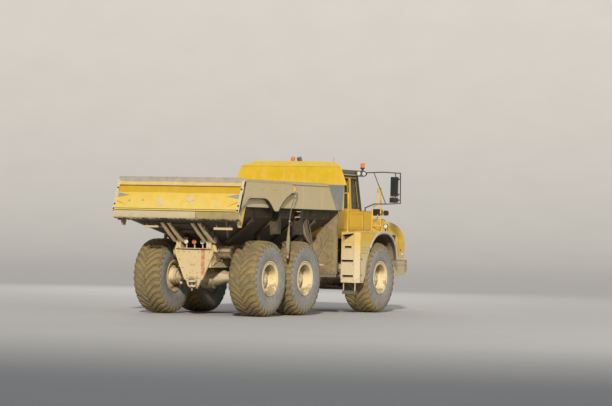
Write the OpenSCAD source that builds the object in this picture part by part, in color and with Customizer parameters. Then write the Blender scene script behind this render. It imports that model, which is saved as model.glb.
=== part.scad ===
// Articulated dump truck, 6x6, with an overhung wire-operated tailgate.
// Frame of the part: +X forward, +Y left, +Z up, millimetres, wheels stand on Z = 0.
// Inside the modules X is counted from the rear axle (module R() shifts it to the part's frame).

/* [Wheels] */
// Radius of every tyre
tyre_r = 935; // [925:1:940]
// Width of every tyre
tyre_w = 760; // [720:5:765]
// Distance between the middles of the left and right tyres
track = 2660; // [2650:5:2680]
// Radius of the rim's flange
rim_r = 440; // [400:5:445]

/* [Stations along the truck] */
// Second axle ahead of the rear axle
mid_x = 1940; // [1930:5:1960]
// Articulation pin ahead of the rear axle
hitch_x = 5170; // [5165:1:5175]
// Front axle ahead of the rear axle
front_x = 6458; // [6450:1:6465]
// Nose of the bumper ahead of the rear axle
nose_x = 9560; // [9540:5:9580]

/* [Body] */
// Height of the side rail above the ground
rail_z = 3340; // [3335:1:3345]
// Half width over the side walls
body_hw = 1610; // [1608:1:1612]
// Height where the side wall folds inward
fold_z = 2680; // [2675:1:2685]
// Half width of the floor
floor_hw = 650; // [645:1:655]
// Height of the floor's underside
floor_z = 1790; // [1788:1:1792]
// Height of the spill guard's front edge
guard_z = 3950; // [3930:5:3960]
// Thickness of the body's plates
wall = 50; // [46:1:54]

/* [Cab] */
// Half width over the cab's sides
cab_hw = 870; // [865:1:872]
// Height of the belt line
belt_z = 2700; // [2690:5:2710]
// Height of the roof's top
roof_z = 3780; // [3770:5:3790]
// Thickness of cab walls and of the door
cab_t = 60; // [56:1:62]

/* [Pins] */
// Radius of the articulation pin
pin_r = 60; // [55:1:65]
// Radius of the body's hinge pins
hinge_r = 45; // [40:1:48]
// Running clearance on pins
fit = 0.1; // [0.05:0.05:0.1]

/* [Hidden] */
$fn = 48;
x_org = -3855;
axle_z = tyre_r;
wheel_y = track / 2;
rail_y0 = 330; rail_y1 = 450;
// body hinge, tailgate pivot and hood hinge in the side view: [x, z]
hinge = [-800, 1850];
gate_p = [1245, 3136];
hood_p = [9400, 1440];
// hoist cylinder: foot on the frame and eye on the body, [x, z], and its distance from the middle
hoist_a = [2900, 1000];
hoist_b = [900, 1700];
hoist_y = 800;
hoist_len = norm(hoist_b - hoist_a);
hoist_ang = atan2(hoist_b[1] - hoist_a[1], hoist_b[0] - hoist_a[0]);
// steering cylinder: foot on the front frame and eye on the hitch, [x, y], and its height
steer_a = [hitch_x + 980, 500];
steer_b = [hitch_x - 60, 300];
steer_z = 1030;
steer_len = norm(steer_b - steer_a);
// the side wall overhangs the sloped plate: foot of the step [y, z]
step_y = 1420;
step_z = 2440;
slope = (step_z - floor_z) / (step_y - floor_hw);
front_k = (fold_z - floor_z) / 970;
step_x = 3300 + (step_z - floor_z) / front_k;
chute = [-220, -1700];
chute_k = 0.3655;
function chute_z(x) = floor_z + (chute[0] - x) * chute_k;
// plane of the tailgate: x of its outer face at height z
gate_bot = [-1860, 2550];
gate_top = [-1551, 3374];
function gate_x(z) = gate_bot[0] + (z - gate_bot[1]) * (gate_top[0] - gate_bot[0]) / (gate_top[1] - gate_bot[1]);
gate_t = 60;

module R() translate([x_org, 0, 0]) children();
module box(a, b) translate([min(a[0], b[0]), min(a[1], b[1]), min(a[2], b[2])])
  cube([abs(b[0] - a[0]), abs(b[1] - a[1]), abs(b[2] - a[2])]);
// profile in X-Z, extruded from y0 to y1
module xz(pts, y0, y1) translate([0, y1, 0]) rotate([90, 0, 0]) linear_extrude(height = y1 - y0) polygon(pts);
// profile in Y-Z, extruded from x0 to x1
module yz(pts, x0, x1) translate([x0, 0, 0]) rotate([90, 0, 90]) linear_extrude(height = x1 - x0) polygon(pts);
// profile in X-Y, extruded from z0 to z1
module xy(pts, z0, z1) translate([0, 0, z0]) linear_extrude(height = z1 - z0) polygon(pts);
module both() { children(); mirror([0, 1, 0]) children(); }
module cyl_y(x, z, r, y0, y1) translate([x, y1, z]) rotate([90, 0, 0]) cylinder(r = r, h = y1 - y0);
module cyl_x(y, z, r, x0, x1) translate([x0, y, z]) rotate([0, 90, 0]) cylinder(r = r, h = x1 - x0);
module cyl_z(x, y, r, z0, z1) translate([x, y, z0]) cylinder(r = r, h = z1 - z0);
// straight tube between two points
module tube(a, b, r) {
  d = b - a; l = norm(d);
  translate(a) rotate([0, acos(d[2] / l), atan2(d[1], d[0])]) cylinder(r = r, h = l);
}
// tube along a list of points with round corners
module run(pts, r) {
  for (i = [0 : len(pts) - 2]) tube(pts[i], pts[i + 1], r);
  for (i = [1 : len(pts) - 2]) translate(pts[i]) sphere(r = 1.1 * r);
}
// plate on four corners with a thickness given as a vector
module plate(p, off) {
  q = [for (v = p) v + off];
  s = cross(p[1] - p[0], p[3] - p[0]) * off;
  f = [[0, 1, 2], [0, 2, 3], [4, 6, 5], [4, 7, 6],
       [0, 4, 5], [0, 5, 1], [1, 5, 6], [1, 6, 2], [2, 6, 7], [2, 7, 3], [3, 7, 4], [3, 4, 0]];
  polyhedron(points = concat(p, q), faces = s > 0 ? f : [for (t = f) [t[2], t[1], t[0]]]);
}

yellow = [0.95, 0.74, 0.06];
tan = [0.76, 0.66, 0.48];
dark = [0.13, 0.13, 0.13];
grey = [0.55, 0.56, 0.58];

// ---------------------------------------------------------------- rear unit
module rear_frame() color(tan) R() {
  // main rails, stepped down towards the articulation
  both() xz([[-700, 1180], [3000, 1180], [3700, 900], [4500, 900], [4500, 1400], [3900, 1400], [3500, 1560], [-700, 1560]],
    rail_y0, rail_y1);
  for (x = [[-700, -640], [900, 1040], [2960, 3060]]) box([x[0], -rail_y0, 1200], [x[1], rail_y0, 1520]);
  // front crosshead with the bearing ring of the rotating hitch
  box([4380, -rail_y0, 900], [4500, rail_y0, 1390]);
  difference() {
    cyl_x(0, 1090, 290, 4500, 4860);
    cyl_x(0, 1090, 192, 4490, 4870);
  }
  // bogie pivot tube across the rails and the tube over the rear axle
  both() cyl_y(970, 1040, 110, rail_y0, 798);
  both() xz([[830, 1040], [1110, 1040], [1200, 1190], [740, 1190]], rail_y0, rail_y1);
  both() cyl_y(-330, 1560, 150, rail_y1, 780);
  // tapered rear plate
  yz([[-515, 1640], [515, 1640], [515, 1480], [340, 1080], [245, 865], [120, 835], [120, 660], [-120, 660], [-120, 835], [-245, 865], [-340, 1080], [-515, 1480]], -840, -800);
  both() xz([[-800, 1180], [-700, 1180], [-700, 1560], [-800, 1560]], rail_y0, rail_y1);
  // towers that carry the body's hinge pins
  both() difference() {
    union() {
      xz([[-800, 1560], [-640, 1560], [-660, 1850], [-880, 1850], [-880, 1640], [-840, 1600], [-800, 1600]], 365, 475);
      cyl_y(hinge[0], hinge[1], 80, 365, 475);
    }
    cyl_y(hinge[0], hinge[1], hinge_r + fit, 360, 480);
  }
  // feet of the hoist cylinders
  both() {
    box([2980, rail_y1, 900], [3060, 875, 1300]);
    for (y = [[725, 755], [845, 875]]) difference() {
      xz([[2980, 920], [2980, 1080], [2900, 1080], [2830, 1040], [2830, 960], [2900, 920]], y[0], y[1]);
      cyl_y(hoist_a[0], hoist_a[1], 35, y[0] - 5, y[1] + 5);
    }
    cyl_y(hoist_a[0], hoist_a[1], 35, 725, 875);
  }
  // rear tow clevis with its vertical pin hole
  for (z = [[700, 740], [820, 860]]) difference() {
    union() { box([-920, -90, z[0]], [-840, 90, z[1]]); cyl_z(-920, 0, 90, z[0], z[1]); }
    cyl_z(-920, 0, 26, z[0] - 5, z[1] + 5);
  }
}
module axle(x, bowl) {
  cyl_y(x, axle_z, 130, -940, 940);
  both() cyl_y(x, axle_z, 190, 880, 940);
  translate([x, 0, axle_z]) sphere(r = bowl);
  both() translate([x, 0, axle_z]) rotate([-90, 0, 0]) translate([0, 0, 60]) cylinder(r1 = bowl - 25, r2 = 130, h = 420);
}
module rear_axle() color(tan) R() axle(0, 300);
module middle_axle() color(tan) R() axle(mid_x, 300);
// beams that join both bogie axles outside the rails
module bogie_beams() color(tan) R() both() difference() {
  xz([[-60, 1067], [-60, 1110], [700, 1180], [860, 1240], [1080, 1240], [1240, 1180], [mid_x + 60, 1110], [mid_x + 60, 1067],
    [1300, 1060], [1120, 900], [820, 900], [640, 1060]], 642, 790);
  cyl_y(970, 1040, 112, 630, 800);
}
// mud guards ahead of the middle wheels, cut along the body's slope
module wheel_guards() color(tan) R() both()
  yz([[rail_y1, 1250], [1080, 1180], [1080, 1040], [1680, 1040], [1680, 2600], [760, 1780], [rail_y1, 1390]], 3750, 3790);
module tail_lamps() color(grey) R() {
  for (y = [-225, 0, 225]) { box([-835, y - 15, 1640], [-805, y + 15, 1800]); cyl_x(y, 1810, 55, -870, -790); }
}
module driveshafts() color(dark) R() {
  tube([302, 0, axle_z], [mid_x - 302, 0, axle_z], 50);
  tube([mid_x + 305, 0, axle_z], [4370, 0, 1060], 50);
}
// ---------------------------------------------------------------- rotating hitch
module hitch() color(tan) R() {
  cyl_x(0, 1090, 190, 4560, 4980);
  cyl_x(0, 1090, 230, 4900, 4960);
  difference() {
    union() { cyl_z(hitch_x, 0, 150, 870, 1280); box([4950, -170, 900], [hitch_x, 170, 1250]); }
    cyl_z(hitch_x, 0, pin_r + fit, 800, 1300);
  }
  // arms for the steering cylinders, two plates a side
  both() for (z = [[960, 990], [1070, 1100]]) difference() {
    xy([[5000, 165], [5160, 140], [5170, 300], [5150, 340], [5110, 360], [5070, 340], [5050, 300]], z[0], z[1]);
    cyl_z(steer_b[0], steer_b[1], 28, z[0] - 5, z[1] + 5);
  }
}
// ---------------------------------------------------------------- front unit
module front_frame() color(tan) R() {
  both() xz([[5700, 1000], [6200, 1000], [6270, 1150], [6650, 1150], [6720, 1000], [9250, 1000], [9250, 1300], [5700, 1300]], 250, 350);
  for (x = [[5600, 5700], [6900, 7000], [8900, 9000]]) box([x[0], -250, 1000], [x[1], 250, 1290]);
  box([5600, -320, 800], [5700, 320, 1350]);
  // ears of the hood's hinge pins
  both() difference() {
    union() { xz([[9150, 1290], [9250, 1290], [9420, 1420], [9390, 1466], [9150, 1330]], 290, 320); cyl_y(hood_p[0], hood_p[1], 30, 290, 320); }
    cyl_y(hood_p[0], hood_p[1], 20 + fit, 280, 330);
  }
  // yoke over and under the hitch, with the articulation pin
  for (z = [[800, 860], [1290, 1350]]) {
    box([hitch_x, -200, z[0]], [5600, 200, z[1]]);
    cyl_z(hitch_x, 0, 200, z[0], z[1]);
  }
  cyl_z(hitch_x, 0, pin_r, 790, 1370);
  // feet of the steering cylinders
  both() {
    for (z = [[955, 985], [1075, 1105]])
      xy([[6060, 350], [6260, 350], [6220, 600], [6150, 630], [6080, 600]], z[0], z[1]);
    cyl_z(steer_a[0], steer_a[1], 25, 955, 1105);
  }
  // brackets under the cab, the fenders and the side boxes
  for (x = [5900, 7100]) both() box([x, 200, 1300], [x + 80, 330, 1950]);
  both() { box([5400, 250, 1150], [5600, 350, 1280]); box([5400, 350, 1150], [5480, 1190, 1280]); }
  both() { box([6900, 350, 1200], [6980, 910, 1280]); box([6900, 880, 1280], [6980, 910, 2100]); }
  both() { box([6420, 350, 1200], [6500, 400, 1660]); box([6420, 400, 1620], [6500, 690, 1660]); }
  // belly plate
  belly_plate();
}
module belly_plate() {
  xz([[6850, 640], [7050, 570], [8300, 570], [8700, 760], [8700, 780], [8300, 600], [7050, 600], [6850, 670]], -420, 420);
  both() xz([[7050, 600], [8300, 600], [8700, 780], [8700, 1000], [7050, 1000]], 400, 420);
  both() box([7050, 350, 1000], [8700, 420, 1040]);
}
module front_axle() color(tan) R() {
  axle(front_x, 270);
  // suspension struts on the axle
  both() cyl_y(front_x, 1060, 60, 420, 640);
  both() { cyl_z(front_x, 620, 70, 1030, 1300); cyl_z(front_x, 620, 50, 1290, 1619.5); }
}
// engine as one plain block, with the radiator ahead of it
module engine_block() color(grey) R() {
  box([7750, -380, 1300], [8850, 380, 2050]);
  difference() { box([8960, -700, 1300], [9150, 700, 2120]); both() box([8950, 360, 1290], [9160, 710, 1380]); }
}
// outer body of the hood; i shrinks it for the hollow
module hood_form(i) intersection() {
  xz([[7600 - i, 1450 - 2 * i], [9390 - i, 1450 - 2 * i], [9430 - i, 1700], [9415 - i, 2060], [9350 - i, 2260 - i], [9230 - i, 2370 - i], [9060 - i, 2420 - i], [7600 - i, 2600 - i]], -1030, 1030);
  yz([[-1030 + i, 1450 - 2 * i], [1030 - i, 1450 - 2 * i], [1030 - i, 1880], [990 - i, 2100], [880 - i, 2300 - i], [700 - i, 2470 - i], [560 - i, 2700], [-560 + i, 2700], [-700 + i, 2470 - i], [-880 + i, 2300 - i], [-990 + i, 2100], [-1030 + i, 1880]], 7600 - 2 * i, 9500);
}
module hood() color(yellow) R() {
  front_mirror();
  difference() {
  hood_form(0);
  hood_form(40);
  // grille openings in the sides and the front
  both() xz([[8140, 1560], [8780, 1560], [8840, 2060], [8200, 2060]], 940, 1100);
  yz([[-800, 1600], [800, 1600], [760, 2060], [-760, 2060]], 9300, 9500);
  // room for the ears of the hinge
  both() box([9300, 275, 1430], [9500, 335, 1510]);
  }
  // lugs with the hinge pins
  both() { xz([[9345, 1445], [9385, 1412], [9415, 1412], [9430, 1440], [9405, 1500], [9400, 1560], [9345, 1560]], 342, 366); cyl_y(hood_p[0], hood_p[1], 20, 284, 366); }
}
// mirror on the hood's right front corner that shows the ground ahead
module front_mirror() {
  run([[9100, -330, 2400], [9100, -330, 2600], [9140, -330, 2640]], 14);
  box([9130, -450, 2600], [9180, -170, 2780]);
  box([9130, -640, 2610], [9180, -500, 2740]);
  tube([9155, -500, 2680], [9155, -450, 2680], 12);
}
// half of the bumper's outline and its skirt up to the front wheel: [x, y]
skirt = [[nose_x, 0], [nose_x, 780], [9450, 1000], [9240, 1180], [8800, 1330], [7480, 1500]];
skirt_in = [[7480, 1450], [8785, 1282], [9215, 1137], [9400, 972], [9500, 760], [9500, 0]];
module bumper() color(grey) R() {
  intersection() {
    xz([[7480, 930], [8900, 1030], [nose_x + 10, 1130], [nose_x + 10, 1385], [7480, 1385]], -1600, 1600);
    union() {
      both() xy(concat(skirt, skirt_in), 900, 1400);
      // deck between the skirt and the hood
      both() xy([[7480, 1080], [9200, 1080], [9200, 1160], [8790, 1300], [7480, 1470]], 1360, 1400);
    }
  }
  both() box([9250, 250, 1050], [9510, 350, 1250]);
  // recovery lugs with cross holes
  both() difference() {
    union() { box([9380, 250, 940], [9480, 290, 1060]); cyl_y(9430, 940, 50, 250, 290); }
    cyl_y(9430, 940, 26, 240, 300);
  }
}
module headlamps() color(grey) R() both() cyl_x(620, 1257, 95, nose_x, nose_x + 10);
// wheel arch contour around the front wheel from the front end to the rear: [x, z]
arch = [[7488, 1420], [7460, 1580], [7400, 1740], [7230, 1960], [6950, 2120], [6550, 2150], [6150, 2080], [5880, 1890], [5760, 1700]];
function grow(p, d) = p + (p - [front_x, axle_z]) / norm(p - [front_x, axle_z]) * d;
module fenders() color(yellow) R() both() {
  n = len(arch) - 1;
  xz(concat(arch, [for (i = [n : -1 : 0]) grow(arch[i], 32)]), 910, 1690);
  xz(concat([for (v = arch) grow(v, -25)], [for (i = [n : -1 : 0]) grow(arch[i], 0)]), 1655, 1690);
}
// side boxes behind the front wheels with the access steps, closed all round
box_front = [[5360, 800], [5490, 1000], [5500, 1100], [5550, 1300], [5700, 1620]];
module side_boxes() color(yellow) R() both() {
  difference() {
    intersection() {
      xz(concat([[5030, 800]], box_front, [[5720, 1738], [5846, 1935], [6120, 2105], [6120, 2125], [5030, 2130]]), 1190, 1680);
      xy([[5030, 1180], [6130, 1180], [6130, 1690], [5170, 1690], [5030, 1560]], 790, 2200);
    }
    // step slots in the rear face: [lower edge, inner end, outer end]
    for (q = [[945, 1230, 1550], [1345, 1200, 1550], [1710, 1285, 1490]]) box([5020, q[1], q[0]], [5160, q[2], q[0] + 50]);
    // three-cornered opening under the platform
    yz([[1215, 1880], [1540, 2075], [1540, 2095], [1215, 2050]], 5020, 5140);
  }
  // hanging step
  box([5040, 1240, 500], [5170, 1590, 580]);
  for (y = [1240, 1570]) box([5080, y, 570], [5110, y + 20, 800]);
}
module cab_floor() color(yellow) R() box([5450, -cab_hw, 1950], [7550, cab_hw, 2150]);
module cab_back() color(yellow) R() difference() {
  box([5450, -cab_hw, 2150], [5450 + cab_t, cab_hw, 3640]);
  box([5440, -620, 2850], [5520, 620, 3480]);
}
// side of the cab in the side view and its two window openings
module cab_side(y0, y1) xz([[5510, 2150], [7490, 2150], [7490, belt_z], [6850, belt_z], [6560, 3640], [5510, 3640]], y0, y1);
module front_window(y0, y1) xz([[6300, 2780], [6745, 2780], [6511, 3540], [6200, 3540]], y0, y1);
module rear_window(y0, y1) xz([[5600, 2780], [6080, 2780], [5990, 3540], [5600, 3540]], y0, y1);
module cab_right_side() color(yellow) R() difference() {
  cab_side(-cab_hw, -cab_hw + cab_t);
  front_window(-cab_hw - 10, -cab_hw + cab_t + 10);
  rear_window(-cab_hw - 10, -cab_hw + cab_t + 10);
}
// door opening: [x0, x1, z0, z1]
door = [5535, 6125, 2190, 3580];
module cab_left_side() color(yellow) R() {
  difference() {
    cab_side(cab_hw - cab_t, cab_hw);
    front_window(cab_hw - cab_t - 10, cab_hw + 10);
    box([door[0] - 6, cab_hw - cab_t - 10, door[2] - 6], [door[1] + 6, cab_hw + 10, door[3] + 6]);
  }
  for (z = [2400, 3300]) { cyl_z(5525, cab_hw + 18, 14, z, z + 60); box([5511, cab_hw, z], [5528, cab_hw + 20, z + 60]); }
}
module cab_door() color(yellow) R() {
  difference() {
    box([door[0], cab_hw - cab_t, door[2]], [door[1], cab_hw, door[3]]);
    box([door[0] + 70, cab_hw - cab_t - 10, 2780], [door[1] - 70, cab_hw + 10, 3510]);
  }
  for (z = [2462, 3362]) { cyl_z(5525, cab_hw + 18, 14, z, z + 60); box([5525, cab_hw + 5, z], [5600, cab_hw + 15, z + 60]); box([5536, cab_hw, z], [5600, cab_hw + 5, z + 60]); }
  box([6040, cab_hw, 2600], [6090, cab_hw + 35, 2630]);
}
module door_glass() color([0.3, 0.35, 0.35]) R() box([door[0] + 70, cab_hw - 34, 2780], [door[1] - 70, cab_hw - 26, 3510]);
module cab_front() color(yellow) R() {
  xz([[7490, 2150], [7550, 2150], [7550, belt_z], [6850, belt_z], [6850, belt_z - cab_t], [7490, belt_z - cab_t]], -cab_hw + cab_t, cab_hw - cab_t);
  both() box([7490, cab_hw - cab_t, 2150], [7550, cab_hw, belt_z]);
  difference() {
    xz([[6850, belt_z], [6912, belt_z], [6622, 3640], [6560, 3640]], -cab_hw, cab_hw);
    xz([[6800, 2780], [6950, 2780], [6710, 3540], [6540, 3540]], -790, 790);
  }
}
module cab_roof() color(yellow) R() {
  xz([[5350, 3640], [7060, 3640], [7075, 3700], [7050, roof_z], [5420, roof_z], [5350, 3700]], -890, 890);
}
module cab_glass() color([0.3, 0.35, 0.35]) R() {
  box([5470, -620, 2850], [5478, 620, 3480]);
  front_window(-cab_hw + 26, -cab_hw + 34);
  rear_window(-cab_hw + 26, -cab_hw + 34);
  front_window(cab_hw - 34, cab_hw - 26);
  xz([[6848, 2780], [6858, 2780], [6623.5, 3540], [6613.5, 3540]], -790, 790);
}
module driver_seat() color(dark) R() {
  box([5850, -200, 2150], [6200, 200, 2380]);
  xz([[5750, 2380], [6320, 2380], [6330, 2500], [5800, 2520]], -260, 260);
  xz([[5730, 2520], [5840, 2520], [5720, 3150], [5620, 3150]], -250, 250);
  both() box([5850, 290, 2640], [6200, 350, 2700]);
  both() box([5900, 260, 2440], [5960, 350, 2640]);
}
module dashboard() color(dark) R() {
  xz([[6560, 2450], [6560, 2600], [6620, 2640], [7100, 2640], [7100, 2560], [6780, 2540], [6740, 2450]], -800, 800);
  box([6640, -90, 2150], [6720, 90, 2450]);
  // steering column and wheel
  tube([6690, 0, 2560], [6440, 0, 2800], 28);
  translate([6430, 0, 2808]) rotate([0, -50, 0]) {
    rotate_extrude($fn = 48) translate([205, 0]) circle(r = 16, $fn = 16);
    for (a = [0, 120, 240]) rotate([0, 0, a]) translate([0, 0, 0]) rotate([0, 90, 0]) cylinder(r = 11, h = 205);
    cylinder(r = 45, h = 30, center = true);
  }
}
// mirror arms and heads, the left side mirrors the right
module mirrors() color(dark) R() both() {
  run([[7036, 896, 3737], [7170, 1380, 3762], [7340, 1797, 3742], [7346, 1812, 2930], [7205, 1480, 2905], [7190, 1105, 2900], [7172, 850, 2790], [7172, 850, belt_z]], 15);
  // heads: [lower end, upper end, inner edge, outer edge]
  for (h = [[3110, 3640, 1520, 1730], [2945, 3085, 1500, 1730]]) box([7322, h[2], h[0]], [7372, h[3], h[1]]);
  tube([7347, 1672, 3600], [7288, 1668, 3750], 13);
  tube([7347, 1655, 3040], [7347, 1655, 3160], 13);
  tube([7347, 1668, 2990], [7279, 1655, 2917], 13);
  tube([7100, 1120, 3748], [7198, 1450, 2899], 11);
}
// rails beside the hood and at the platforms behind the cab
module handrails() color(yellow) R() {
  both() run([[7200, 1050, 2040], [7200, 1050, 2810], [7440, 1050, 2880], [7560, 1050, 3330], [7745, 1050, 3330], [7745, 1050, 2300], [7530, 892, 2300]], 19);
  both() run([[5300, 1230, 2130.3], [5300, 1230, 3150], [5420, 900, 3150]], 17);
}
module roof_lights() color(grey) R() {
  // work lights beside the roof
  both() for (x = [6440, 6760]) {
    tube([x, 891, 3690], [x, 960, 3690], 14);
    cyl_x(1000, 3700, 70, x - 60, x + 50);
  }
  // beacons: [x, y, height of the stalk's foot, stalk]
  for (b = [[6990, -830, roof_z, 60], [5450, 500, roof_z, 160]]) {
    cyl_z(b[0], b[1], 16, b[2], b[2] + b[3]);
    cyl_z(b[0], b[1], 62, b[2] + b[3], b[2] + b[3] + 30);
    cyl_z(b[0], b[1], 55, b[2] + b[3] + 30, b[2] + b[3] + 175);
  }
}
module exhaust_stack() color(grey) R() {
  cyl_z(5270, 200, 110, 1500, 3000);
  cyl_z(5270, 200, 65, 3000, 3960);
  tube([5270, 200, 3940], [5210, 200, 4080], 64);
  box([5230, 150, 1440], [5310, 250, 1500]);
  box([5230, 150, 1350], [5310, 200, 1440]);
  box([5270, 150, 2700], [5450, 250, 2760]);
}
// ---------------------------------------------------------------- body
fin = 55;
// beam under the lip of the chute
module lip(y0, y1) xz([[-1850, 2375], [-1850, 2540], [-1712, 2420], [-1712, 2335], [-1740, 2335]], y0, y1);
module body_floor() color(tan) R() {
  w0 = floor_hw - fin;
  // flat floor and front slope
  yz([[-w0, floor_z], [w0, floor_z], [w0 + 47, floor_z + 40], [-w0 - 47, floor_z + 40]], chute[0], 3300);
  plate([[3300, -w0, floor_z], [3300, w0, floor_z], [step_x, 1364, step_z], [step_x, -1364, step_z]], [-20, 0, 45]);
  plate([[step_x, -1364, step_z], [step_x, 1364, step_z], [4270, 1364, fold_z], [4270, -1364, fold_z]], [-20, 0, 45]);
  // chute over the rear axle and the beam under its lip
  plate([[chute[0], -w0, floor_z], [chute[0], w0, floor_z], [-1740, 1325, chute_z(-1740)], [-1740, -1325, chute_z(-1740)]], [15, 0, 40]);
  lip(-1440, 1440);
  // long beams under the floor
  both() difference() {
    xz([[-600, 1700], [-400, 1600], [3300, 1600], [3300, floor_z], [chute[0], floor_z], [-600, chute_z(-600)]], rail_y0, rail_y1);
    box([-300, rail_y0 - 5, 1605], [3200, rail_y1 - 20, 1745]);
  }
  for (x = [300, 1500, 2700]) box([x, -rail_y0, 1640], [x + 80, rail_y0, floor_z]);
  body_hinges();
}
// one side of the body: rail, wall with its front facet, sloped lower plate, rear corner plate
module body_side() {
  xz([[gate_x(fold_z) + gate_t + 12, fold_z], [gate_x(rail_z) + gate_t + 12, rail_z], [3290, rail_z], [3820, fold_z]], body_hw - wall, body_hw);
  box([gate_x(rail_z) + gate_t + 40, body_hw - 110, rail_z - 70], [3290, body_hw + 10, rail_z]);
  plate([[3290, body_hw, rail_z], [3820, body_hw, fold_z], [4280, 1540, fold_z], [4280, 1570, rail_z]], [0, -wall, 0]);
  // sloped plate over the flat floor, then along the chute, then round the front slope
  yz([[floor_hw - fin, floor_z], [floor_hw, floor_z], [step_y, step_z], [step_y - fin, step_z]], chute[0], 3300);
  plate([[chute[0], floor_hw, floor_z], [chute[1], 1400, chute_z(chute[1])], [chute[1], step_y, step_z], [chute[0], step_y, step_z]], [0, -fin, 0]);
  xz([[-1708, step_z - 60], [-1708, fold_z], [chute[0], fold_z], [chute[0], step_z], [-1690, step_z], [-1690, step_z - 60]], step_y - fin, step_y);
  corner_plate();
  // upright plate of the step and the shelf under the side wall
  box([chute[0], step_y - fin, step_z], [4270, step_y, fold_z]);
  xy([[-1725, step_y - fin], [4280, step_y - fin], [4280, 1490], [3820, body_hw - 50], [-1725, body_hw - 50]], fold_z, fold_z + 45);
  xz([[gate_x(fold_z) + gate_t + 12, fold_z], [-1768, 2540], [-1846, 2490], [-1846, 2380], [-1700, 2335], [-1610, 2170], [-1480, 2170], [-1290, fold_z]], body_hw - 15, body_hw + 10);
  lip(1443, 1740);
  // ribs along the slope, two of them with posts under the wall
  for (x = [-560, 1790, 2900])
    yz([[floor_hw, floor_z], [step_y, step_z], [step_y, step_z - 90], [floor_hw + 90, floor_z]], x, x + 80);
  // this one stops above the way of the hoist cylinder's eye
  yz([[900, floor_z + (900 - floor_hw) * slope], [step_y, step_z], [step_y, step_z - 90], [960, floor_z + (960 - floor_hw) * slope - 80]], 560, 640);
  for (x = [560, 1790])
    yz([[step_y, step_z - 100], [step_y, fold_z], [body_hw - 15, fold_z], [body_hw - 15, 2040], [1370, 2010], [1340, 2290]], x, x + 80);
  // lugs of the hoist cylinder
  for (y = [[725, 755], [845, 875]]) difference() {
    yz([[y[0], 1640], [y[1], 1640], [y[1], floor_z + (y[1] - floor_hw) * slope], [y[0], floor_z + (y[0] - floor_hw) * slope]], hoist_b[0] - 85, hoist_b[0] + 85);
    cyl_y(hoist_b[0], hoist_b[1], 32, y[0] - 5, y[1] + 5);
  }
  // pivot pin of the tailgate arm
  cyl_y(gate_p[0], gate_p[1], 110, body_hw - 5, body_hw + 25);
  cyl_y(gate_p[0], gate_p[1], hinge_r, body_hw, 1730);
}
// three-cornered plate where the slope meets the front plate
module corner_plate() {
  v = [[3300, floor_hw, floor_z], [3300, step_y, step_z], [step_x, step_y, step_z]];
  polyhedron(points = concat(v, [for (q = v) q - [0, fin, 0]]), faces = [[0, 2, 1], [3, 4, 5], [0, 4, 3], [0, 1, 4], [1, 5, 4], [1, 2, 5], [2, 3, 5], [2, 0, 3]]);
}
module body_left_side() color(yellow) R() body_side();
module body_right_side() color(yellow) R() mirror([0, 1, 0]) body_side();
module headboard() color(yellow) R() {
  box([4280, -1570, fold_z], [4330, 1570, rail_z]);
  plate([[4280, -1640, rail_z], [4280, 1640, rail_z], [4320, 1440, 3820], [4320, -1440, 3820]], [50, 0, 0]);
  plate([[4320, -1440, 3820], [4320, 1440, 3820], [4520, 1150, guard_z], [4520, -1150, guard_z]], [50, 0, -8]);
}
// brackets from the chute to the hinge pins, a pair a side
module body_hinges() both() {
  for (y = [[300, 355], [485, 540]]) {
    xz([[-590, 1800], [-720, 1800], [-880, 1790], [-1250, chute_z(-1250) - 160], [-1600, chute_z(-1600) - 40], [-1600, chute_z(-1600) + 5], [-590, chute_z(-590) + 5]], y[0], y[1]);
    cyl_y(hinge[0], hinge[1], 95, y[0], y[1]);
  }
  cyl_y(hinge[0], hinge[1], hinge_r, 300, 540);
}
// wire ropes that hang from the tailgate's pivots
module gate_wires() color(dark) R() both()
  run([[1245, 1745, 3136], [920, 1745, 2700], [830, 1738, 2250], [800, 1730, 1700], [830, 1730, 1480]], 14);
module tailgate() color(yellow) R()
  xz([gate_top, gate_bot, gate_bot + [gate_t, 0], gate_top + [gate_t, 0]], -1750, 1750);
// side arms of the tailgate: lower edge, then the round end at the pivot, then the upper edge
arm_low = [[-1290, 2865], [-1180, 2900], [-420, 2905], [-270, 2870], [-120, 2780], [30, 2650], [110, 2600], [310, 2600], [390, 2690], [560, 2830], [760, 2950], [1060, 3070], [1190, 3055]];
module gate_arms() color(tan) R() both() difference() {
  union() {
    xz(concat([[gate_x(2550) + gate_t, 2550]], arm_low, [[1245, 3226], [1000, 3290], [gate_x(3290) + gate_t, 3290]]), 1650, 1705);
    cyl_y(gate_p[0], gate_p[1], 95, 1650, 1705);
  }
  cyl_y(gate_p[0], gate_p[1], hinge_r + fit, 1640, 1715);
}
// ---------------------------------------------------------------- cylinders
module hoist_frame(s) R() translate([hoist_a[0], s * hoist_y, hoist_a[1]]) rotate([0, -hoist_ang, 0]) children();
module hoist_barrel(s) color(yellow) hoist_frame(s) {
  difference() {
    union() { cyl_y(0, 0, 75, -40, 40); cyl_x(0, 0, 36, 40, 100); cyl_x(0, 0, 72, 86, 1880); }
    cyl_y(0, 0, 35 + fit, -50, 50);
    cyl_x(0, 0, 45.1, 102, 1900);
  }
}
module hoist_rod(s) color(grey) hoist_frame(s) difference() {
  union() { cyl_x(0, 0, 45, 110, hoist_len - 60); cyl_y(hoist_len, 0, 75, -40, 40); }
  cyl_y(hoist_len, 0, 32, -50, 50);
}
module steer_frame(s) R() translate([steer_a[0], s * steer_a[1], steer_z])
  rotate([0, 0, s * atan2(steer_b[1] - steer_a[1], steer_b[0] - steer_a[0])]) children();
module steer_barrel(s) color(grey) steer_frame(s) difference() {
  union() { cyl_z(0, 0, 48, -35, 35); cyl_x(0, 0, 44, 30, 740); }
  cyl_z(0, 0, 25 + fit, -45, 45);
  cyl_x(0, 0, 24.1, 70, 760);
}
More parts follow.
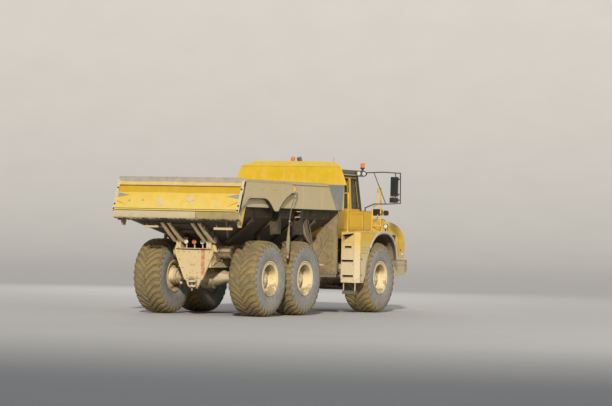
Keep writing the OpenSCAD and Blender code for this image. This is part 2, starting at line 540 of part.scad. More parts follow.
module steer_rod(s) color(grey) steer_frame(s) difference() {
  union() { cyl_x(0, 0, 24, 300, steer_len - 40); cyl_z(steer_len, 0, 48, -34, 34); }
  cyl_z(steer_len, 0, 28, -45, 45);
}
// ---------------------------------------------------------------- wheels
// half section of a tyre: radius against distance from its middle
module tyre(x, s) color(dark) R() translate([x, s * wheel_y, axle_z]) rotate([90, 0, 0])
  rotate_extrude($fn = 96) polygon([for (p = [[330, -300], [448, -320], [530, -370], [620, -tyre_w / 2], [720, -tyre_w / 2 + 2], [820, -tyre_w / 2 + 22], [890, -tyre_w / 2 + 70], [tyre_r - 8, -tyre_w / 2 + 120], [tyre_r, 0],
    [tyre_r - 8, tyre_w / 2 - 120], [890, tyre_w / 2 - 70], [820, tyre_w / 2 - 22], [720, tyre_w / 2 - 2], [620, tyre_w / 2], [530, 370], [448, 320], [330, 300]]) p]);
// rim with its flanges, dish and planetary hub; s is the outer side
module rim(x, s) color(yellow) R() translate([x, s * wheel_y, axle_z]) rotate([s > 0 ? -90 : 90, 0, 0])
  rotate_extrude($fn = 96) polygon([[0, -385], [0, 215], [120, 215], [150, 190], [165, 60], [255, 40], [300, 120], [312, 290], [312, 336], [rim_r, 336], [rim_r, 323],
    [345, 322], [329, 301], [329, -301], [345, -322], [rim_r, -323], [rim_r, -336], [312, -336], [312, -290], [300, -60], [220, -20], [200, -60], [200, -385]]);
module tyre_rear_left() tyre(0, 1);
module tyre_rear_right() tyre(0, -1);
module tyre_middle_left() tyre(mid_x, 1);
module tyre_middle_right() tyre(mid_x, -1);
module tyre_front_left() tyre(front_x, 1);
module tyre_front_right() tyre(front_x, -1);
module rim_rear_left() rim(0, 1);
module rim_rear_right() rim(0, -1);
module rim_middle_left() rim(mid_x, 1);
module rim_middle_right() rim(mid_x, -1);
module rim_front_left() rim(front_x, 1);
module rim_front_right() rim(front_x, -1);

module hoist_barrel_left() hoist_barrel(1);
module hoist_barrel_right() hoist_barrel(-1);
module hoist_rod_left() hoist_rod(1);
module hoist_rod_right() hoist_rod(-1);
module steer_barrel_left() steer_barrel(1);
module steer_barrel_right() steer_barrel(-1);
module steer_rod_left() steer_rod(1);
module steer_rod_right() steer_rod(-1);

rear_frame();
rear_axle();
middle_axle();
bogie_beams();
wheel_guards();
tail_lamps();
driveshafts();
hitch();
front_frame();
front_axle();
engine_block();
hood();
bumper();
headlamps();
fenders();
side_boxes();
cab_floor();
cab_back();
cab_left_side();
cab_right_side();
cab_front();
cab_roof();
cab_glass();
cab_door();
door_glass();
driver_seat();
dashboard();
mirrors();
handrails();
roof_lights();
exhaust_stack();
body_floor();
body_left_side();
body_right_side();
headboard();
gate_wires();
tailgate();
gate_arms();
hoist_barrel_left();
hoist_barrel_right();
hoist_rod_left();
hoist_rod_right();
steer_barrel_left();
steer_barrel_right();
steer_rod_left();
steer_rod_right();
tyre_rear_left();
tyre_rear_right();
tyre_middle_left();
tyre_middle_right();
tyre_front_left();
tyre_front_right();
rim_rear_left();
rim_rear_right();
rim_middle_left();
rim_middle_right();
rim_front_left();
rim_front_right();
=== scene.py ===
# Looks of an articulated dump truck. Metres, +X forward, +Y left, +Z up; inside the
# builders X is counted from the rear axle and shifted by OX when a mesh is made.
import bpy
import bmesh
import math
import numpy as np
from mathutils import Vector, Matrix


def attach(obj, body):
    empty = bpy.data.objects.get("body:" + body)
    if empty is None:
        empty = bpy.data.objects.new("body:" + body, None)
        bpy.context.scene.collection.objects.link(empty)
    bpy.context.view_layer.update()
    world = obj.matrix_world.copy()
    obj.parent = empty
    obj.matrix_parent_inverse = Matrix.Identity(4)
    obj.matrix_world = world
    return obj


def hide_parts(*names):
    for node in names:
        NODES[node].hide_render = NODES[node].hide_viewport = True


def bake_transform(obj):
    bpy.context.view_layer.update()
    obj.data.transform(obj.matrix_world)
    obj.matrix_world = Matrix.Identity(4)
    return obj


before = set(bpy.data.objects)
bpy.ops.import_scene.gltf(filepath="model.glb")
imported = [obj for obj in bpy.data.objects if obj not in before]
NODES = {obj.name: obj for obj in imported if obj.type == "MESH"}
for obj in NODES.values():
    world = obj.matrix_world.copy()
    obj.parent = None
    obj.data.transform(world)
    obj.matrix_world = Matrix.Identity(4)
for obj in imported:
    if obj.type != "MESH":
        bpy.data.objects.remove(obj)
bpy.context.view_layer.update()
OX = -3.855
rng = np.random.default_rng(7)


# ------------------------------------------------------------------ mesh tools
def vsub(a, b): return (a[0] - b[0], a[1] - b[1], a[2] - b[2])
def vadd(a, b): return (a[0] + b[0], a[1] + b[1], a[2] + b[2])
def vmul(a, k): return (a[0] * k, a[1] * k, a[2] * k)
def vlen(a): return math.sqrt(a[0] ** 2 + a[1] ** 2 + a[2] ** 2)
def vnorm(a):
    l = vlen(a) or 1.0
    return (a[0] / l, a[1] / l, a[2] / l)
def vcross(a, b): return (a[1] * b[2] - a[2] * b[1], a[2] * b[0] - a[0] * b[2], a[0] * b[1] - a[1] * b[0])
def vdot(a, b): return a[0] * b[0] + a[1] * b[1] + a[2] * b[2]
def lerp(a, b, t): return tuple(x + (y - x) * t for x, y in zip(a, b))


def basis(d):
    """Two unit vectors square to d."""
    d = vnorm(d)
    u = vnorm(vcross((0, 0, 1), d)) if abs(d[2]) < 0.95 else vnorm(vcross((1, 0, 0), d))
    return u, vcross(d, u)


def inset(poly, c):
    """Polygon moved inwards by c, corner by corner. Any winding."""
    n = len(poly)
    area = sum(poly[i][0] * poly[(i + 1) % n][1] - poly[(i + 1) % n][0] * poly[i][1] for i in range(n))
    s = 1 if area > 0 else -1
    out = []
    for i in range(n):
        p, q, r = poly[i - 1], poly[i], poly[(i + 1) % n]
        d1 = (q[0] - p[0], q[1] - p[1]); d2 = (r[0] - q[0], r[1] - q[1])
        l1 = math.hypot(*d1) or 1; l2 = math.hypot(*d2) or 1
        n1 = (-d1[1] / l1 * s, d1[0] / l1 * s); n2 = (-d2[1] / l2 * s, d2[0] / l2 * s)
        bx, by = n1[0] + n2[0], n1[1] + n2[1]
        k = bx * n1[0] + by * n1[1]
        k = c / max(k, 0.35)
        out.append((q[0] + bx * k, q[1] + by * k))
    return out


def fillet(pts, r, n=5):
    """3-D polyline with its corners rounded by r."""
    out = [tuple(pts[0])]
    for i in range(1, len(pts) - 1):
        p, q, s = pts[i - 1], pts[i], pts[i + 1]
        a, b = vsub(p, q), vsub(s, q)
        k = min(r, vlen(a) * 0.48, vlen(b) * 0.48)
        a = vadd(q, vmul(vnorm(a), k)); b = vadd(q, vmul(vnorm(b), k))
        for j in range(n + 1):
            t = j / n
            out.append(tuple((1 - t) ** 2 * a[c] + 2 * t * (1 - t) * q[c] + t * t * b[c] for c in range(3)))
    out.append(tuple(pts[-1]))
    return out


def fillet2(poly, r, n=4):
    """Closed 2-D polygon with rounded corners; r is one radius or one for each corner."""
    out = []
    m = len(poly)
    for i in range(m):
        p, q, s = poly[i - 1], poly[i], poly[(i + 1) % m]
        ri = r[i] if isinstance(r, (list, tuple)) else r
        if ri <= 0:
            out.append(tuple(q)); continue
        a = (p[0] - q[0], p[1] - q[1]); b = (s[0] - q[0], s[1] - q[1])
        la, lb = math.hypot(*a), math.hypot(*b)
        k = min(ri, la * 0.48, lb * 0.48)
        a = (q[0] + a[0] / la * k, q[1] + a[1] / la * k); b = (q[0] + b[0] / lb * k, q[1] + b[1] / lb * k)
        for j in range(n + 1):
            t = j / n
            out.append(tuple((1 - t) ** 2 * a[c] + 2 * t * (1 - t) * q[c] + t * t * b[c] for c in range(2)))
    return out


def to3(ax, u, v, t):
    """Point of a section: ax 'y' takes (x, z), 'x' takes (y, z), 'z' takes (x, y)."""
    return (u, t, v) if ax == "y" else (t, u, v) if ax == "x" else (u, v, t)


class Part:
    def __init__(self):
        self.v = []; self.f = []; self.m = []

    def add(self, vs, fs, m=0, flip=False):
        n = len(self.v)
        self.v.extend(tuple(map(float, p)) for p in vs)
        for f in fs:
            self.f.append(tuple(i + n for i in (reversed(f) if flip else f)))
        self.m.extend(list(m) if isinstance(m, (list, tuple)) else [m] * len(fs))
        return self

    def merge(self, other, mirror=False, shift=(0, 0, 0)):
        n = len(self.v)
        s = -1 if mirror else 1
        self.v.extend((p[0] + shift[0], s * p[1] + shift[1], p[2] + shift[2]) for p in other.v)
        self.f.extend(tuple(i + n for i in (reversed(f) if mirror else f)) for f in other.f)
        self.m.extend(other.m)
        return self

    def box(self, a, b, m=0, c=0.006):
        lo = [min(a[i], b[i]) for i in range(3)]; hi = [max(a[i], b[i]) for i in range(3)]
        ce = [(lo[i] + hi[i]) / 2 for i in range(3)]; h = [(hi[i] - lo[i]) / 2 for i in range(3)]
        c = min([c] + [x * 0.45 for x in h])
        vs, idx = [], {}
        for sx in (-1, 1):
            for sy in (-1, 1):
                for sz in (-1, 1):
                    s = (sx, sy, sz)
                    for ax in range(3):
                        idx[(s, ax)] = len(vs)
                        vs.append([ce[i] + s[i] * (h[i] - (0 if i == ax else c)) for i in range(3)])
        fs = []
        for ax in range(3):
            i, j = [k for k in range(3) if k != ax]
            for sg in (-1, 1):
                q = []
                for a1, a2 in ((-1, -1), (1, -1), (1, 1), (-1, 1)):
                    s = [0, 0, 0]; s[ax] = sg; s[i] = a1; s[j] = a2
                    q.append(idx[(tuple(s), ax)])
                fs.append(q)
            for s1 in (-1, 1):
                for s2 in (-1, 1):
                    e = []
                    for t in (-1, 1):
                        s = [0, 0, 0]; s[ax] = t; s[i] = s1; s[j] = s2
                        e.append(tuple(s))
                    fs.append([idx[(e[0], i)], idx[(e[1], i)], idx[(e[1], j)], idx[(e[0], j)]])
        for sx in (-1, 1):
            for sy in (-1, 1):
                for sz in (-1, 1):
                    fs.append([idx[((sx, sy, sz), k)] for k in range(3)])
        return self.add(vs, fs, m)

    def obox(self, o, x, y, z, m=0, c=0.004):
        """Box from the corner o along three edge vectors."""
        p = Part().box((0, 0, 0), (vlen(x), vlen(y), vlen(z)), m, c)
        ux, uy, uz = vnorm(x), vnorm(y), vnorm(z)
        p.v = [tuple(o[i] + v[0] * ux[i] + v[1] * uy[i] + v[2] * uz[i] for i in range(3)) for v in p.v]
        return self.merge(p)

    def prism(self, poly, ax, t0, t1, m=0, c=0.0):
        if t0 > t1: t0, t1 = t1, t0
        n = len(poly)
        if c:
            c = min(c, (t1 - t0) * 0.45)
            q = inset(poly, c)
            rings = [(q, t0), (poly, t0 + c), (poly, t1 - c), (q, t1)]
        else:
            rings = [(poly, t0), (poly, t1)]
        vs = [to3(ax, p[0], p[1], t) for r, t in rings for p in r]
        fs = [list(range(n))[::-1], [n * (len(rings) - 1) + i for i in range(n)]]
        for k in range(len(rings) - 1):
            for i in range(n):
                j = (i + 1) % n
                fs.append([k * n + i, k * n + j, (k + 1) * n + j, (k + 1) * n + i])
        return self.add(vs, fs, m)

    def ring(self, outer, inner, ax, t0, t1, m=0, c=0.0):
        """Frame between two polygons with as many corners each."""
        n = len(outer)
        oi = inset(outer, c) if c else outer
        ii = inset(inner, -c) if c else inner
        loops = [(oi, t1), (outer, t1 - c), (outer, t0 + c), (oi, t0), (ii, t0), (inner, t0 + c), (inner, t1 - c), (ii, t1)]
        if not c: loops = [loops[1], loops[2], loops[5], loops[6]]
        vs = [to3(ax, p[0], p[1], t) for r, t in loops for p in r]
        k = len(loops)
        fs = []
        for a in range(k):
            b = (a + 1) % k
            for i in range(n):
                j = (i + 1) % n
                fs.append([a * n + i, a * n + j, b * n + j, b * n + i])
        return self.add(vs, fs, m)

    def tube(self, pts, r, m=0, n=12, caps=True, r1=None):
        pts = [tuple(p) for p in pts]
        pts = [p for i, p in enumerate(pts) if i == 0 or vlen(vsub(p, pts[i - 1])) > 1e-6]
        k = len(pts)
        tan = []
        for i in range(k):
            a = vnorm(vsub(pts[i], pts[i - 1])) if i else None
            b = vnorm(vsub(pts[i + 1], pts[i])) if i < k - 1 else None
            tan.append(vnorm(vadd(a, b)) if a and b else (a or b))
        u, w = basis(tan[0])
        vs = []
        for i in range(k):
            u = vnorm(vsub(u, vmul(tan[i], vdot(u, tan[i]))))
            w = vcross(tan[i], u)
            rr = r if r1 is None else r + (r1 - r) * i / (k - 1)
            for j in range(n):
                a = 2 * math.pi * j / n
                vs.append(vadd(pts[i], vadd(vmul(u, math.cos(a) * rr), vmul(w, math.sin(a) * rr))))
        fs = [[i * n + j, i * n + (j + 1) % n, (i + 1) * n + (j + 1) % n, (i + 1) * n + j] for i in range(k - 1) for j in range(n)]
        if caps: fs += [list(range(n))[::-1], [(k - 1) * n + j for j in range(n)]]
        return self.add(vs, fs, m)

    def lathe(self, o, d, prof, m=0, n=32, a0=0.0, a1=360.0):
        """Turns (along, radius) pairs about the line from o along d. mats may be a list, one for each band."""
        d = vnorm(d); u, w = basis(d)
        full = abs(a1 - a0) >= 359.9
        cols = n if full else n + 1
        vs, start = [], []
        for s, r in prof:
            c = vadd(o, vmul(d, s))
            start.append(len(vs))
            if r <= 1e-6:
                vs.append(c)
            else:
                for j in range(cols):
                    a = math.radians(a0 + (a1 - a0) * j / n)
                    vs.append(vadd(c, vadd(vmul(u, math.cos(a) * r), vmul(w, math.sin(a) * r))))
        for k in range(len(prof) - 1):
            r0, r1 = prof[k][1], prof[k + 1][1]
            fs = []
            for j in range(n):
                j2 = (j + 1) % n if full else j + 1
                a, b = start[k], start[k + 1]
                if r0 <= 1e-6 and r1 <= 1e-6: continue
                if r0 <= 1e-6: fs.append([a, b + j2, b + j])
                elif r1 <= 1e-6: fs.append([a + j, a + j2, b])
                else: fs.append([a + j, a + j2, b + j2, b + j])
            n0 = len(self.v)
            self.f.extend(tuple(i + n0 for i in f) for f in fs)
            self.m.extend([m[k] if isinstance(m, (list, tuple)) else m] * len(fs))
        self.v.extend(tuple(map(float, p)) for p in vs)
        return self

    def rod(self, a, b, r, m=0, n=20, c=0.003):
        l = vlen(vsub(b, a)); c = min(c, r * 0.4, l * 0.3)
        return self.lathe(a, vsub(b, a), [(0, 0), (0, r - c), (c, r), (l - c, r), (l, r - c), (l, 0)], m, n)

    def bolt(self, p, d, r=0.014, h=0.010, m=0, washer=True):
        d = vnorm(d)
        if washer: self.lathe(p, d, [(0, r * 1.45), (h * 0.22, r * 1.45), (h * 0.22, 0)], m, 12)
        return self.lathe(vadd(p, vmul(d, h * 0.2)), d, [(0, r), (h * 0.8, r), (h, r * 0.86), (h, 0)], m, 6)

    def grid(self, f, nu, nv, m=0, cu=False, flip=False):
        vs = [f(i / nu, j / nv) for i in range(nu + (0 if cu else 1)) for j in range(nv + 1)]
        fs = []
        for i in range(nu):
            i2 = (i + 1) % nu if cu else i + 1
            for j in range(nv):
                fs.append([i * (nv + 1) + j, i2 * (nv + 1) + j, i2 * (nv + 1) + j + 1, i * (nv + 1) + j + 1])
        return self.add(vs, fs, m, flip)

    def build(self, name, mats, body, replaces=(), bevel=0.0, seg=2, smooth=32, slot=None, sub=0, recalc=True, limit=35):
        me = bpy.data.meshes.new(name)
        vs = np.array(self.v, float)
        vs[:, 0] += OX
        me.from_pydata(vs.tolist(), [], self.f)
        me.polygons.foreach_set("material_index", self.m)
        for x in mats: me.materials.append(x)
        if recalc:
            bm = bmesh.new(); bm.from_mesh(me)
            bmesh.ops.recalc_face_normals(bm, faces=bm.faces)
            bm.to_mesh(me); bm.free()
        me.update()
        me.shade_smooth()
        me.set_sharp_from_angle(angle=math.radians(smooth))
        ob = bpy.data.objects.new(name, me)
        bpy.context.scene.collection.objects.link(ob)
        if bevel:
            add_bevel(ob, bevel, seg, limit)
        if sub:
            md = ob.modifiers.new("sub", "SUBSURF"); md.levels = md.render_levels = sub
        if body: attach(ob, body)
        if replaces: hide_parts(*replaces)
        return ob


def add_bevel(ob, w, seg=2, limit=35):
    md = ob.modifiers.new("edge", "BEVEL")
    md.width = w; md.segments = seg
    md.limit_method = "ANGLE"; md.angle_limit = math.radians(limit)
    md.harden_normals = True
    md.miter_outer = "MITER_ARC"
    return md


def both(make):
    """A part made once and mirrored to the other side."""
    p = make()
    return Part().merge(p).merge(p, mirror=True)


# ------------------------------------------------------------------ materials
class Tree:
    """Small helper to write a material's nodes."""
    def __init__(self, name):
        self.mat = bpy.data.materials.new(name)
        self.mat.use_nodes = True
        self.nt = self.mat.node_tree
        self.nt.nodes.clear()
        self.out = self.nt.nodes.new("ShaderNodeOutputMaterial")
        self.tc = self.nt.nodes.new("ShaderNodeTexCoord")
        self.pos = self.tc.outputs["Object"]
        self.nrm = self.tc.outputs["Normal"]

    def link(self, a, b): self.nt.links.new(a, b)

    def put(self, sock, val):
        if val is None: return
        if isinstance(val, bpy.types.NodeSocket): self.link(val, sock)
        elif isinstance(val, (tuple, list)) and len(val) == 3 and sock.type == "RGBA": sock.default_value = (*val, 1)
        else: sock.default_value = val

    def math(self, op, a, b=None, c=None, clamp=False):
        n = self.nt.nodes.new("ShaderNodeMath"); n.operation = op; n.use_clamp = clamp
        self.put(n.inputs[0], a)
        if b is not None: self.put(n.inputs[1], b)
        if c is not None: self.put(n.inputs[2], c)
        return n.outputs[0]

    def add(self, a, b, clamp=False): return self.math("ADD", a, b, clamp=clamp)
    def mul(self, a, b, clamp=False): return self.math("MULTIPLY", a, b, clamp=clamp)
    def sub(self, a, b, clamp=False): return self.math("SUBTRACT", a, b, clamp=clamp)
    def mx(self, a, b): return self.math("MAXIMUM", a, b)

    def map(self, v, a, b, c=0.0, d=1.0, smooth=False):
        n = self.nt.nodes.new("ShaderNodeMapRange")
        n.interpolation_type = "SMOOTHSTEP" if smooth else "LINEAR"
        n.clamp = True
        self.put(n.inputs[0], v)
        for i, x in enumerate((a, b, c, d)): n.inputs[i + 1].default_value = x
        return n.outputs[0]

    def scaled(self, sx, sy, sz, src=None, off=(0, 0, 0)):
        n = self.nt.nodes.new("ShaderNodeMapping")
        n.inputs["Scale"].default_value = (sx, sy, sz)
        n.inputs["Location"].default_value = off
        self.link(src or self.pos, n.inputs["Vector"])
        return n.outputs[0]

    def noise(self, scale, detail=4, rough=0.55, vec=None, dist=0.0):
        n = self.nt.nodes.new("ShaderNodeTexNoise")
        n.inputs["Scale"].default_value = scale
        n.inputs["Detail"].default_value = detail
        n.inputs["Roughness"].default_value = rough
        n.inputs["Distortion"].default_value = dist
        self.link(vec or self.pos, n.inputs["Vector"])
        return n.outputs[0]

    def voronoi(self, scale, feature="F1", vec=None, out="Distance", rand=1.0):
        n = self.nt.nodes.new("ShaderNodeTexVoronoi")
        n.feature = feature
        n.inputs["Scale"].default_value = scale
        if "Randomness" in n.inputs: n.inputs["Randomness"].default_value = rand
        self.link(vec or self.pos, n.inputs["Vector"])
        return n.outputs[out]

    def wave(self, scale, axis="Z", dist=0.0, vec=None, detail=2, dscale=1.0, profile="SIN"):
        n = self.nt.nodes.new("ShaderNodeTexWave")
        n.bands_direction = axis; n.wave_profile = profile
        n.inputs["Scale"].default_value = scale
        n.inputs["Distortion"].default_value = dist
        n.inputs["Detail"].default_value = detail
        n.inputs["Detail Scale"].default_value = dscale
        self.link(vec or self.pos, n.inputs["Vector"])
        return n.outputs["Fac"]

    def xyz(self, vec=None):
        n = self.nt.nodes.new("ShaderNodeSeparateXYZ")
        self.link(vec or self.pos, n.inputs[0])
        return n.outputs[0], n.outputs[1], n.outputs[2]

    def mix(self, f, a, b):
        n = self.nt.nodes.new("ShaderNodeMix"); n.data_type = "RGBA"
        self.put(n.inputs[0], f)
        ins = [s for s in n.inputs if s.type == "RGBA"]
        self.put(ins[0], a); self.put(ins[1], b)
        return [s for s in n.outputs if s.type == "RGBA"][0]

    def bump(self, h, strength, dist, normal=None):
        n = self.nt.nodes.new("ShaderNodeBump")
        n.inputs["Strength"].default_value = strength
        n.inputs["Distance"].default_value = dist
        self.put(n.inputs["Height"], h)
        if normal is not None: self.link(normal, n.inputs["Normal"])
        return n.outputs[0]

    def bsdf(self, color, rough, metal=0.0, normal=None, **kw):
        n = self.nt.nodes.new("ShaderNodeBsdfPrincipled")
        self.put(n.inputs["Base Color"], color)
        self.put(n.inputs["Roughness"], rough)
        self.put(n.inputs["Metallic"], metal)
        for k, v in kw.items():
            self.put(n.inputs[k.replace("_", " ")], v)
        if normal is not None: self.link(normal, n.inputs["Normal"])
        self.link(n.outputs[0], self.out.inputs[0])
        return self.mat


DUST = (0.47, 0.385, 0.255)
DUST2 = (0.56, 0.475, 0.33)
MUD = (0.215, 0.155, 0.085)
MUD2 = (0.33, 0.25, 0.145)


def worn(name, a, b, rough=0.5, metal=0.0, dust=0.5, low=(0.4, 2.2), up=0.6, mud=0.3, mudtop=1.9,
         chips=0.0, chipcol=(0.12, 0.10, 0.085), streak=0.3, bump=0.25, rust=0.0, spec=0.5, dcol=None, mcol=None, side=0.0, extra=None, grain=1.0, down=0.6):
    """Painted or bare metal with dust that thins with height and lies on what faces up, mud splashes,
    run marks and chips. low: heights where the dust is full and gone; up: dust on flats; extra(t, col, dust): own changes."""
    t = Tree(name)
    x, y, z = t.xyz()
    nx, ny, nz = t.xyz(t.nrm)
    big = t.noise(0.9, 5, 0.6)
    mid = t.noise(5.5, 6, 0.62, dist=0.3)
    fine = t.noise(38 * grain, 5, 0.6)
    run = t.noise(3.2, 5, 0.65, vec=t.scaled(2.6, 2.6, 0.32))
    col = t.mix(t.map(mid, 0.32, 0.72), a, b)
    # run marks down the upright faces
    upright = t.map(nz, 0.1, 0.65, 1.0, 0.0)
    rm = t.mul(t.map(run, 0.50, 0.74, 0, 1, True), upright)
    dc = t.mix(t.map(fine, 0.3, 0.7), dcol or DUST, DUST2 if dcol is None else vmul(dcol, 1.22))
    dm = t.map(z, low[0], low[1], 1.0, 0.0)
    dm = t.mul(dm, t.map(big, 0.25, 0.7, 0.55, 1.15))
    flat = t.mul(t.map(nz, 0.25, 0.95, 0.0, 1.0, True), up * 1.25)
    dm = t.add(dm, t.mul(flat, t.map(mid, 0.3, 0.62, 0.45, 1.1)))
    dm = t.add(dm, t.mul(rm, streak * 0.9))
    dm = t.add(dm, t.mul(t.sub(mid, 0.5), 0.55))
    if side:  # more on what faces backwards
        dm = t.add(dm, t.mul(t.map(nx, 0.0, -0.9, 0.0, 1.0), side))
    dm = t.mul(t.math("MINIMUM", t.mx(dm, 0.0), 1.0), dust)
    dm = t.mul(dm, t.map(fine, 0.28, 0.62, 0.72, 1.0), clamp=True)
    col = t.mix(dm, col, dc)
    r = t.map(dm, 0.0, 0.7, rough, 0.92)
    h = t.mul(dm, 0.25)
    if rust:
        rs = t.map(t.noise(7.5, 8, 0.7, dist=0.6), 0.58, 0.70, 0, 1, True)
        rs = t.mul(rs, rust)
        col = t.mix(rs, col, t.mix(mid, (0.20, 0.075, 0.025), (0.36, 0.16, 0.06)))
        r = t.mx(r, t.mul(rs, 0.95))
    if chips:
        ch = t.map(t.noise(26, 7, 0.72), 0.665, 0.69, 0, 1)
        ch = t.mul(ch, t.map(t.noise(2.1, 3, 0.5), 0.46, 0.60, 0, 1, True))
        ch = t.mul(ch, chips)
        col = t.mix(ch, col, chipcol)
        h = t.sub(h, t.mul(ch, 0.25))
    if mud:
        mn = t.noise(3.4, 9, 0.66, dist=0.8)
        spl = t.voronoi(17, "F1")
        mm = t.add(t.mul(mn, 1.0), t.map(z, 0.2, mudtop, 0.30, -0.16))
        mm = t.add(mm, t.mul(t.map(nz, 0.3, 0.95, 0, 1), 0.06))
        mm = t.sub(mm, t.mul(spl, 0.07))
        mm = t.map(mm, 0.60, 0.70, 0, 1, True)
        mm = t.mul(mm, mud, clamp=True)
        mc = t.mix(t.map(fine, 0.3, 0.7), mcol or MUD, MUD2 if mcol is None else vmul(mcol, 1.45))
        col = t.mix(mm, col, mc)
        r = t.mx(r, t.mul(mm, 0.94))
        h = t.add(h, t.mul(mm, t.map(mid, 0.3, 0.7, 0.6, 1.4)))
    h = t.add(h, t.mul(fine, 0.22))
    if extra: col, r, h = extra(t, col, r, h, dm)
    if down:  # grime and painted shade: what looks at the ground is darkened
        col = t.mix(t.mul(t.map(nz, -0.12, -0.7, 0.0, down, True), t.map(mid, 0.25, 0.6, 0.85, 1.0)), col, (0.040, 0.030, 0.019))
    return t.bsdf(col, r, metal, t.bump(h, bump, 0.006), Specular_IOR_Level=spec)


YEL_A, YEL_B = (0.86, 0.53, 0.025), (0.93, 0.62, 0.045)


# shared finishes
M_YEL = worn("yellow_paint_dusty", (0.74, 0.43, 0.004), (0.80, 0.495, 0.011), rough=0.42, dust=0.42, low=(0.7, 2.5), up=0.7, mud=0.45, mudtop=2.2, chips=0.7, streak=0.35)
M_CAB = worn("cab_paint", (0.74, 0.425, 0.004), (0.80, 0.485, 0.010), rough=0.36, dust=0.28, low=(1.2, 2.9), up=0.8, mud=0.2, mudtop=2.2, chips=0.4, streak=0.3)
M_HEAD = worn("headboard_paint", (0.68, 0.43, 0.008), (0.74, 0.49, 0.025), rough=0.45, dust=0.50, low=(2.6, 3.6), up=0.5, mud=0.0, chips=0.8, streak=0.7, dcol=(0.66, 0.50, 0.20))
M_GATE = worn("tailgate_paint", (0.70, 0.45, 0.014), (0.75, 0.51, 0.055), rough=0.5, dust=0.48, low=(2.4, 3.35), up=0.55, mud=0.22, mudtop=3.0, chips=0.9, streak=0.8, rust=0.12, dcol=(0.62, 0.53, 0.27))
M_WORN = worn("worn_rim_steel", (0.30, 0.285, 0.255), (0.43, 0.405, 0.355), rough=0.55, metal=0.2, dust=0.75, low=(2.6, 4.0), up=0.7, mud=0.25, mudtop=3.6, chips=0.6, streak=0.5, rust=0.35)
# grey-blue with dust and wear; on the body's front facet and in the tailgate's pressed notch it is painted shade
M_FACET = worn("grey_blue_dust_wear_and_painted_shade", (0.20, 0.215, 0.235), (0.27, 0.285, 0.30), rough=0.6, dust=0.55, low=(2.4, 3.6), up=0.5, mud=0.2, mudtop=3.0, streak=1.0, chips=0.4)
# dark mud under the body; its very dark tone and the strong darkening of faces that look down are partly painted shade
M_UNDER = worn("body_underside_mud_and_painted_shade", (0.075, 0.052, 0.028), (0.14, 0.10, 0.055), rough=0.85, dust=0.30, low=(1.6, 3.2), up=0.8, down=0.8, mud=1.0, mudtop=3.4, bump=0.9, dcol=(0.33, 0.265, 0.17))
# near-black: dirt, and painted shade where it fills gaps, slots and the wall's underside
M_DARK = worn("near_black_dirt_and_painted_shade", (0.018, 0.015, 0.012), (0.04, 0.032, 0.024), rough=0.85, dust=0.12, low=(1.0, 3.0), mud=0.35, mudtop=2.6, bump=0.6, mcol=(0.09, 0.065, 0.035))
M_LINER = worn("liner_scoured_steel", (0.30, 0.27, 0.23), (0.42, 0.39, 0.34), rough=0.5, metal=0.3, dust=0.8, low=(1.6, 3.6), up=0.7, mud=0.8, mudtop=3.4, rust=0.4, streak=0.4, bump=0.5)
M_FRAME = worn("frame_dusty_tan", (0.50, 0.35, 0.12), (0.62, 0.45, 0.19), rough=0.62, dust=0.95, low=(0.9, 3.2), up=0.9, mud=0.75, mudtop=2.1, rust=0.3, bump=0.5, side=0.35, dcol=(0.58, 0.475, 0.31))
M_AXLE = worn("axle_caked", (0.33, 0.24, 0.11), (0.46, 0.34, 0.17), rough=0.7, dust=0.95, low=(0.7, 2.6), up=0.9, mud=0.9, mudtop=2.0, rust=0.25, bump=0.8, side=0.4, dcol=(0.55, 0.45, 0.29))
M_GUARD = worn("guard_mud_rubber", (0.135, 0.095, 0.042), (0.24, 0.172, 0.082), rough=0.88, dust=0.6, low=(1.6, 3.4), up=0.6, mud=1.0, mudtop=3.6, bump=1.2, dcol=(0.385, 0.295, 0.155), mcol=(0.185, 0.13, 0.06))
M_BOX = worn("side_box_dusty", (0.68, 0.42, 0.015), (0.75, 0.49, 0.035), rough=0.5, dust=1.0, low=(1.35, 2.05), up=0.7, mud=0.45, mudtop=1.7, chips=0.6, streak=0.25, side=0.25, dcol=(0.60, 0.50, 0.33))
M_BUMP = worn("bumper_dusty", (0.72, 0.43, 0.04), (0.80, 0.50, 0.07), rough=0.55, dust=0.95, low=(1.1, 2.0), up=0.8, mud=0.5, mudtop=1.7, chips=0.6, dcol=(0.52, 0.44, 0.31))
M_LIP = worn("arch_lip_worn", (0.42, 0.41, 0.38), (0.58, 0.56, 0.52), rough=0.6, dust=0.7, low=(1.2, 2.6), up=0.8, mud=0.45, mudtop=2.2, chips=0.4)
M_GREY = worn("grey_steel", (0.16, 0.155, 0.15), (0.24, 0.23, 0.22), rough=0.5, metal=0.4, dust=0.6, low=(0.6, 3.0), mud=0.4)
M_BLACK = worn("black_plastic", (0.014, 0.014, 0.016), (0.028, 0.028, 0.030), rough=0.45, dust=0.28, low=(0.8, 3.8), mud=0.12, bump=0.15)
M_RUB = worn("black_rubber", (0.020, 0.020, 0.021), (0.038, 0.037, 0.036), rough=0.75, dust=0.5, low=(0.6, 3.4), mud=0.4, bump=0.3)
M_ROD = worn("rod_chrome", (0.62, 0.62, 0.62), (0.72, 0.72, 0.72), rough=0.16, metal=1.0, dust=0.25, low=(0.5, 3.0), mud=0.2, bump=0.05)
M_ENG = worn("engine_paint", (0.13, 0.16, 0.13), (0.19, 0.22, 0.18), rough=0.5, dust=0.5, low=(0.8, 2.2), mud=0.3, rust=0.2)
M_EXH = worn("exhaust_steel", (0.20, 0.17, 0.14), (0.34, 0.30, 0.26), rough=0.55, metal=0.5, dust=0.4, low=(1.6, 4.2), mud=0.2, rust=0.6)
M_STEP = worn("step_tread", (0.10, 0.095, 0.085), (0.20, 0.19, 0.17), rough=0.6, metal=0.3, dust=0.7, low=(0.5, 2.6), mud=0.7, chips=0.5)
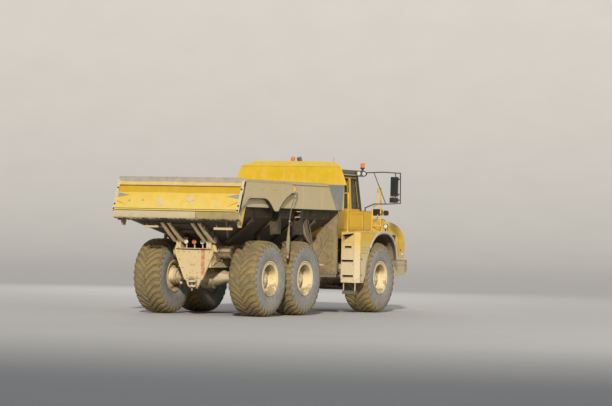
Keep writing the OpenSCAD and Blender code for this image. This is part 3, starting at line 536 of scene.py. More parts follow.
M_MUDC = worn("caked_mud", (0.24, 0.175, 0.095), (0.36, 0.275, 0.16), rough=0.95, dust=0.4, low=(0.5, 3.0), mud=0.3, bump=1.2, dcol=(0.48, 0.40, 0.26))
M_PALE = worn("pale_enamel", (0.62, 0.60, 0.55), (0.70, 0.68, 0.63), rough=0.35, dust=0.45, low=(1.0, 4.5), mud=0.2)


def lens_mat(name, a, b, rough=0.12, dirt=0.35, glow=None):
    t = Tree(name)
    mid = t.noise(14, 5, 0.6); fine = t.noise(60, 5, 0.6)
    ribs = t.wave(55, "Y", 0.0)
    dm = t.mul(t.map(t.add(t.mul(mid, 0.7), t.mul(fine, 0.4)), 0.45, 0.75, 0, 1, True), dirt)
    col = t.mix(t.mul(ribs, 0.6), a, b)
    col = t.mix(dm, col, (0.45, 0.37, 0.25))
    kw = dict(Coat_Weight=0.5, Coat_Roughness=0.08)
    if glow: kw.update(Emission_Color=glow[0], Emission_Strength=glow[1])
    return t.bsdf(col, t.map(dm, 0, 0.4, rough, 0.7), 0.0, t.bump(t.add(t.mul(ribs, 0.5), t.mul(fine, 0.3)), 0.25, 0.003), **kw)


M_AMBER = lens_mat("amber_lens", (0.75, 0.16, 0.015), (0.90, 0.28, 0.03))
M_RED = lens_mat("red_lens", (0.45, 0.02, 0.012), (0.62, 0.05, 0.03))
M_CLEAR = lens_mat("clear_lens", (0.62, 0.66, 0.68), (0.82, 0.85, 0.86), dirt=0.25)


def mirror_mat():
    t = Tree("mirror_face")
    mid = t.noise(5, 5, 0.6); fine = t.noise(50, 5, 0.6)
    dm = t.map(t.add(t.mul(mid, 0.7), t.mul(fine, 0.3)), 0.5, 0.75, 0, 0.5, True)
    return t.bsdf(t.mix(dm, (0.060, 0.066, 0.072), (0.30, 0.26, 0.19)), t.map(dm, 0, 0.5, 0.10, 0.5), 0.55, t.bump(fine, 0.03, 0.001))


def glass_mat():
    t = Tree("tinted_glass")
    big = t.noise(1.8, 5, 0.6); fine = t.noise(30, 5, 0.6)
    dm = t.map(t.add(t.mul(big, 0.8), t.mul(fine, 0.25)), 0.45, 0.75, 0.0, 0.35)
    col = t.mix(dm, (0.030, 0.040, 0.028), (0.36, 0.32, 0.23))
    a = t.map(dm, 0, 0.4, 0.84, 0.95)
    return t.bsdf(col, t.map(dm, 0, 0.4, 0.05, 0.5), 0.0, t.bump(fine, 0.02, 0.001), Alpha=a)


def fabric_mat():
    t = Tree("seat_cloth")
    x, y, z = t.xyz()
    wv = t.mul(t.wave(140, "Y"), t.wave(140, "Z")); mid = t.noise(6, 5, 0.6); fine = t.noise(120, 4, 0.6)
    col = t.mix(t.map(mid, 0.3, 0.7), (0.045, 0.047, 0.05), (0.085, 0.085, 0.085))
    st = t.map(t.noise(1.3, 3, 0.5), 0.5, 0.7, 0, 0.5)
    col = t.mix(st, col, (0.20, 0.165, 0.11))
    return t.bsdf(col, 0.9, 0.0, t.bump(t.add(wv, t.mul(fine, 0.5)), 0.5, 0.002), Sheen_Weight=0.3)


M_MIRROR, M_GLASS, M_CLOTH = mirror_mat(), glass_mat(), fabric_mat()


def grille_mat():
    t = Tree("grille_mesh_dark")
    mid = t.noise(8, 6, 0.65)
    fine = t.noise(70, 5, 0.6)
    col = t.mix(t.map(mid, 0.35, 0.65), (0.035, 0.036, 0.038), (0.13, 0.125, 0.12))
    return t.bsdf(col, 0.7, 0.0, t.bump(fine, 0.3, 0.003))


M_GRILLE = grille_mat()


def wall_mud_and_painted_shade_below(t, col, r, h, dm):
    """Below the side wall the sloped plates are caked in dark mud and painted darker as the wall's shade."""
    x, y, z = t.xyz()
    a = t.math("ABSOLUTE", y)
    m = t.mul(t.map(z, 2.672, 2.700, 1.0, 0.0), t.map(a, 1.578, 1.590, 1.0, 0.0))
    n1 = t.noise(2.6, 7, 0.66, dist=0.6); n2 = t.noise(30, 5, 0.6)
    c = t.mix(t.map(n1, 0.36, 0.66), (0.040, 0.029, 0.017), (0.135, 0.096, 0.052))
    c = t.mix(t.mul(t.map(n1, 0.60, 0.70, 0, 1, True), 0.6), c, (0.27, 0.205, 0.12))
    return t.mix(m, col, c), t.mx(r, t.mul(m, 0.92)), t.add(h, t.mul(m, t.mul(n1, 0.8)))


# dusty wall; below the wall's lower edge the extra paints dark mud and painted shade
M_WALL = worn("body_wall_dusty_painted_shade_below", (0.56, 0.40, 0.125), (0.64, 0.47, 0.19), rough=0.6, dust=1.0, low=(2.9, 4.6), up=0.8, mud=0.25, mudtop=3.0, chips=0.5, streak=0.9, rust=0.12, dcol=(0.50, 0.41, 0.255), extra=wall_mud_and_painted_shade_below)
# darker yellow of the tailgate's recessed band and small notch: painted shade in the recess
M_RECESS = worn("gate_recess_painted_shade", (0.56, 0.325, 0.002), (0.62, 0.375, 0.006), rough=0.45, dust=0.28, low=(2.4, 3.4), up=0.5, mud=0.10, mudtop=3.0, streak=0.7, chips=0.6, dcol=(0.52, 0.38, 0.12))
M_GPALE = worn("gate_worn_band", (0.62, 0.42, 0.09), (0.68, 0.50, 0.18), rough=0.55, dust=0.6, low=(2.4, 3.6), up=0.5, mud=0.1, streak=0.6, chips=0.8, rust=0.2, dcol=(0.58, 0.50, 0.36))
M_CREAM = worn("end_plate_cream", (0.60, 0.50, 0.30), (0.68, 0.58, 0.38), rough=0.55, dust=0.5, low=(2.2, 3.6), up=0.5, mud=0.3, mudtop=3.0, streak=0.4, chips=0.6, rust=0.2)
M_OLIVE = worn("olive_mud", (0.30, 0.225, 0.085), (0.41, 0.32, 0.14), rough=0.9, dust=0.2, low=(2.0, 3.4), up=0.4, mud=0.8, mudtop=3.2, bump=0.9)
M_ROOF = worn("cab_roof_olive", (0.115, 0.105, 0.055), (0.175, 0.16, 0.09), rough=0.6, dust=0.40, low=(2.0, 3.6), up=0.55, mud=0.15, mudtop=3.2, chips=0.3, streak=0.3, dcol=(0.36, 0.32, 0.20))
M_LIPC = worn("chute_lip_scraped", (0.50, 0.43, 0.28), (0.62, 0.54, 0.37), rough=0.6, metal=0.1, dust=0.6, low=(2.4, 4.0), up=0.7, mud=0.35, mudtop=3.4, chips=0.6, streak=0.5, rust=0.3, dcol=(0.52, 0.43, 0.26))
# light tan with no darkening of faces that look down: painted sunlight on the hinge brackets' edges and cheeks
M_BRACK = worn("bracket_edge_tan_painted_light", (0.66, 0.48, 0.22), (0.74, 0.57, 0.31), rough=0.6, dust=0.8, low=(1.4, 3.4), up=0.7, mud=0.35, mudtop=2.6, chips=0.5, rust=0.2, down=0.0, dcol=(0.62, 0.52, 0.34))


# ------------------------------------------------------------------ wheels
AXZ, WY = 0.935, 1.33
WHEELS = [("rear", 0.0), ("middle", 1.94), ("front", 6.458)]


def tyre_part(cx, s, seed):
    """Tyre about its axle: a carcass and two rows of traction lugs that meet in the middle. s: outer side."""
    p = Part()
    r = np.random.default_rng(seed)
    # carcass section (y, radius) from the inner bead to the outer one
    half = [(0.300, 0.335), (0.322, 0.380), (0.326, 0.425), (0.336, 0.448), (0.352, 0.470), (0.366, 0.508), (0.3745, 0.548), (0.379, 0.590),
            (0.3785, 0.602), (0.3795, 0.608), (0.3805, 0.640), (0.380, 0.690), (0.376, 0.740), (0.369, 0.785), (0.366, 0.790), (0.359, 0.824), (0.338, 0.862), (0.296, 0.888), (0.20, 0.902), (0.10, 0.907), (0.0, 0.908)]
    sec = [(-y, q) for y, q in half] + [(y, q) for y, q in half[-2::-1]]
    n = 168
    base = len(p.v)
    m = len(sec)
    vs = []
    for j in range(n):
        a = 2 * math.pi * j / n
        for y, q in sec:
            vs.append((cx + q * math.cos(a), s * WY + y, AXZ + q * math.sin(a)))
    fs, ms = [], []
    for j in range(n):
        j2 = (j + 1) % n
        for k in range(m - 1):
            fs.append([j * m + k, j * m + k + 1, j2 * m + k + 1, j2 * m + k])
            q = min(sec[k][1], sec[k + 1][1])
            ms.append(1 if q > 0.80 else 0)
    p.add(vs, fs, ms)
    # top line of a lug row: (y, radius of the top, radius of the foot, turn in pitches)
    line = [(0.006, 0.934, 0.896, 1.30), (0.055, 0.9335, 0.896, 1.05), (0.115, 0.932, 0.895, 0.66), (0.165, 0.930, 0.892, 0.36), (0.225, 0.926, 0.886, 0.10), (0.280, 0.915, 0.874, 0.0),
            (0.3255, 0.892, 0.832, 0.0), (0.3625, 0.850, 0.800, 0.0), (0.3785, 0.800, 0.780, 0.0)]
    wid = [0.56, 0.62, 0.64, 0.62, 0.60, 0.58, 0.56, 0.52, 0.44]
    N = 32
    pitch = 2 * math.pi / N
    for side in (-1, 1):
        for i in range(N):
            jit = (r.random(4) - 0.5)
            vs, fs = [], []
            for k, (y, rt, rf, tw) in enumerate(line):
                a0 = pitch * (i + tw * 1.0 + (0.5 if side > 0 else 0)) 
                w = wid[k] * pitch * 0.5 * (1 + 0.06 * jit[0])
                rt2 = rt - 0.0035 * abs(jit[1])
                # outward direction in the (y, radius) plane at this station
                if k < 5: d = (0.0, 1.0)
                elif k == 5: d = (0.30, 0.95)
                elif k == 6: d = (0.55, 0.83)
                elif k == 7: d = (0.85, 0.52)
                else: d = (0.97, 0.24)
                c = 0.010
                for wk, top in ((-1.16, 0), (-1.0, 1), (-0.90, 2), (0.90, 2), (1.0, 1), (1.16, 0)):
                    if top == 0: yy, q = y - d[0] * 0.004, rf - 0.006
                    elif top == 1: yy, q = y - d[0] * c, rt2 - d[1] * c
                    else: yy, q = y, rt2
                    a = a0 + wk * w
                    vs.append((cx + q * math.cos(a), s * WY + side * yy, AXZ + q * math.sin(a)))
            K = len(line)
            for k in range(K - 1):
                for e in range(5):
                    fs.append([k * 6 + e, k * 6 + e + 1, (k + 1) * 6 + e + 1, (k + 1) * 6 + e])
            fs.append([0, 1, 2, 3, 4, 5]); fs.append([(K - 1) * 6 + e for e in range(6)][::-1])
            mm = []
            for k in range(K - 1):
                mm += [1, 2, 2, 2, 1]
            p.add(vs, fs, mm + [2, 2])
    # moulded rings and small shoulder bars on the side walls
    for side in (-1, 1):
        for q, y, w in ((0.478, 0.3575, 0.006), (0.700, 0.3795, 0.005)):
            prof = [(q - w * 2.2, y - 0.004), (q - w, y + 0.0028), (q + w, y + 0.0028), (q + w * 2.2, y - 0.004)]
            vs = []
            for j in range(n):
                a = 2 * math.pi * j / n
                for qq, yy in prof: vs.append((cx + qq * math.cos(a), s * WY + side * min(yy, 0.382), AXZ + qq * math.sin(a)))
            fs = [[j * 4 + k, j * 4 + k + 1, ((j + 1) % n) * 4 + k + 1, ((j + 1) % n) * 4 + k] for j in range(n) for k in range(3)]
            p.add(vs, fs, 0)
    return p


def rim_part(cx, s):
    p = Part()
    o = (cx, s * WY, AXZ); d = (0, s, 0)
    prof = [(-0.385, 0.0), (-0.385, 0.195), (-0.30, 0.20), (-0.075, 0.205), (-0.055, 0.26), (-0.050, 0.312), (-0.290, 0.318), (-0.318, 0.332), (-0.336, 0.372), (-0.346, 0.398), (-0.338, 0.412),
            (-0.322, 0.408), (-0.318, 0.37), (-0.305, 0.342), (0.0, 0.334), (0.305, 0.342), (0.318, 0.372), (0.322, 0.428), (0.338, 0.442), (0.350, 0.440), (0.3535, 0.430), (0.350, 0.412),
            (0.338, 0.396), (0.3335, 0.382), (0.339, 0.374), (0.338, 0.362), (0.330, 0.356), (0.3285, 0.347), (0.318, 0.342), (0.285, 0.332), (0.200, 0.322), (0.118, 0.316), (0.078, 0.306), (0.060, 0.288),
            (0.052, 0.262), (0.052, 0.236), (0.062, 0.224), (0.085, 0.218), (0.085, 0.205), (0.150, 0.196), (0.176, 0.190), (0.184, 0.180), (0.188, 0.150), (0.188, 0.132), (0.206, 0.124), (0.215, 0.110), (0.218, 0.06), (0.218, 0.0)]
    mats = []
    for k in range(len(prof) - 1):
        a, q = prof[k]
        mats.append(1 if (-0.29 < a < -0.06 and q < 0.31) else 0)
    p.lathe(o, d, prof, mats, 96)
    def on(r, a, y): return (cx + r * math.cos(a), s * (WY + y) if s > 0 else -(WY + y), AXZ + r * math.sin(a))
    for i in range(24):
        a = 2 * math.pi * (i + 0.5) / 24
        p.bolt(on(0.262, a, 0.050), d, 0.0145, 0.030, 2)
    for i in range(18):
        a = 2 * math.pi * (i + 0.5) / 18
        p.bolt(on(0.158, a, 0.186), d, 0.0085, 0.010, 2)
    for i in range(6):
        a = 2 * math.pi * (i + 0.5) / 6
        p.bolt(on(0.085, a, 0.216), d, 0.008, 0.009, 2)
    # drain plug, fill plug and the valve stem with its guard
    p.bolt(on(0.04, 0.6, 0.217), d, 0.016, 0.010, 2)
    p.bolt(on(0.105, 3.9, 0.214), d, 0.013, 0.010, 2)
    a = 1.1
    p.tube(fillet([on(0.322, a, 0.17), on(0.300, a, 0.20), on(0.298, a, 0.27)], 0.02), 0.006, 2, 8)
    p.rod(on(0.298, a, 0.27), on(0.298, a, 0.295), 0.008, 2, 8)
    for i in range(8):  # lashing ribs between the flange and the dish
        a = 2 * math.pi * i / 8
        u = (math.cos(a), math.sin(a)); w = (-math.sin(a), math.cos(a))
        q0, q1, h = 0.286, 0.318, 0.010
        vs = []
        for q, y in ((q0, 0.062), (q1, 0.110), (0.322, 0.20), (0.3125, 0.14), (q0 - 0.012, 0.056)):
            for e in (-1, 1):
                vs.append((cx + q * u[0] + e * h * w[0], s * (WY + y), AXZ + q * u[1] + e * h * w[1]))
        fs = [[0, 2, 4, 6, 8], [9, 7, 5, 3, 1]] + [[2 * k, 2 * k + 1, (2 * k + 3) % 10, (2 * k + 2) % 10] for k in range(5)]
        p.add(vs, fs, 0)
    # brake disc and calliper behind the dish
    p.lathe((cx, s * (WY - 0.10), AXZ), d, [(-0.165, 0.195), (-0.165, 0.268), (-0.158, 0.290), (-0.150, 0.303), (-0.135, 0.303), (-0.135, 0.195)], 0, 48)
    return p


def tyre_side():
    t = Tree("tyre_side_rubber")
    x, y, z = t.xyz()
    big = t.noise(1.6, 5, 0.6); mid = t.noise(9, 6, 0.65, dist=0.4); fine = t.noise(70, 5, 0.6)
    col = t.mix(t.map(mid, 0.3, 0.7), (0.215, 0.208, 0.196), (0.295, 0.286, 0.270))
    dm = t.map(t.add(t.mul(big, 0.6), t.mul(mid, 0.5)), 0.42, 0.75, 0.0, 0.85, True)
    col = t.mix(t.mul(dm, 0.75), col, t.mix(fine, (0.33, 0.29, 0.22), (0.42, 0.37, 0.28)))
    sp = t.map(t.add(t.noise(22, 8, 0.72), t.map(z, 0.1, 1.7, 0.03, -0.03)), 0.60, 0.66, 0, 1, True)
    col = t.mix(t.mul(sp, 0.8), col, (0.27, 0.205, 0.125))
    r = t.map(mid, 0.3, 0.7, 0.62, 0.82)
    h = t.add(t.mul(fine, 0.3), t.add(t.mul(sp, 0.8), t.mul(mid, 0.3)))
    return t.bsdf(col, r, 0.0, t.bump(h, 0.3, 0.004), Specular_IOR_Level=0.35)


def tread_mud():
    t = Tree("tread_packed_mud")
    mid = t.noise(7, 7, 0.68, dist=0.5); fine = t.noise(45, 6, 0.65); big = t.noise(1.4, 3, 0.5)
    col = t.mix(t.map(mid, 0.3, 0.7), (0.140, 0.100, 0.036), (0.245, 0.180, 0.072))
    col = t.mix(t.map(big, 0.4, 0.65, 0, 0.5), col, (0.32, 0.24, 0.105))
    h = t.add(t.mul(mid, 0.9), t.mul(fine, 0.35))
    return t.bsdf(col, 0.93, 0.0, t.bump(h, 0.8, 0.012), Specular_IOR_Level=0.25)


def tread_rubber():
    t = Tree("tread_lug_rubber")
    mid = t.noise(6, 7, 0.68, dist=0.5); fine = t.noise(60, 6, 0.65); big = t.noise(2.4, 4, 0.6)
    col = t.mix(t.map(fine, 0.3, 0.7), (0.120, 0.105, 0.078), (0.170, 0.150, 0.110))
    m = t.map(t.add(t.mul(mid, 0.7), t.mul(big, 0.45)), 0.44, 0.68, 0.15, 1.0, True)
    col = t.mix(m, col, t.mix(fine, (0.235, 0.172, 0.068), (0.345, 0.258, 0.120)))
    h = t.add(t.mul(mid, 0.5), t.mul(fine, 0.3))
    return t.bsdf(col, t.map(m, 0, 1, 0.72, 0.93), 0.0, t.bump(h, 0.5, 0.006), Specular_IOR_Level=0.3)


M_SIDE, M_TMUD, M_LUG = tyre_side(), tread_mud(), tread_rubber()
M_RIM = worn("rim_cream_paint", (0.80, 0.62, 0.27), (0.86, 0.70, 0.36), rough=0.5, dust=0.62, low=(0.2, 2.6), up=0.7, mud=0.75, mudtop=1.7, chips=0.5, rust=0.25, streak=0.2, bump=0.35, dcol=(0.60, 0.50, 0.34))
M_HUBDARK = worn("hub_dark_iron", (0.07, 0.06, 0.05), (0.13, 0.11, 0.085), rough=0.65, dust=0.55, low=(0.2, 2.0), mud=0.8, bump=0.4)
M_NUT = worn("nut_steel", (0.30, 0.27, 0.22), (0.42, 0.37, 0.29), rough=0.55, metal=0.0, dust=0.6, low=(0.2, 2.5), mud=0.4, rust=0.5)
M_DISC = worn("brake_steel", (0.30, 0.29, 0.28), (0.42, 0.40, 0.38), rough=0.4, metal=0.6, dust=0.3, low=(0.2, 1.8), mud=0.3, rust=0.4)
for ax_name, ax_x in WHEELS:
    for s, sn in ((1, "left"), (-1, "right")):
        body = f"wheel_{ax_name}_{sn}"
        tyre_part(ax_x, s, 11 + int(ax_x * 10) + s).build(f"tyre_{ax_name}_{sn}_treaded", [M_SIDE, M_TMUD, M_LUG], body, [f"tyre_{ax_name}_{sn}"], smooth=28, slot="tyre_rubber", recalc=False)
        rim_part(ax_x, s).build(f"rim_{ax_name}_{sn}_dished", [M_RIM, M_HUBDARK, M_NUT, M_DISC], body, [f"rim_{ax_name}_{sn}"], smooth=30, slot="cream_rim")


# ------------------------------------------------------------------ load body
GU = (0.35112, 0.0, 0.93633)     # up along the tailgate
GN = (-0.93633, 0.0, 0.35112)    # out of its face
def gate_pt(s, y, d): return (-1.860 + GU[0] * s + GN[0] * d, y, 2.550 + GU[2] * s + GN[2] * d)


def hill(x, y, k=1.0):
    """Smooth made-up unevenness, about -1 to 1."""
    return (math.sin(2.1 * x * k + 1.3 * math.sin(1.7 * y * k)) + 0.6 * math.sin(4.7 * y * k + 2.0 + x * k) + 0.4 * math.sin(9.1 * x * k - 3.3 * y * k)) / 2.0


def gate_panel():
    p = Part()
    # outline: (height along the gate, out from the plane, finish of the strip that starts here)
    # strips of finish 1 line the recessed band in the darker recess yellow: painted shade
    out = [(-0.004, -0.054, 0), (0.0, 0.004, 0), (0.004, 0.013, 0), (0.030, 0.014, 0), (0.034, 0.002, 3), (0.044, 0.002, 0), (0.048, 0.010, 0), (0.20, 0.011, 0), (0.33, 0.012, 0), (0.466, 0.011, 0), (0.476, 0.004, 1),
           (0.486, -0.026, 1), (0.56, -0.027, 1), (0.642, -0.026, 1), (0.652, 0.006, 2), (0.660, 0.015, 2), (0.74, 0.016, 2), (0.748, 0.010, 4), (0.756, 0.002, 4), (0.80, 0.001, 4), (0.850, 0.002, 4), (0.868, 0.010, 4),
           (0.882, 0.002, 4), (0.886, -0.028, 4), (0.882, -0.056, 4), (0.868, -0.064, 4), (0.852, -0.0595, 5), (0.60, -0.060, 5), (0.30, -0.060, 5), (0.03, -0.060, 5)]
    n = len(out); cols = 72
    vs, fs, ms = [], [], []
    for i in range(cols + 1):
        y = -1.748 + 3.496 * i / cols
        for k, (s, d, m) in enumerate(out):
            soft = 0.0035 * hill(y * 1.9, s * 5.0) + 0.0022 * hill(y * 5.1 + 3, s * 9.0) if 0.05 < s < 0.86 else 0.0
            if k in (20, 21, 22) : soft = 0.003 * hill(y * 6.0, 2.0)
            edge = min(1.0, (1.748 - abs(y)) / 0.10)
            vs.append(gate_pt(s, y, d + soft * edge))
    for i in range(cols):
        for k in range(n):
            fs.append([i * n + k, i * n + (k + 1) % n, (i + 1) * n + (k + 1) % n, (i + 1) * n + k]); ms.append(out[k][2])
    fs += [list(range(n))[::-1], [cols * n + k for k in range(n)]]; ms += [0, 0]
    p.add(vs, fs, ms)
    def slab(pts, d0, d1, m):
        """Flat piece on the face: corners (height, y)."""
        q = [gate_pt(s, y, d0) for s, y in pts] + [gate_pt(s, y, d1) for s, y in inset(pts, 0.003)]
        k = len(pts)
        p.add(q, [list(range(k))[::-1], [k + i for i in range(k)]] + [[i, (i + 1) % k, k + (i + 1) % k, k + i] for i in range(k)], m)
    for sg in (-1, 1):
        # end plate with its holes and bolts
        slab([(-0.03, sg * 1.752), (-0.03, sg * 1.690), (0.10, sg * 1.676), (0.44, sg * 1.676), (0.78, sg * 1.690), (0.80, sg * 1.752)], 0.008, 0.026, 6)
        for s in (0.142, 0.570, 0.02):
            c = gate_pt(s, sg * 1.712, 0.024)
            p.lathe(c, GN, [(0.0, 0.026), (0.004, 0.026), (0.004, 0.017), (0.0022, 0.015), (0.0022, 0.0)], [6, 3, 3, 3], 20)
        for s in (0.24, 0.36, 0.46, 0.64):
            p.bolt(gate_pt(s, sg * 1.715, 0.025), GN, 0.012, 0.008, 6)
        # pressed notch that runs to a point, and a smaller one below: flat patches in grey-blue and dark yellow,
        # painted shade of the notches
        slab([(0.442, sg * 1.672), (0.326, sg * 1.672), (0.338, sg * 1.58), (0.352, sg * 1.50), (0.388, sg * 1.345), (0.398, sg * 1.36), (0.424, sg * 1.52), (0.436, sg * 1.60)], 0.008, 0.0165, 8)
        slab([(0.250, sg * 1.668), (0.205, sg * 1.668), (0.120, sg * 1.40), (0.128, sg * 1.39), (0.20, sg * 1.54)], 0.008, 0.0155, 1)
        # gusset that folds back to the arm
        p.obox(gate_pt(0.0, sg * 1.748 - (0.012 if sg > 0 else 0), -0.062), vmul(GN, 0.07), (0, 0.012, 0), vmul(GU, 0.80), 6, 0.003)
    # stiffeners, weld beads and scraped patches of the worn face
    for y in (-1.1, -0.37, 0.37, 1.1):
        p.tube([gate_pt(0.05, y, -0.060), gate_pt(0.845, y, -0.060)], 0.006, 5, 6)
    for s in (0.470, 0.655, 0.750):
        p.tube([gate_pt(s, -1.676, 0.012), gate_pt(s, 1.676, 0.012)], 0.0045, 0 if s < 0.5 else 2, 6)
    for y, s, w, h in ((0.45, 0.20, 0.16, 0.22), (0.95, 0.26, 0.05, 0.05), (-0.35, 0.30, 0.22, 0.14), (-1.10, 0.16, 0.12, 0.10), (1.32, 0.24, 0.05, 0.06)):
        m = 14
        q = [(s + h * 0.5 * math.sin(2 * math.pi * i / m) * (1 + 0.35 * hill(i * 1.3, y * 4)), y + w * 0.5 * math.cos(2 * math.pi * i / m) * (1 + 0.35 * hill(i * 0.9, y * 3 + 5))) for i in range(m)]
        slab(q, 0.009, 0.0168, 6 if w > 0.1 else 8)
    # lugs on the top edge
    for y in (-0.02, 0.03):
        p.obox(gate_pt(0.876, y + 0.15, -0.050), vmul(GN, 0.045), (0, 0.016, 0), vmul(GU, 0.035), 0, 0.003)
    return p


gate_panel().build("tailgate_panel_pressed", [M_GATE, M_RECESS, M_GPALE, M_DARK, M_WORN, M_LINER, M_CREAM, M_NUT, M_FACET], "tailgate", ["tailgate"], smooth=30, slot="yellow_paint")

ARM_LOW = [(-1.290, 2.865), (-1.180, 2.900), (-0.420, 2.905), (-0.270, 2.870), (-0.120, 2.780), (0.030, 2.650), (0.110, 2.600), (0.310, 2.600), (0.390, 2.690), (0.560, 2.830), (0.760, 2.950), (1.060, 3.070), (1.190, 3.055)]


def strip_along(p, path, y0, y1, t, m, lift=0.0, c=0.002):
    """Flat bar that follows a line in the side view."""
    n = len(path)
    nrm = []
    for i in range(n):
        a = path[max(i - 1, 0)]; b = path[min(i + 1, n - 1)]
        dx, dz = b[0] - a[0], b[1] - a[1]
        l = math.hypot(dx, dz)
        nrm.append((dz / l, -dx / l))
    vs = []
    for (x, z), (nx, nz) in zip(path, nrm):
        for y, o in ((y0, lift + c), (y0 + c, lift), (y1 - c, lift), (y1, lift + c), (y1, lift + t - c), (y1 - c, lift + t), (y0 + c, lift + t), (y0, lift + t - c)):
            vs.append((x + nx * o, y, z + nz * o))
    fs = [[i * 8 + k, i * 8 + (k + 1) % 8, (i + 1) * 8 + (k + 1) % 8, (i + 1) * 8 + k] for i in range(n - 1) for k in range(8)]
    fs += [list(range(8))[::-1], [(n - 1) * 8 + k for k in range(8)]]
    return p.add(vs, fs, m)


def arm_trim():
    p = Part()
    low = [(x, z) for x, z in ARM_LOW]
    # near-black strip along the arm's lower edge: painted shadow line of the arm on the wall
    dense = fillet2([(-9, -9)] + low + [(9, -9)], [0] + [0.0] + [0.10] * (len(low) - 2) + [0.0, 0], 4)[1:-1]
    strip_along(p, dense, 1.640, 1.716, 0.016, 0, lift=0.0)
    # upper flange of the arm
    top = [(-1.475, 3.290), (1.000, 3.290), (1.245, 3.226)]
    strip_along(p, top[::-1], 1.645, 1.712, 0.010, 1, lift=0.0)
    # boss of the pivot with its keeper plate, the wire's shackle and its bolts
    g = (1.245, 1.705, 3.136)
    p.lathe(g, (0, 1, 0), [(-0.006, 0.098), (0.006, 0.098), (0.012, 0.090), (0.012, 0.062), (0.020, 0.058)], 2, 32)
    p.lathe(g, (0, 1, 0), [(0.018, 0.060), (0.030, 0.056), (0.034, 0.040), (0.034, 0.0)], 3, 24)
    for i in range(6):
        a = math.pi / 3 * i + 0.4
        p.bolt((g[0] + 0.078 * math.cos(a), 1.716, g[2] + 0.078 * math.sin(a)), (0, 1, 0), 0.009, 0.008, 3)
    for i, (x, z) in enumerate(((-1.30, 3.10), (-0.60, 3.12), (0.10, 3.12), (0.70, 3.16))):
        p.bolt((x, 1.705, z), (0, 1, 0), 0.014, 0.009, 3)
    # doubler plate behind the gate, on the arm
    pl = [(-1.63, 2.72), (-1.40, 2.88), (-1.10, 2.96), (-1.06, 3.20), (-1.46, 3.24)]
    p.prism(pl, "y", 1.703, 1.713, 1, 0.003)
    p.tube([(x, 1.706, z) for x, z in pl + pl[:1]], 0.005, 1, 6)
    return p


both(arm_trim).build("tailgate_arm_flanges", [M_DARK, M_WALL, M_YEL, M_NUT], "tailgate", smooth=30, slot="yellow_paint")


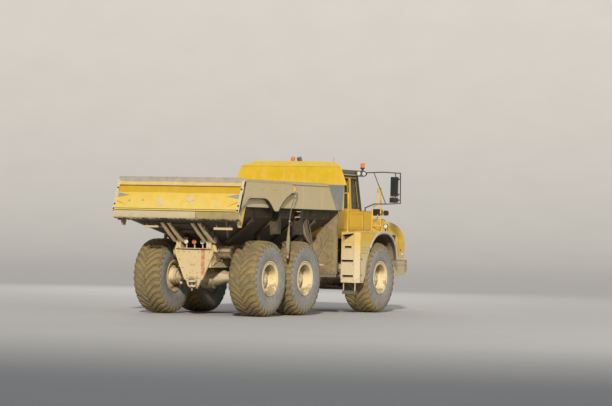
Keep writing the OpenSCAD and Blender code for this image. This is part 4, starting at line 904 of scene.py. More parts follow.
def body_trim():
    """Right or left half, made on +Y."""
    p = Part()
    # rail: flat cap, its lower lip, and the weld under it
    p.box((-1.47, 1.512, 3.338), (3.29, 1.612, 3.352), 1, 0.004)
    p.tube([(-1.46, 1.622, 3.286), (3.28, 1.622, 3.286)], 0.008, 1, 8)
    # worn, dusty grey-blue facet, its grey-blue the painted shade of a face turned from the light, with its fold line,
    # edge bar and bolts
    f = [(3.306, 1.612, 3.330), (3.812, 1.612, 2.694), (4.268, 1.548, 2.694), (4.268, 1.576, 3.330)]
    q = [vadd(v, (0.004, 0.010, 0)) for v in f]
    p.add(f + q, [[0, 1, 2, 3], [4, 7, 6, 5], [0, 4, 5, 1], [1, 5, 6, 2], [2, 6, 7, 3], [3, 7, 4, 0]], 2)
    p.tube([(3.292, 1.616, 3.336), (3.818, 1.616, 2.686)], 0.006, 0, 6)
    p.tube([(3.83, 1.612, 2.686), (4.27, 1.546, 2.686)], 0.006, 0, 6)
    # lower flange of the side wall and shelf edge, near-black as painted shade under the wall
    p.box((-1.62, 1.560, 2.664), (3.80, 1.614, 2.682), 3, 0.004)
    p.tube([(-1.62, 1.613, 2.676), (3.80, 1.613, 2.676)], 0.007, 3, 8)
    # weld seams of the wall's plates
    for x in (-0.56, 0.62, 1.86, 2.94):
        p.tube([(x, 1.611, 2.700), (x, 1.611, 3.268)], 0.0042, 0, 6)
    # posts and ribs: capped edges; the posts near-black as painted deep shade under the body
    for x in (0.56, 1.79):
        p.box((x - 0.03, 1.585, 2.05), (x + 0.11, 1.604, 2.67), 4, 0.004)
        p.box((x - 0.02, 1.42, 2.035), (x + 0.10, 1.60, 2.047), 4, 0.003)
    for x in (-0.56, 1.79, 2.90):
        a, b = (0.74, 1.79), (1.42, 2.35)
        d = (b[0] - a[0], b[1] - a[1]); l = math.hypot(*d)
        p.obox((x - 0.03, a[0], a[1]), (0.14, 0, 0), (0, d[0], d[1]), (0, d[1] / l * 0.014, -d[0] / l * 0.014), 5, 0.003)
    # corner plate behind the wall: bright yellow edge bar and its bolts
    e = [(-1.30, 2.68), (-1.485, 2.178)]
    p.add([(e[0][0] - 0.055, 1.6235, e[0][1]), (e[0][0] + 0.008, 1.6235, e[0][1]), (e[1][0] + 0.008, 1.6235, e[1][1]), (e[1][0] - 0.045, 1.6235, e[1][1] + 0.0),
           (e[0][0] - 0.055, 1.630, e[0][1]), (e[0][0] + 0.008, 1.630, e[0][1]), (e[1][0] + 0.008, 1.630, e[1][1]), (e[1][0] - 0.045, 1.630, e[1][1])],
          [[0, 1, 2, 3], [7, 6, 5, 4], [0, 4, 5, 1], [1, 5, 6, 2], [2, 6, 7, 3], [3, 7, 4, 0]], 6)
    for x, z in ((-1.70, 2.60), (-1.60, 2.62), (-1.50, 2.62), (-1.62, 2.40), (-1.56, 2.26)):
        p.bolt((x, 1.622, z), (0, 1, 0), 0.012, 0.009, 7)
    # bracket of the wire guide under the wall, and the strap that runs down ahead of the post
    p.box((1.60, 1.50, 2.60), (1.84, 1.598, 2.622), 8, 0.004)
    p.box((1.62, 1.50, 2.46), (1.80, 1.592, 2.482), 8, 0.004)
    strap = [(1.800, 2.676), (2.087, 2.264), (2.262, 1.937), (2.715, 1.686)]
    dense = fillet2([(-9, -9)] + strap + [(9, -9)], [0, 0, 0.15, 0.2, 0, 0], 6)[1:-1]
    strip_along(p, dense, 1.478, 1.528, 0.012, 9)
    p.prism([(2.08, 2.27), (2.26, 1.94), (2.71, 1.69), (2.66, 1.86), (2.42, 2.16), (2.30, 2.44)], "y", 1.488, 1.500, 5, 0.003)
    p.tube(fillet([(2.66, 1.494, 1.86), (2.62, 1.44, 2.20), (2.56, 1.40, 2.44)], 0.05), 0.014, 5, 8)
    return p


both(body_trim).build("body_rails_and_seams", [M_WALL, M_WORN, M_FACET, M_DARK, M_DARK, M_UNDER, M_YEL, M_NUT, M_CREAM, M_CREAM], "load_body", smooth=30, slot="yellow_paint")


def body_inside():
    p = Part()
    hw = 0.595
    # wear plates on the flat floor, on the slopes and up the front
    for i, (x0, x1) in enumerate(((-0.20, 0.66), (0.68, 1.54), (1.56, 2.42), (2.44, 3.28))):
        for y0, y1 in ((-hw, -0.006), (0.006, hw)):
            p.box((x0, y0, 1.829), (x1, y1, 1.838), 0, 0.003)
    k = 0.8442
    c, s_ = 1 / math.hypot(1, k), k / math.hypot(1, k)
    for x0, x1 in ((-0.20, 0.66), (0.68, 1.54), (1.56, 2.42), (2.44, 3.26)):
        for sg in (-1, 1):
            for a, b in ((0.03, 0.44), (0.455, 0.90)):
                y, z = 0.650 - 0.055 + a * c, 1.832 + a * s_
                o = (x0, sg * y, z)
                p.obox(o, (x1 - x0, 0, 0), (0, sg * c * (b - a), s_ * (b - a)), (0, -sg * s_ * 0.008, c * 0.008), 0, 0.003)
    ck = -0.3655
    for x0, x1 in ((-0.24, -0.96), (-0.98, -1.70)):
        for y0, y1 in ((-0.59, -0.006), (0.006, 0.59)):
            z0 = 1.832 + (-0.22 - x0) * 0.3655
            p.obox((x0 + 0.01, y0, z0 + 0.004), (x1 - x0, 0, (x0 - x1) * 0.3655), (0, y1 - y0, 0), (0.003, 0, 0.008), 0, 0.003)
    # inner weld beads of the tray
    for sg in (-1, 1):
        p.tube([(-0.2, sg * 0.597, 1.834), (3.29, sg * 0.597, 1.834)], 0.010, 1, 6)
        p.tube([(-0.2, sg * 1.366, 2.450), (3.29, sg * 1.366, 2.450)], 0.010, 1, 6)
        p.tube([(-1.5, sg * 1.555, 2.727), (3.8, sg * 1.555, 2.727)], 0.010, 1, 6)
    # soil that stays in the corners
    def soil(x0, x1, yc, w, h, z, n=40):
        vs, fs = [], []
        for i in range(n + 1):
            x = x0 + (x1 - x0) * i / n
            g = max(0.12, 0.6 + 0.5 * hill(x * 1.7, yc * 3)) * min(1, i / 3, (n - i) / 3)
            for j in range(7):
                t = -1 + 2 * j / 6
                vs.append((x, yc + t * w * (0.7 + 0.3 * hill(x * 2.2, j)), z + h * g * (1 - t * t) + 0.008 * hill(x * 9, j * 3)))
        for i in range(n):
            for j in range(6): fs.append([i * 7 + j, i * 7 + j + 1, (i + 1) * 7 + j + 1, (i + 1) * 7 + j])
        fs += [[j for j in range(7)], [n * 7 + j for j in range(7)][::-1]]
        fs += [[i * 7 for i in range(n + 1)][::-1] + [], ]
        fs = fs[:-1]
        p.add(vs, fs, 2)
    soil(-0.1, 3.2, 0.47, 0.11, 0.05, 1.836); soil(-0.1, 3.2, -0.48, 0.12, 0.06, 1.836)
    return p


body_inside().build("tray_wear_plates", [M_LINER, M_LINER, M_MUDC], "load_body", smooth=35)


def headboard_trim():
    p = Part()
    # upright channels and cross rail on the front of the headboard
    for y in (-1.30, -0.80, -0.27, 0.27, 0.80, 1.30):
        p.prism([(4.326, 2.70), (4.326, 3.33), (4.342, 3.33), (4.355, 3.30), (4.355, 2.73), (4.342, 2.70)], "y", y - 0.045, y + 0.045, 0, 0.008)
    p.box((4.328, -1.54, 2.98), (4.350, 1.54, 3.06), 0, 0.006)
    # fold lines of the spill guard: beads and end gussets
    p.tube([(4.284, -1.640, 3.344), (4.284, 1.640, 3.344)], 0.010, 1, 8)
    p.tube([(4.322, -1.440, 3.820), (4.322, 1.440, 3.820)], 0.009, 0, 8)
    p.tube([(4.545, -1.150, 3.946), (4.545, 1.150, 3.946)], 0.014, 0, 10)
    for sg in (-1, 1):
        p.tube([(4.30, sg * 1.640, 3.345), (4.34, sg * 1.440, 3.820), (4.545, sg * 1.150, 3.946)], 0.012, 0, 8)
        p.add([(4.335, sg * 1.42, 3.36), (4.335, sg * 1.42, 3.80), (4.42, sg * 1.42, 3.36), (4.335, sg * 1.408, 3.36), (4.335, sg * 1.408, 3.80), (4.42, sg * 1.408, 3.36)],
              [[0, 1, 2], [5, 4, 3], [0, 3, 4, 1], [1, 4, 5, 2], [2, 5, 3, 0]], 0)
    for y in (-0.9, -0.3, 0.3, 0.9):
        p.prism([(4.368, 3.40), (4.376, 3.80), (4.52, 3.895), (4.50, 3.84), (4.40, 3.70)], "y", y - 0.010, y + 0.010, 0, 0.003)
    return p


headboard_trim().build("headboard_ribs", [M_HEAD, M_WORN], "load_body", smooth=30, slot="yellow_paint")


def lip_trim():
    p = Part()
    # face plates on the chute's lip: scraped cream over most of it, drying mud on the right
    sec = [(-1.852, 2.377), (-1.852, 2.538)]
    for y0, y1, m in ((-0.56, 1.738, 0), (-1.738, -0.575, 1)):
        n = max(8, int((y1 - y0) / 0.06))
        vs, fs = [], []
        for i in range(n + 1):
            y = y0 + (y1 - y0) * i / n
            a = 0.006 * hill(y * 7, 1); b = 0.007 * hill(y * 6, 5)
            for x, z in ((-1.850, 2.540), (-1.862 + a * 0.4, 2.534 + 0.3 * a), (-1.866 + a, 2.50), (-1.865 + b, 2.44), (-1.866 + b * 0.8, 2.395 + a), (-1.860, 2.372 + b), (-1.848, 2.368 + b)):
                vs.append((x, y, z))
        for i in range(n):
            for j in range(6): fs.append([i * 7 + j, i * 7 + j + 1, (i + 1) * 7 + j + 1, (i + 1) * 7 + j])
        fs += [[j for j in range(7)][::-1], [n * 7 + j for j in range(7)]]
        p.add(vs, fs, m)
    # mud caked under the lip
    n = 150
    vs, fs = [], []
    for i in range(n + 1):
        y = -1.72 + 3.44 * i / n
        e = min(1.0, i / 4, (n - i) / 4)
        h = (0.028 + 0.022 * max(-0.9, hill(y * 5.3, 0.4)) + 0.010 * hill(y * 23, 3) + (0.018 if y > 0.9 else 0)) * e
        for x, k in ((-1.855, 0.0), (-1.85, 0.8), (-1.82, 1.1), (-1.78, 1.0), (-1.735, 0.9), (-1.715, 0.0)):
            zb = 2.374 if x < -1.80 else 2.374 - (x + 1.85) * 0.33
            vs.append((x + 0.006 * hill(y * 11, k * 5), y, zb + 0.004 - h * k))
    for i in range(n):
        for j in range(6): fs.append([i * 6 + j, i * 6 + (j + 1) % 6, (i + 1) * 6 + (j + 1) % 6, (i + 1) * 6 + j])
    fs += [list(range(6))[::-1], [n * 6 + j for j in range(6)]]
    p.add(vs, fs, 2)
    # cross ribs under the chute and the tan bar between the brackets and the right wheel
    for x in (-1.45, -1.05):
        z = 1.790 + (-0.22 - x) * 0.3655
        p.box((x - 0.03, -0.62, z - 0.10), (x + 0.03, -0.545, z + 0.0), 3, 0.005)
        p.box((x - 0.03, -0.295, z - 0.07), (x + 0.03, 0.295, z + 0.0), 3, 0.005)
        p.box((x - 0.03, 0.545, z - 0.10), (x + 0.03, 0.62, z + 0.0), 3, 0.005)
    p.obox((-1.62, -1.44, 2.105), (0.05, 0, 0), (0, 0.50, 0.0), (0, 0, 0.060), 4, 0.006)
    p.obox((-1.62, 0.60, 2.130), (0.05, 0, 0), (0, 0.38, 0.0), (0, 0, 0.05), 4, 0.006)
    p.obox((-1.60, -1.38, 2.155), (0.03, 0, 0), (0, 0.03, 0), (0, 0, 0.20), 3, 0.003)
    p.obox((-1.60, -1.02, 2.155), (0.03, 0, 0), (0, 0.03, 0), (0, 0, 0.17), 3, 0.003)
    for y in (0.66, 0.92): p.obox((-1.60, y, 2.170), (0.03, 0, 0), (0, 0.03, 0), (0, 0, 0.15), 3, 0.003)
    # hinge brackets: light tan flanges on their rear edges, coloured as painted sunlight, pins with keeper plates
    for sg in (-1, 1):
        for y0, y1 in ((0.300, 0.355), (0.485, 0.540)):
            path = [(-1.600, 2.250), (-1.250, 2.006), (-0.880, 1.790), (-0.720, 1.800)]
            q = Part()
            strip_along(q, path[::-1], y0 - 0.012, y1 + 0.012, 0.016, 6, lift=-0.004)
            p.merge(q, mirror=sg < 0)
            # welded cheek along the bracket's lower edge, in the same painted-light tan
            ck = [(-1.590, 2.236), (-1.250, 1.998), (-0.900, 1.794), (-0.900, 1.868), (-1.240, 2.070), (-1.560, 2.286)]
            for ya, yb in ((y0 - 0.004, y0 + 0.001), (y1 - 0.001, y1 + 0.004)):
                p.prism(ck, "y", *sorted((sg * ya, sg * yb)), 6, 0.001)
        for y, d in ((0.545, 1), (0.295, -1)):
            o = (-0.800, sg * y, 1.850); dr = (0, sg * d, 0)
            p.lathe(o, dr, [(-0.004, 0.078), (0.010, 0.078), (0.014, 0.070), (0.014, 0.046), (0.022, 0.044), (0.026, 0.036), (0.026, 0.0)], [4, 4, 4, 5, 5, 5], 28)
            for i in range(4):
                a = math.pi / 2 * i + 0.5
                p.bolt((-0.800 + 0.062 * math.cos(a), sg * y + sg * d * 0.012, 1.850 + 0.062 * math.sin(a)), dr, 0.007, 0.007, 5)
    return p


lip_trim().build("chute_lip_and_brackets", [M_LIPC, M_OLIVE, M_MUDC, M_UNDER, M_FRAME, M_NUT, M_BRACK], "load_body", smooth=35)


def wire(sg):
    """Three-strand wire with its socket above and the muddy lower end."""
    p = Part()
    path = fillet([(1.245, 1.750, 3.136), (0.920, 1.750, 2.700), (0.830, 1.745, 2.250), (0.800, 1.738, 1.700), (0.806, 1.735, 1.500)], 0.25, 10)
    pts = []
    for a, b in zip(path[:-1], path[1:]):
        k = max(1, int(vlen(vsub(b, a)) / 0.009))
        pts += [lerp(a, b, i / k) for i in range(k)]
    pts.append(path[-1])
    run = 0.0
    tr = [[], [], []]
    for i, q in enumerate(pts):
        t = vnorm(vsub(pts[min(i + 1, len(pts) - 1)], pts[max(i - 1, 0)]))
        u, w = basis(t)
        if i: run += vlen(vsub(q, pts[i - 1]))
        for k in range(3):
            a = run / 0.085 * 2 * math.pi + k * 2 * math.pi / 3
            tr[k].append(vadd(q, vadd(vmul(u, 0.0068 * math.cos(a)), vmul(w, 0.0068 * math.sin(a)))))
    for k in range(3): p.tube(tr[k], 0.0068, 0, 7)
    # ferrules and clamps
    def at(f):
        i = min(len(pts) - 2, max(0, int(f * len(pts))))
        return pts[i], vnorm(vsub(pts[i + 1], pts[i]))
    for f, l, r in ((0.03, 0.07, 0.022), (0.12, 0.05, 0.021), (0.50, 0.05, 0.021)):
        q, t = at(f)
        p.rod(vsub(q, vmul(t, l / 2)), vadd(q, vmul(t, l / 2)), r, 1, 14)
        u, w = basis(t)
        p.bolt(vadd(q, vmul(u, r)), u, 0.007, 0.012, 1)
    # mud packed round the lower length
    n0 = int(len(pts) * 0.56)
    low = pts[n0:]
    n = len(low); cols = 12
    vs, fs = [], []
    for i in range(0, n, 3):
        q = low[i]
        t = vnorm(vsub(low[min(i + 1, n - 1)], low[max(i - 1, 0)]))
        u, w = basis(t)
        f = i / n
        rr = 0.020 + 0.026 * math.sin(min(1.0, f * 1.25) * math.pi * 0.62) * min(1, f * 5) * min(1.0, (1 - f) * 9)
        for j in range(cols):
            a = 2 * math.pi * j / cols
            r = rr * (1 + 0.22 * hill(i * 0.11, j * 1.7))
            vs.append(vadd(q, vadd(vmul(u, r * math.cos(a)), vmul(w, r * math.sin(a)))))
    k = len(vs) // cols
    fs = [[i * cols + j, i * cols + (j + 1) % cols, (i + 1) * cols + (j + 1) % cols, (i + 1) * cols + j] for i in range(k - 1) for j in range(cols)]
    fs += [list(range(cols))[::-1], [(k - 1) * cols + j for j in range(cols)]]
    p.add(vs, fs, 2)
    e = pts[-1]
    p.lathe(vadd(e, (0, 0, 0.02)), (0, 0, -1), [(0, 0.016), (0.01, 0.030), (0.05, 0.032), (0.075, 0.024), (0.078, 0.0)], 1, 18)
    return Part().merge(p, mirror=sg < 0)


Part().merge(wire(1)).merge(wire(-1)).build("tailgate_wire_ropes", [M_GREY, M_NUT, M_MUDC], "load_body", ["gate_wires"], smooth=40, slot="bare_steel")


def chute_welds():
    """Corner bars that close the seam between the chute and the side plates."""
    p = Part()
    for sg in (-1, 1):
        n = 24
        vs = []
        for i in range(n + 1):
            f = i / n
            x = -0.20 - 1.53 * f
            ye = 0.595 + max(0.0, -0.22 - x) / 1.52 * 0.730
            z = 1.790 + (-0.22 - x) * 0.3655
            k = 0.085 * (1 - f)
            for y, h in ((ye - 0.050, 0.043), (ye + 0.022 + k, 0.130), (ye + 0.045, 0.020), (ye + 0.045, -0.006), (ye - 0.006, -0.006)):
                vs.append((x, sg * y, z + h))
        fs = [[i * 5 + j, i * 5 + (j + 1) % 5, (i + 1) * 5 + (j + 1) % 5, (i + 1) * 5 + j] for i in range(n) for j in range(5)]
        fs += [list(range(5)), [n * 5 + j for j in range(5)][::-1]]
        p.add(vs, fs, 0)
        # weld bead along its upper edge
        p.tube([vs[i * 5 + 1] for i in range(n + 1)], 0.009, 0, 6)
    return p


chute_welds().build("chute_corner_bars", [M_LINER], "load_body", smooth=30, slot="bare_steel")


# ------------------------------------------------------------------ rear unit
def stripe(t, col, r, h, dm):
    """Reddish run of old paint down the rear plate."""
    x, y, z = t.xyz()
    n = t.noise(12, 6, 0.7)
    m = t.mul(t.map(t.math("ABSOLUTE", t.sub(y, -0.250)), 0.036, 0.060, 1.0, 0.0), t.map(n, 0.34, 0.52, 0.0, 0.90))
    m = t.mul(m, t.map(z, 0.95, 1.05, 0, 1))
    return t.mix(m, col, (0.50, 0.150, 0.095)), r, h


M_PLATE = worn("rear_plate_tan", (0.62, 0.42, 0.13), (0.70, 0.50, 0.20), rough=0.6, dust=0.85, low=(1.0, 3.2), up=0.8, mud=0.55, mudtop=1.5, rust=0.3, bump=0.6, side=0.2, dcol=(0.60, 0.475, 0.275), chips=0.5, extra=stripe)


def rear_plate():
    p = Part()
    poly = [(-0.513, 1.638), (0.513, 1.638), (0.513, 1.482), (0.338, 1.082), (0.243, 0.868), (0.118, 0.838), (-0.118, 0.838), (-0.243, 0.868), (-0.338, 1.082), (-0.513, 1.482)]
    p.prism(poly, "x", -0.852, -0.838, 0, 0.004)
    # top flange, a near-black strip below it as painted shade of the gap, edge bars
    p.box((-0.875, -0.50, 1.630), (-0.79, 0.50, 1.648), 1, 0.004)
    p.box((-0.8545, -0.49, 1.600), (-0.850, 0.49, 1.624), 2, 0.001)
    for sg in (-1, 1):
        e = [(sg * 0.505, 1.60), (sg * 0.505, 1.484), (sg * 0.334, 1.084), (sg * 0.245, 0.880)]
        p.tube([(-0.853, y, z) for y, z in e], 0.011, 1, 8)
        # plates of the bottom corner with the clevis gussets
        p.prism([(sg * 0.12, 0.70), (sg * 0.12, 0.90), (sg * 0.24, 0.92), (sg * 0.20, 0.84), (sg * 0.14, 0.70)], "x", -0.868, -0.80, 0, 0.004)
    for y in (-0.43, -0.28, -0.13, 0.13, 0.28, 0.43): p.bolt((-0.853, y, 1.560), (-1, 0, 0), 0.013, 0.011, 3)
    for y in (-0.10, 0.10):
        for z in (0.95, 1.05): p.bolt((-0.853, y, z), (-1, 0, 0), 0.014, 0.012, 3)
    for y, z in ((-0.30, 1.16), (0.30, 1.16), (-0.40, 1.36), (0.40, 1.36)): p.bolt((-0.853, y, z), (-1, 0, 0), 0.012, 0.010, 3)
    # round inspection cover and a worn bar across
    p.lathe((-0.852, 0.03, 1.30), (-1, 0, 0), [(0, 0.085), (0.012, 0.082), (0.014, 0.076), (0.014, 0.0)], 0, 28)
    for i in range(6):
        a = math.pi / 3 * i
        p.bolt((-0.866, 0.03 + 0.064 * math.cos(a), 1.30 + 0.064 * math.sin(a)), (-1, 0, 0), 0.007, 0.006, 3)
    p.box((-0.868, -0.21, 0.895), (-0.85, 0.21, 0.925), 4, 0.004)
    # pintle pin with its handle and chain
    p.rod((-0.92, 0, 0.60), (-0.92, 0, 0.885), 0.024, 5, 18)
    p.lathe((-0.92, 0, 0.868), (0, 0, 1), [(0, 0.045), (0.012, 0.048), (0.022, 0.042), (0.030, 0.0)], 5, 20)
    p.tube(fillet([(-0.92, -0.03, 0.885), (-0.92, -0.03, 0.95), (-0.92, 0.03, 0.95), (-0.92, 0.03, 0.885)], 0.02), 0.006, 5, 8)
    for i in range(7):
        c = (-0.895 + 0.006 * i, 0.05 + 0.016 * i, 0.885 - 0.012 * math.sin(i * 0.5))
        p.tube([vadd(c, (0.010 * math.cos(a) * (1 if i % 2 else 0.3), 0.013 * math.sin(a), 0.010 * math.cos(a) * (0.3 if i % 2 else 1))) for a in [2 * math.pi * k / 10 for k in range(11)]], 0.0025, 5, 5, caps=False)
    # clevis: rounded wear rims
    for z in (0.700, 0.740, 0.820, 0.860):
        p.lathe((-0.92, 0, z - 0.003), (0, 0, 1), [(0, 0.062), (0, 0.088), (0.006, 0.088), (0.006, 0.062)], 4, 28)
    # towers: flanges up the rear edge, side gussets, bolts
    for sg in (-1, 1):
        path = [(-0.840, 1.600), (-0.880, 1.640), (-0.882, 1.840)]
        q = Part(); strip_along(q, path[::-1], 0.358, 0.482, 0.012, 0, lift=-0.002)
        p.merge(q, mirror=sg < 0)
        p.prism([(sg * 0.482, 1.58), (sg * 0.482, 1.76), (sg * 0.56, 1.70), (sg * 0.585, 1.60), (sg * 0.60, 1.56)], "x", -0.78, -0.74, 0, 0.004)
        for z in (1.66, 1.78): p.bolt((-0.893, sg * 0.42, z), (-1, 0, 0), 0.013, 0.010, 3)
        p.lathe((-0.80, sg * 0.478, 1.85), (0, sg, 0), [(0, 0.086), (0.006, 0.090), (0.010, 0.086), (0.010, 0.05)], 0, 28)
    # tube over the rear axle: end flanges with bolts and the caked edge
    for sg in (-1, 1):
        p.lathe((-0.33, sg * 0.775, 1.56), (0, sg, 0), [(-0.02, 0.158), (0.004, 0.160), (0.012, 0.154), (0.012, 0.100), (0.004, 0.092), (0.004, 0.0)], 0, 40)
        for i in range(8):
            a = math.pi / 4 * i + 0.3
            p.bolt((-0.33 + 0.125 * math.cos(a), sg * 0.787, 1.56 + 0.125 * math.sin(a)), (0, sg, 0), 0.012, 0.010, 3)
        p.prism([(-0.46, 1.42), (-0.72, 1.30), (-0.72, 1.24), (-0.40, 1.36), (-0.30, 1.40)], "y", sg * 0.452, sg * 0.475, 0, 0.004)
        p.lathe((-0.33, sg * 0.62, 1.56), (0, sg, 0), [(-0.015, 0.150), (-0.012, 0.157), (0.012, 0.157), (0.015, 0.150)], 0, 40)
    return p


rear_plate().build("rear_plate_and_towers", [M_PLATE, M_PLATE, M_DARK, M_NUT, M_LIP, M_GREY], "rear_frame", smooth=32, slot="frame_paint")


def frame_details():
    p = Part()
    for sg in (-1, 1):
        # flanges of the rails
        for z in (1.182, 1.545):
            x1 = 2.98 if z < 1.3 else 3.48
            p.box((-0.69, sg * 0.448, z), (x1, sg * 0.470, z + 0.014), 0, 0.003)
        for i in range(17):
            p.bolt((-0.55 + 0.22 * i, sg * 0.451, 1.50), (0, sg, 0), 0.012, 0.010, 1)
        for i in range(6):
            p.bolt((-0.45 + 0.30 * i, sg * 0.451, 1.24), (0, sg, 0), 0.012, 0.010, 1)
        # pivot of the bogie beam: cap with bolts and a grease nipple
        c = (0.970, sg * 0.798, 1.040)
        p.lathe(c, (0, sg, 0), [(-0.01, 0.128), (0.010, 0.128), (0.016, 0.120), (0.016, 0.070), (0.024, 0.064), (0.026, 0.0)], 0, 40)
        for i in range(8):
            a = math.pi / 4 * i
            p.bolt((c[0] + 0.100 * math.cos(a), c[1] + sg * 0.015, c[2] + 0.100 * math.sin(a)), (0, sg, 0), 0.011, 0.009, 1)
        p.rod((c[0], c[1] + sg * 0.024, c[2]), (c[0], c[1] + sg * 0.040, c[2]), 0.006, 1, 8)
        # rubber pads between the beam's ends and the axles
        for ax in (0.0, 1.94):
            p.box((ax - 0.09, sg * 0.655, 1.052), (ax + 0.09, sg * 0.778, 1.068), 2, 0.004)
            p.box((ax - 0.11, sg * 0.640, 1.108), (ax + 0.11, sg * 0.792, 1.120), 0, 0.004)
            for dx in (-0.085, 0.085):
                for dy in (0.66, 0.772): p.bolt((ax + dx, sg * dy, 1.119), (0, 0, 1), 0.012, 0.012, 1)
        # air and brake lines clipped to the rails
        p.tube(fillet([(-0.60, sg * 0.478, 1.40), (0.40, sg * 0.480, 1.42), (1.60, sg * 0.480, 1.38), (2.90, sg * 0.480, 1.42)], 0.08), 0.011, 3, 8)
        p.tube(fillet([(-0.60, sg * 0.476, 1.36), (0.30, sg * 0.476, 1.375), (1.70, sg * 0.478, 1.345), (2.90, sg * 0.478, 1.38)], 0.08), 0.008, 3, 8)
        for x in (-0.3, 0.3, 1.3, 2.0, 2.6): p.box((x, sg * 0.450, 1.335), (x + 0.025, sg * 0.494, 1.440), 1, 0.003)
        for ax in (0.0, 1.94):
            p.tube(fillet([(ax + 0.22, sg * 0.478, 1.38), (ax + 0.20, sg * 0.53, 1.22), (ax + 0.06, sg * 0.60, 1.09), (ax + 0.03, sg * 0.86, 1.085)], 0.07), 0.010, 3, 8)
        # stays of the mud guard and its edge bars and bolts
        for z0, z1, y0, y1 in ((1.55, 1.60, 0.45, 1.02), (1.24, 1.28, 0.45, 1.30)):
            p.box((3.715, sg * y0, z0), (3.752, sg * y1, z1), 0, 0.004)
        p.obox((3.722, sg * 1.02, 1.30), (0.03, 0, 0), (0, sg * 0.045, 0), (0, sg * 0.42, 0.78), 5, 0.004)
        for y, z in ((0.6, 1.575), (0.85, 1.575), (0.7, 1.26), (1.1, 1.26), (1.40, 2.02), (1.28, 1.80)):
            p.bolt((3.748, sg * y, z), (-1, 0, 0), 0.012, 0.010, 1)
            p.bolt((3.792, sg * y, z), (1, 0, 0), 0.012, 0.010, 1)
    # bearing ring of the hitch: bolts round its flange
    for i in range(20):
        a = 2 * math.pi * i / 20
        p.bolt((4.862, 0.265 * math.cos(a), 1.090 + 0.265 * math.sin(a)), (1, 0, 0), 0.011, 0.012, 1)
    p.lathe((4.50, 0, 1.09), (1, 0, 0), [(0.0, 0.290), (0.0, 0.318), (0.035, 0.318), (0.045, 0.291)], 0, 48)
    p.lathe((4.845, 0, 1.09), (1, 0, 0), [(-0.05, 0.291), (-0.04, 0.302), (0.010, 0.302), (0.015, 0.291)], 0, 48)
    # valve block and hoses on the front crosshead
    p.box((4.20, -0.20, 1.40), (4.38, 0.02, 1.53), 4, 0.010)
    for i in range(4):
        y = -0.17 + 0.05 * i
        p.rod((4.24, y, 1.525), (4.24, y, 1.565), 0.014, 1, 12)
        p.tube(fillet([(4.24, y, 1.56), (4.24, y, 1.62), (4.00, y * 0.8 - 0.1, 1.60), (3.60, -0.26, 1.50), (3.10, -0.28, 1.46)], 0.08), 0.012, 3, 8)
    # cross tubes seen from below and above
    for x in (0.25, 1.55, 2.30):
        p.rod((x, -0.335, 1.37), (x, 0.335, 1.37), 0.055, 0, 20)
    return p


frame_details().build("rear_frame_fittings", [M_FRAME, M_NUT, M_RUB, M_RUB, M_GREY, M_GUARD], "rear_frame", smooth=32, slot="frame_paint")


def guard_skin():
    """Mud that covers the guards, with lighter scoured patches standing out."""
    p = Part()
    poly = [(0.47, 1.28), (1.07, 1.20), (1.09, 1.06), (1.665, 1.055), (1.665, 2.555), (0.775, 1.765), (0.47, 1.385)]
    def inside(y, z):
        c = False
        for i in range(len(poly)):
            (y1, z1), (y2, z2) = poly[i - 1], poly[i]
            if (z1 > z) != (z2 > z) and y < (y2 - y1) * (z - z1) / (z2 - z1) + y1: c = not c
        return c
    for sg in (-1, 1):
        ny, nz = 44, 54
        idx, vs, fs = {}, [], []
        def v(i, j):
            if (i, j) not in idx:
                y = 0.46 + 1.21 * i / ny; z = 1.04 + 1.54 * j / nz
                d = 0.006 + 0.006 * hill(y * 4.3, z * 3.7) + 0.004 * hill(y * 11, z * 9 + 2) + 0.003 * hill(y * 21 + 1, z * 23)
                edge = all(inside(y + a, z + b) for a, b in ((0.03, 0), (-0.03, 0), (0, 0.03), (0, -0.03)))
                idx[(i, j)] = len(vs)
                vs.append((3.7495 - (max(0.001, d) if edge else -0.004), sg * y, z))
            return idx[(i, j)]
        for i in range(ny):
            for j in range(nz):
                yc, zc = 0.46 + 1.21 * (i + 0.5) / ny, 1.04 + 1.54 * (j + 0.5) / nz
                if inside(yc, zc): fs.append([v(i, j), v(i + 1, j), v(i + 1, j + 1), v(i, j + 1)])
        p.add(vs, fs, 0, flip=sg < 0)
        # folded edge and rubber skirt along the bottom
        p.tube([(3.77, sg * y, z) for y, z in ((0.46, 1.40), (0.765, 1.785), (1.675, 2.59), (1.675, 1.05))], 0.013, 1, 8)
        q = Part(); q.prism([(1.09, 1.05), (1.665, 1.05), (1.66, 0.955), (1.40, 0.945), (1.10, 0.96)], "x", 3.764, 3.776, 2, 0.003)
        p.merge(q, mirror=sg < 0)
    return p


guard_skin().build("guard_mud_and_edges", [M_GUARD, M_UNDER, M_RUB], "rear_frame", smooth=40, slot="guard_rubber", recalc=False)


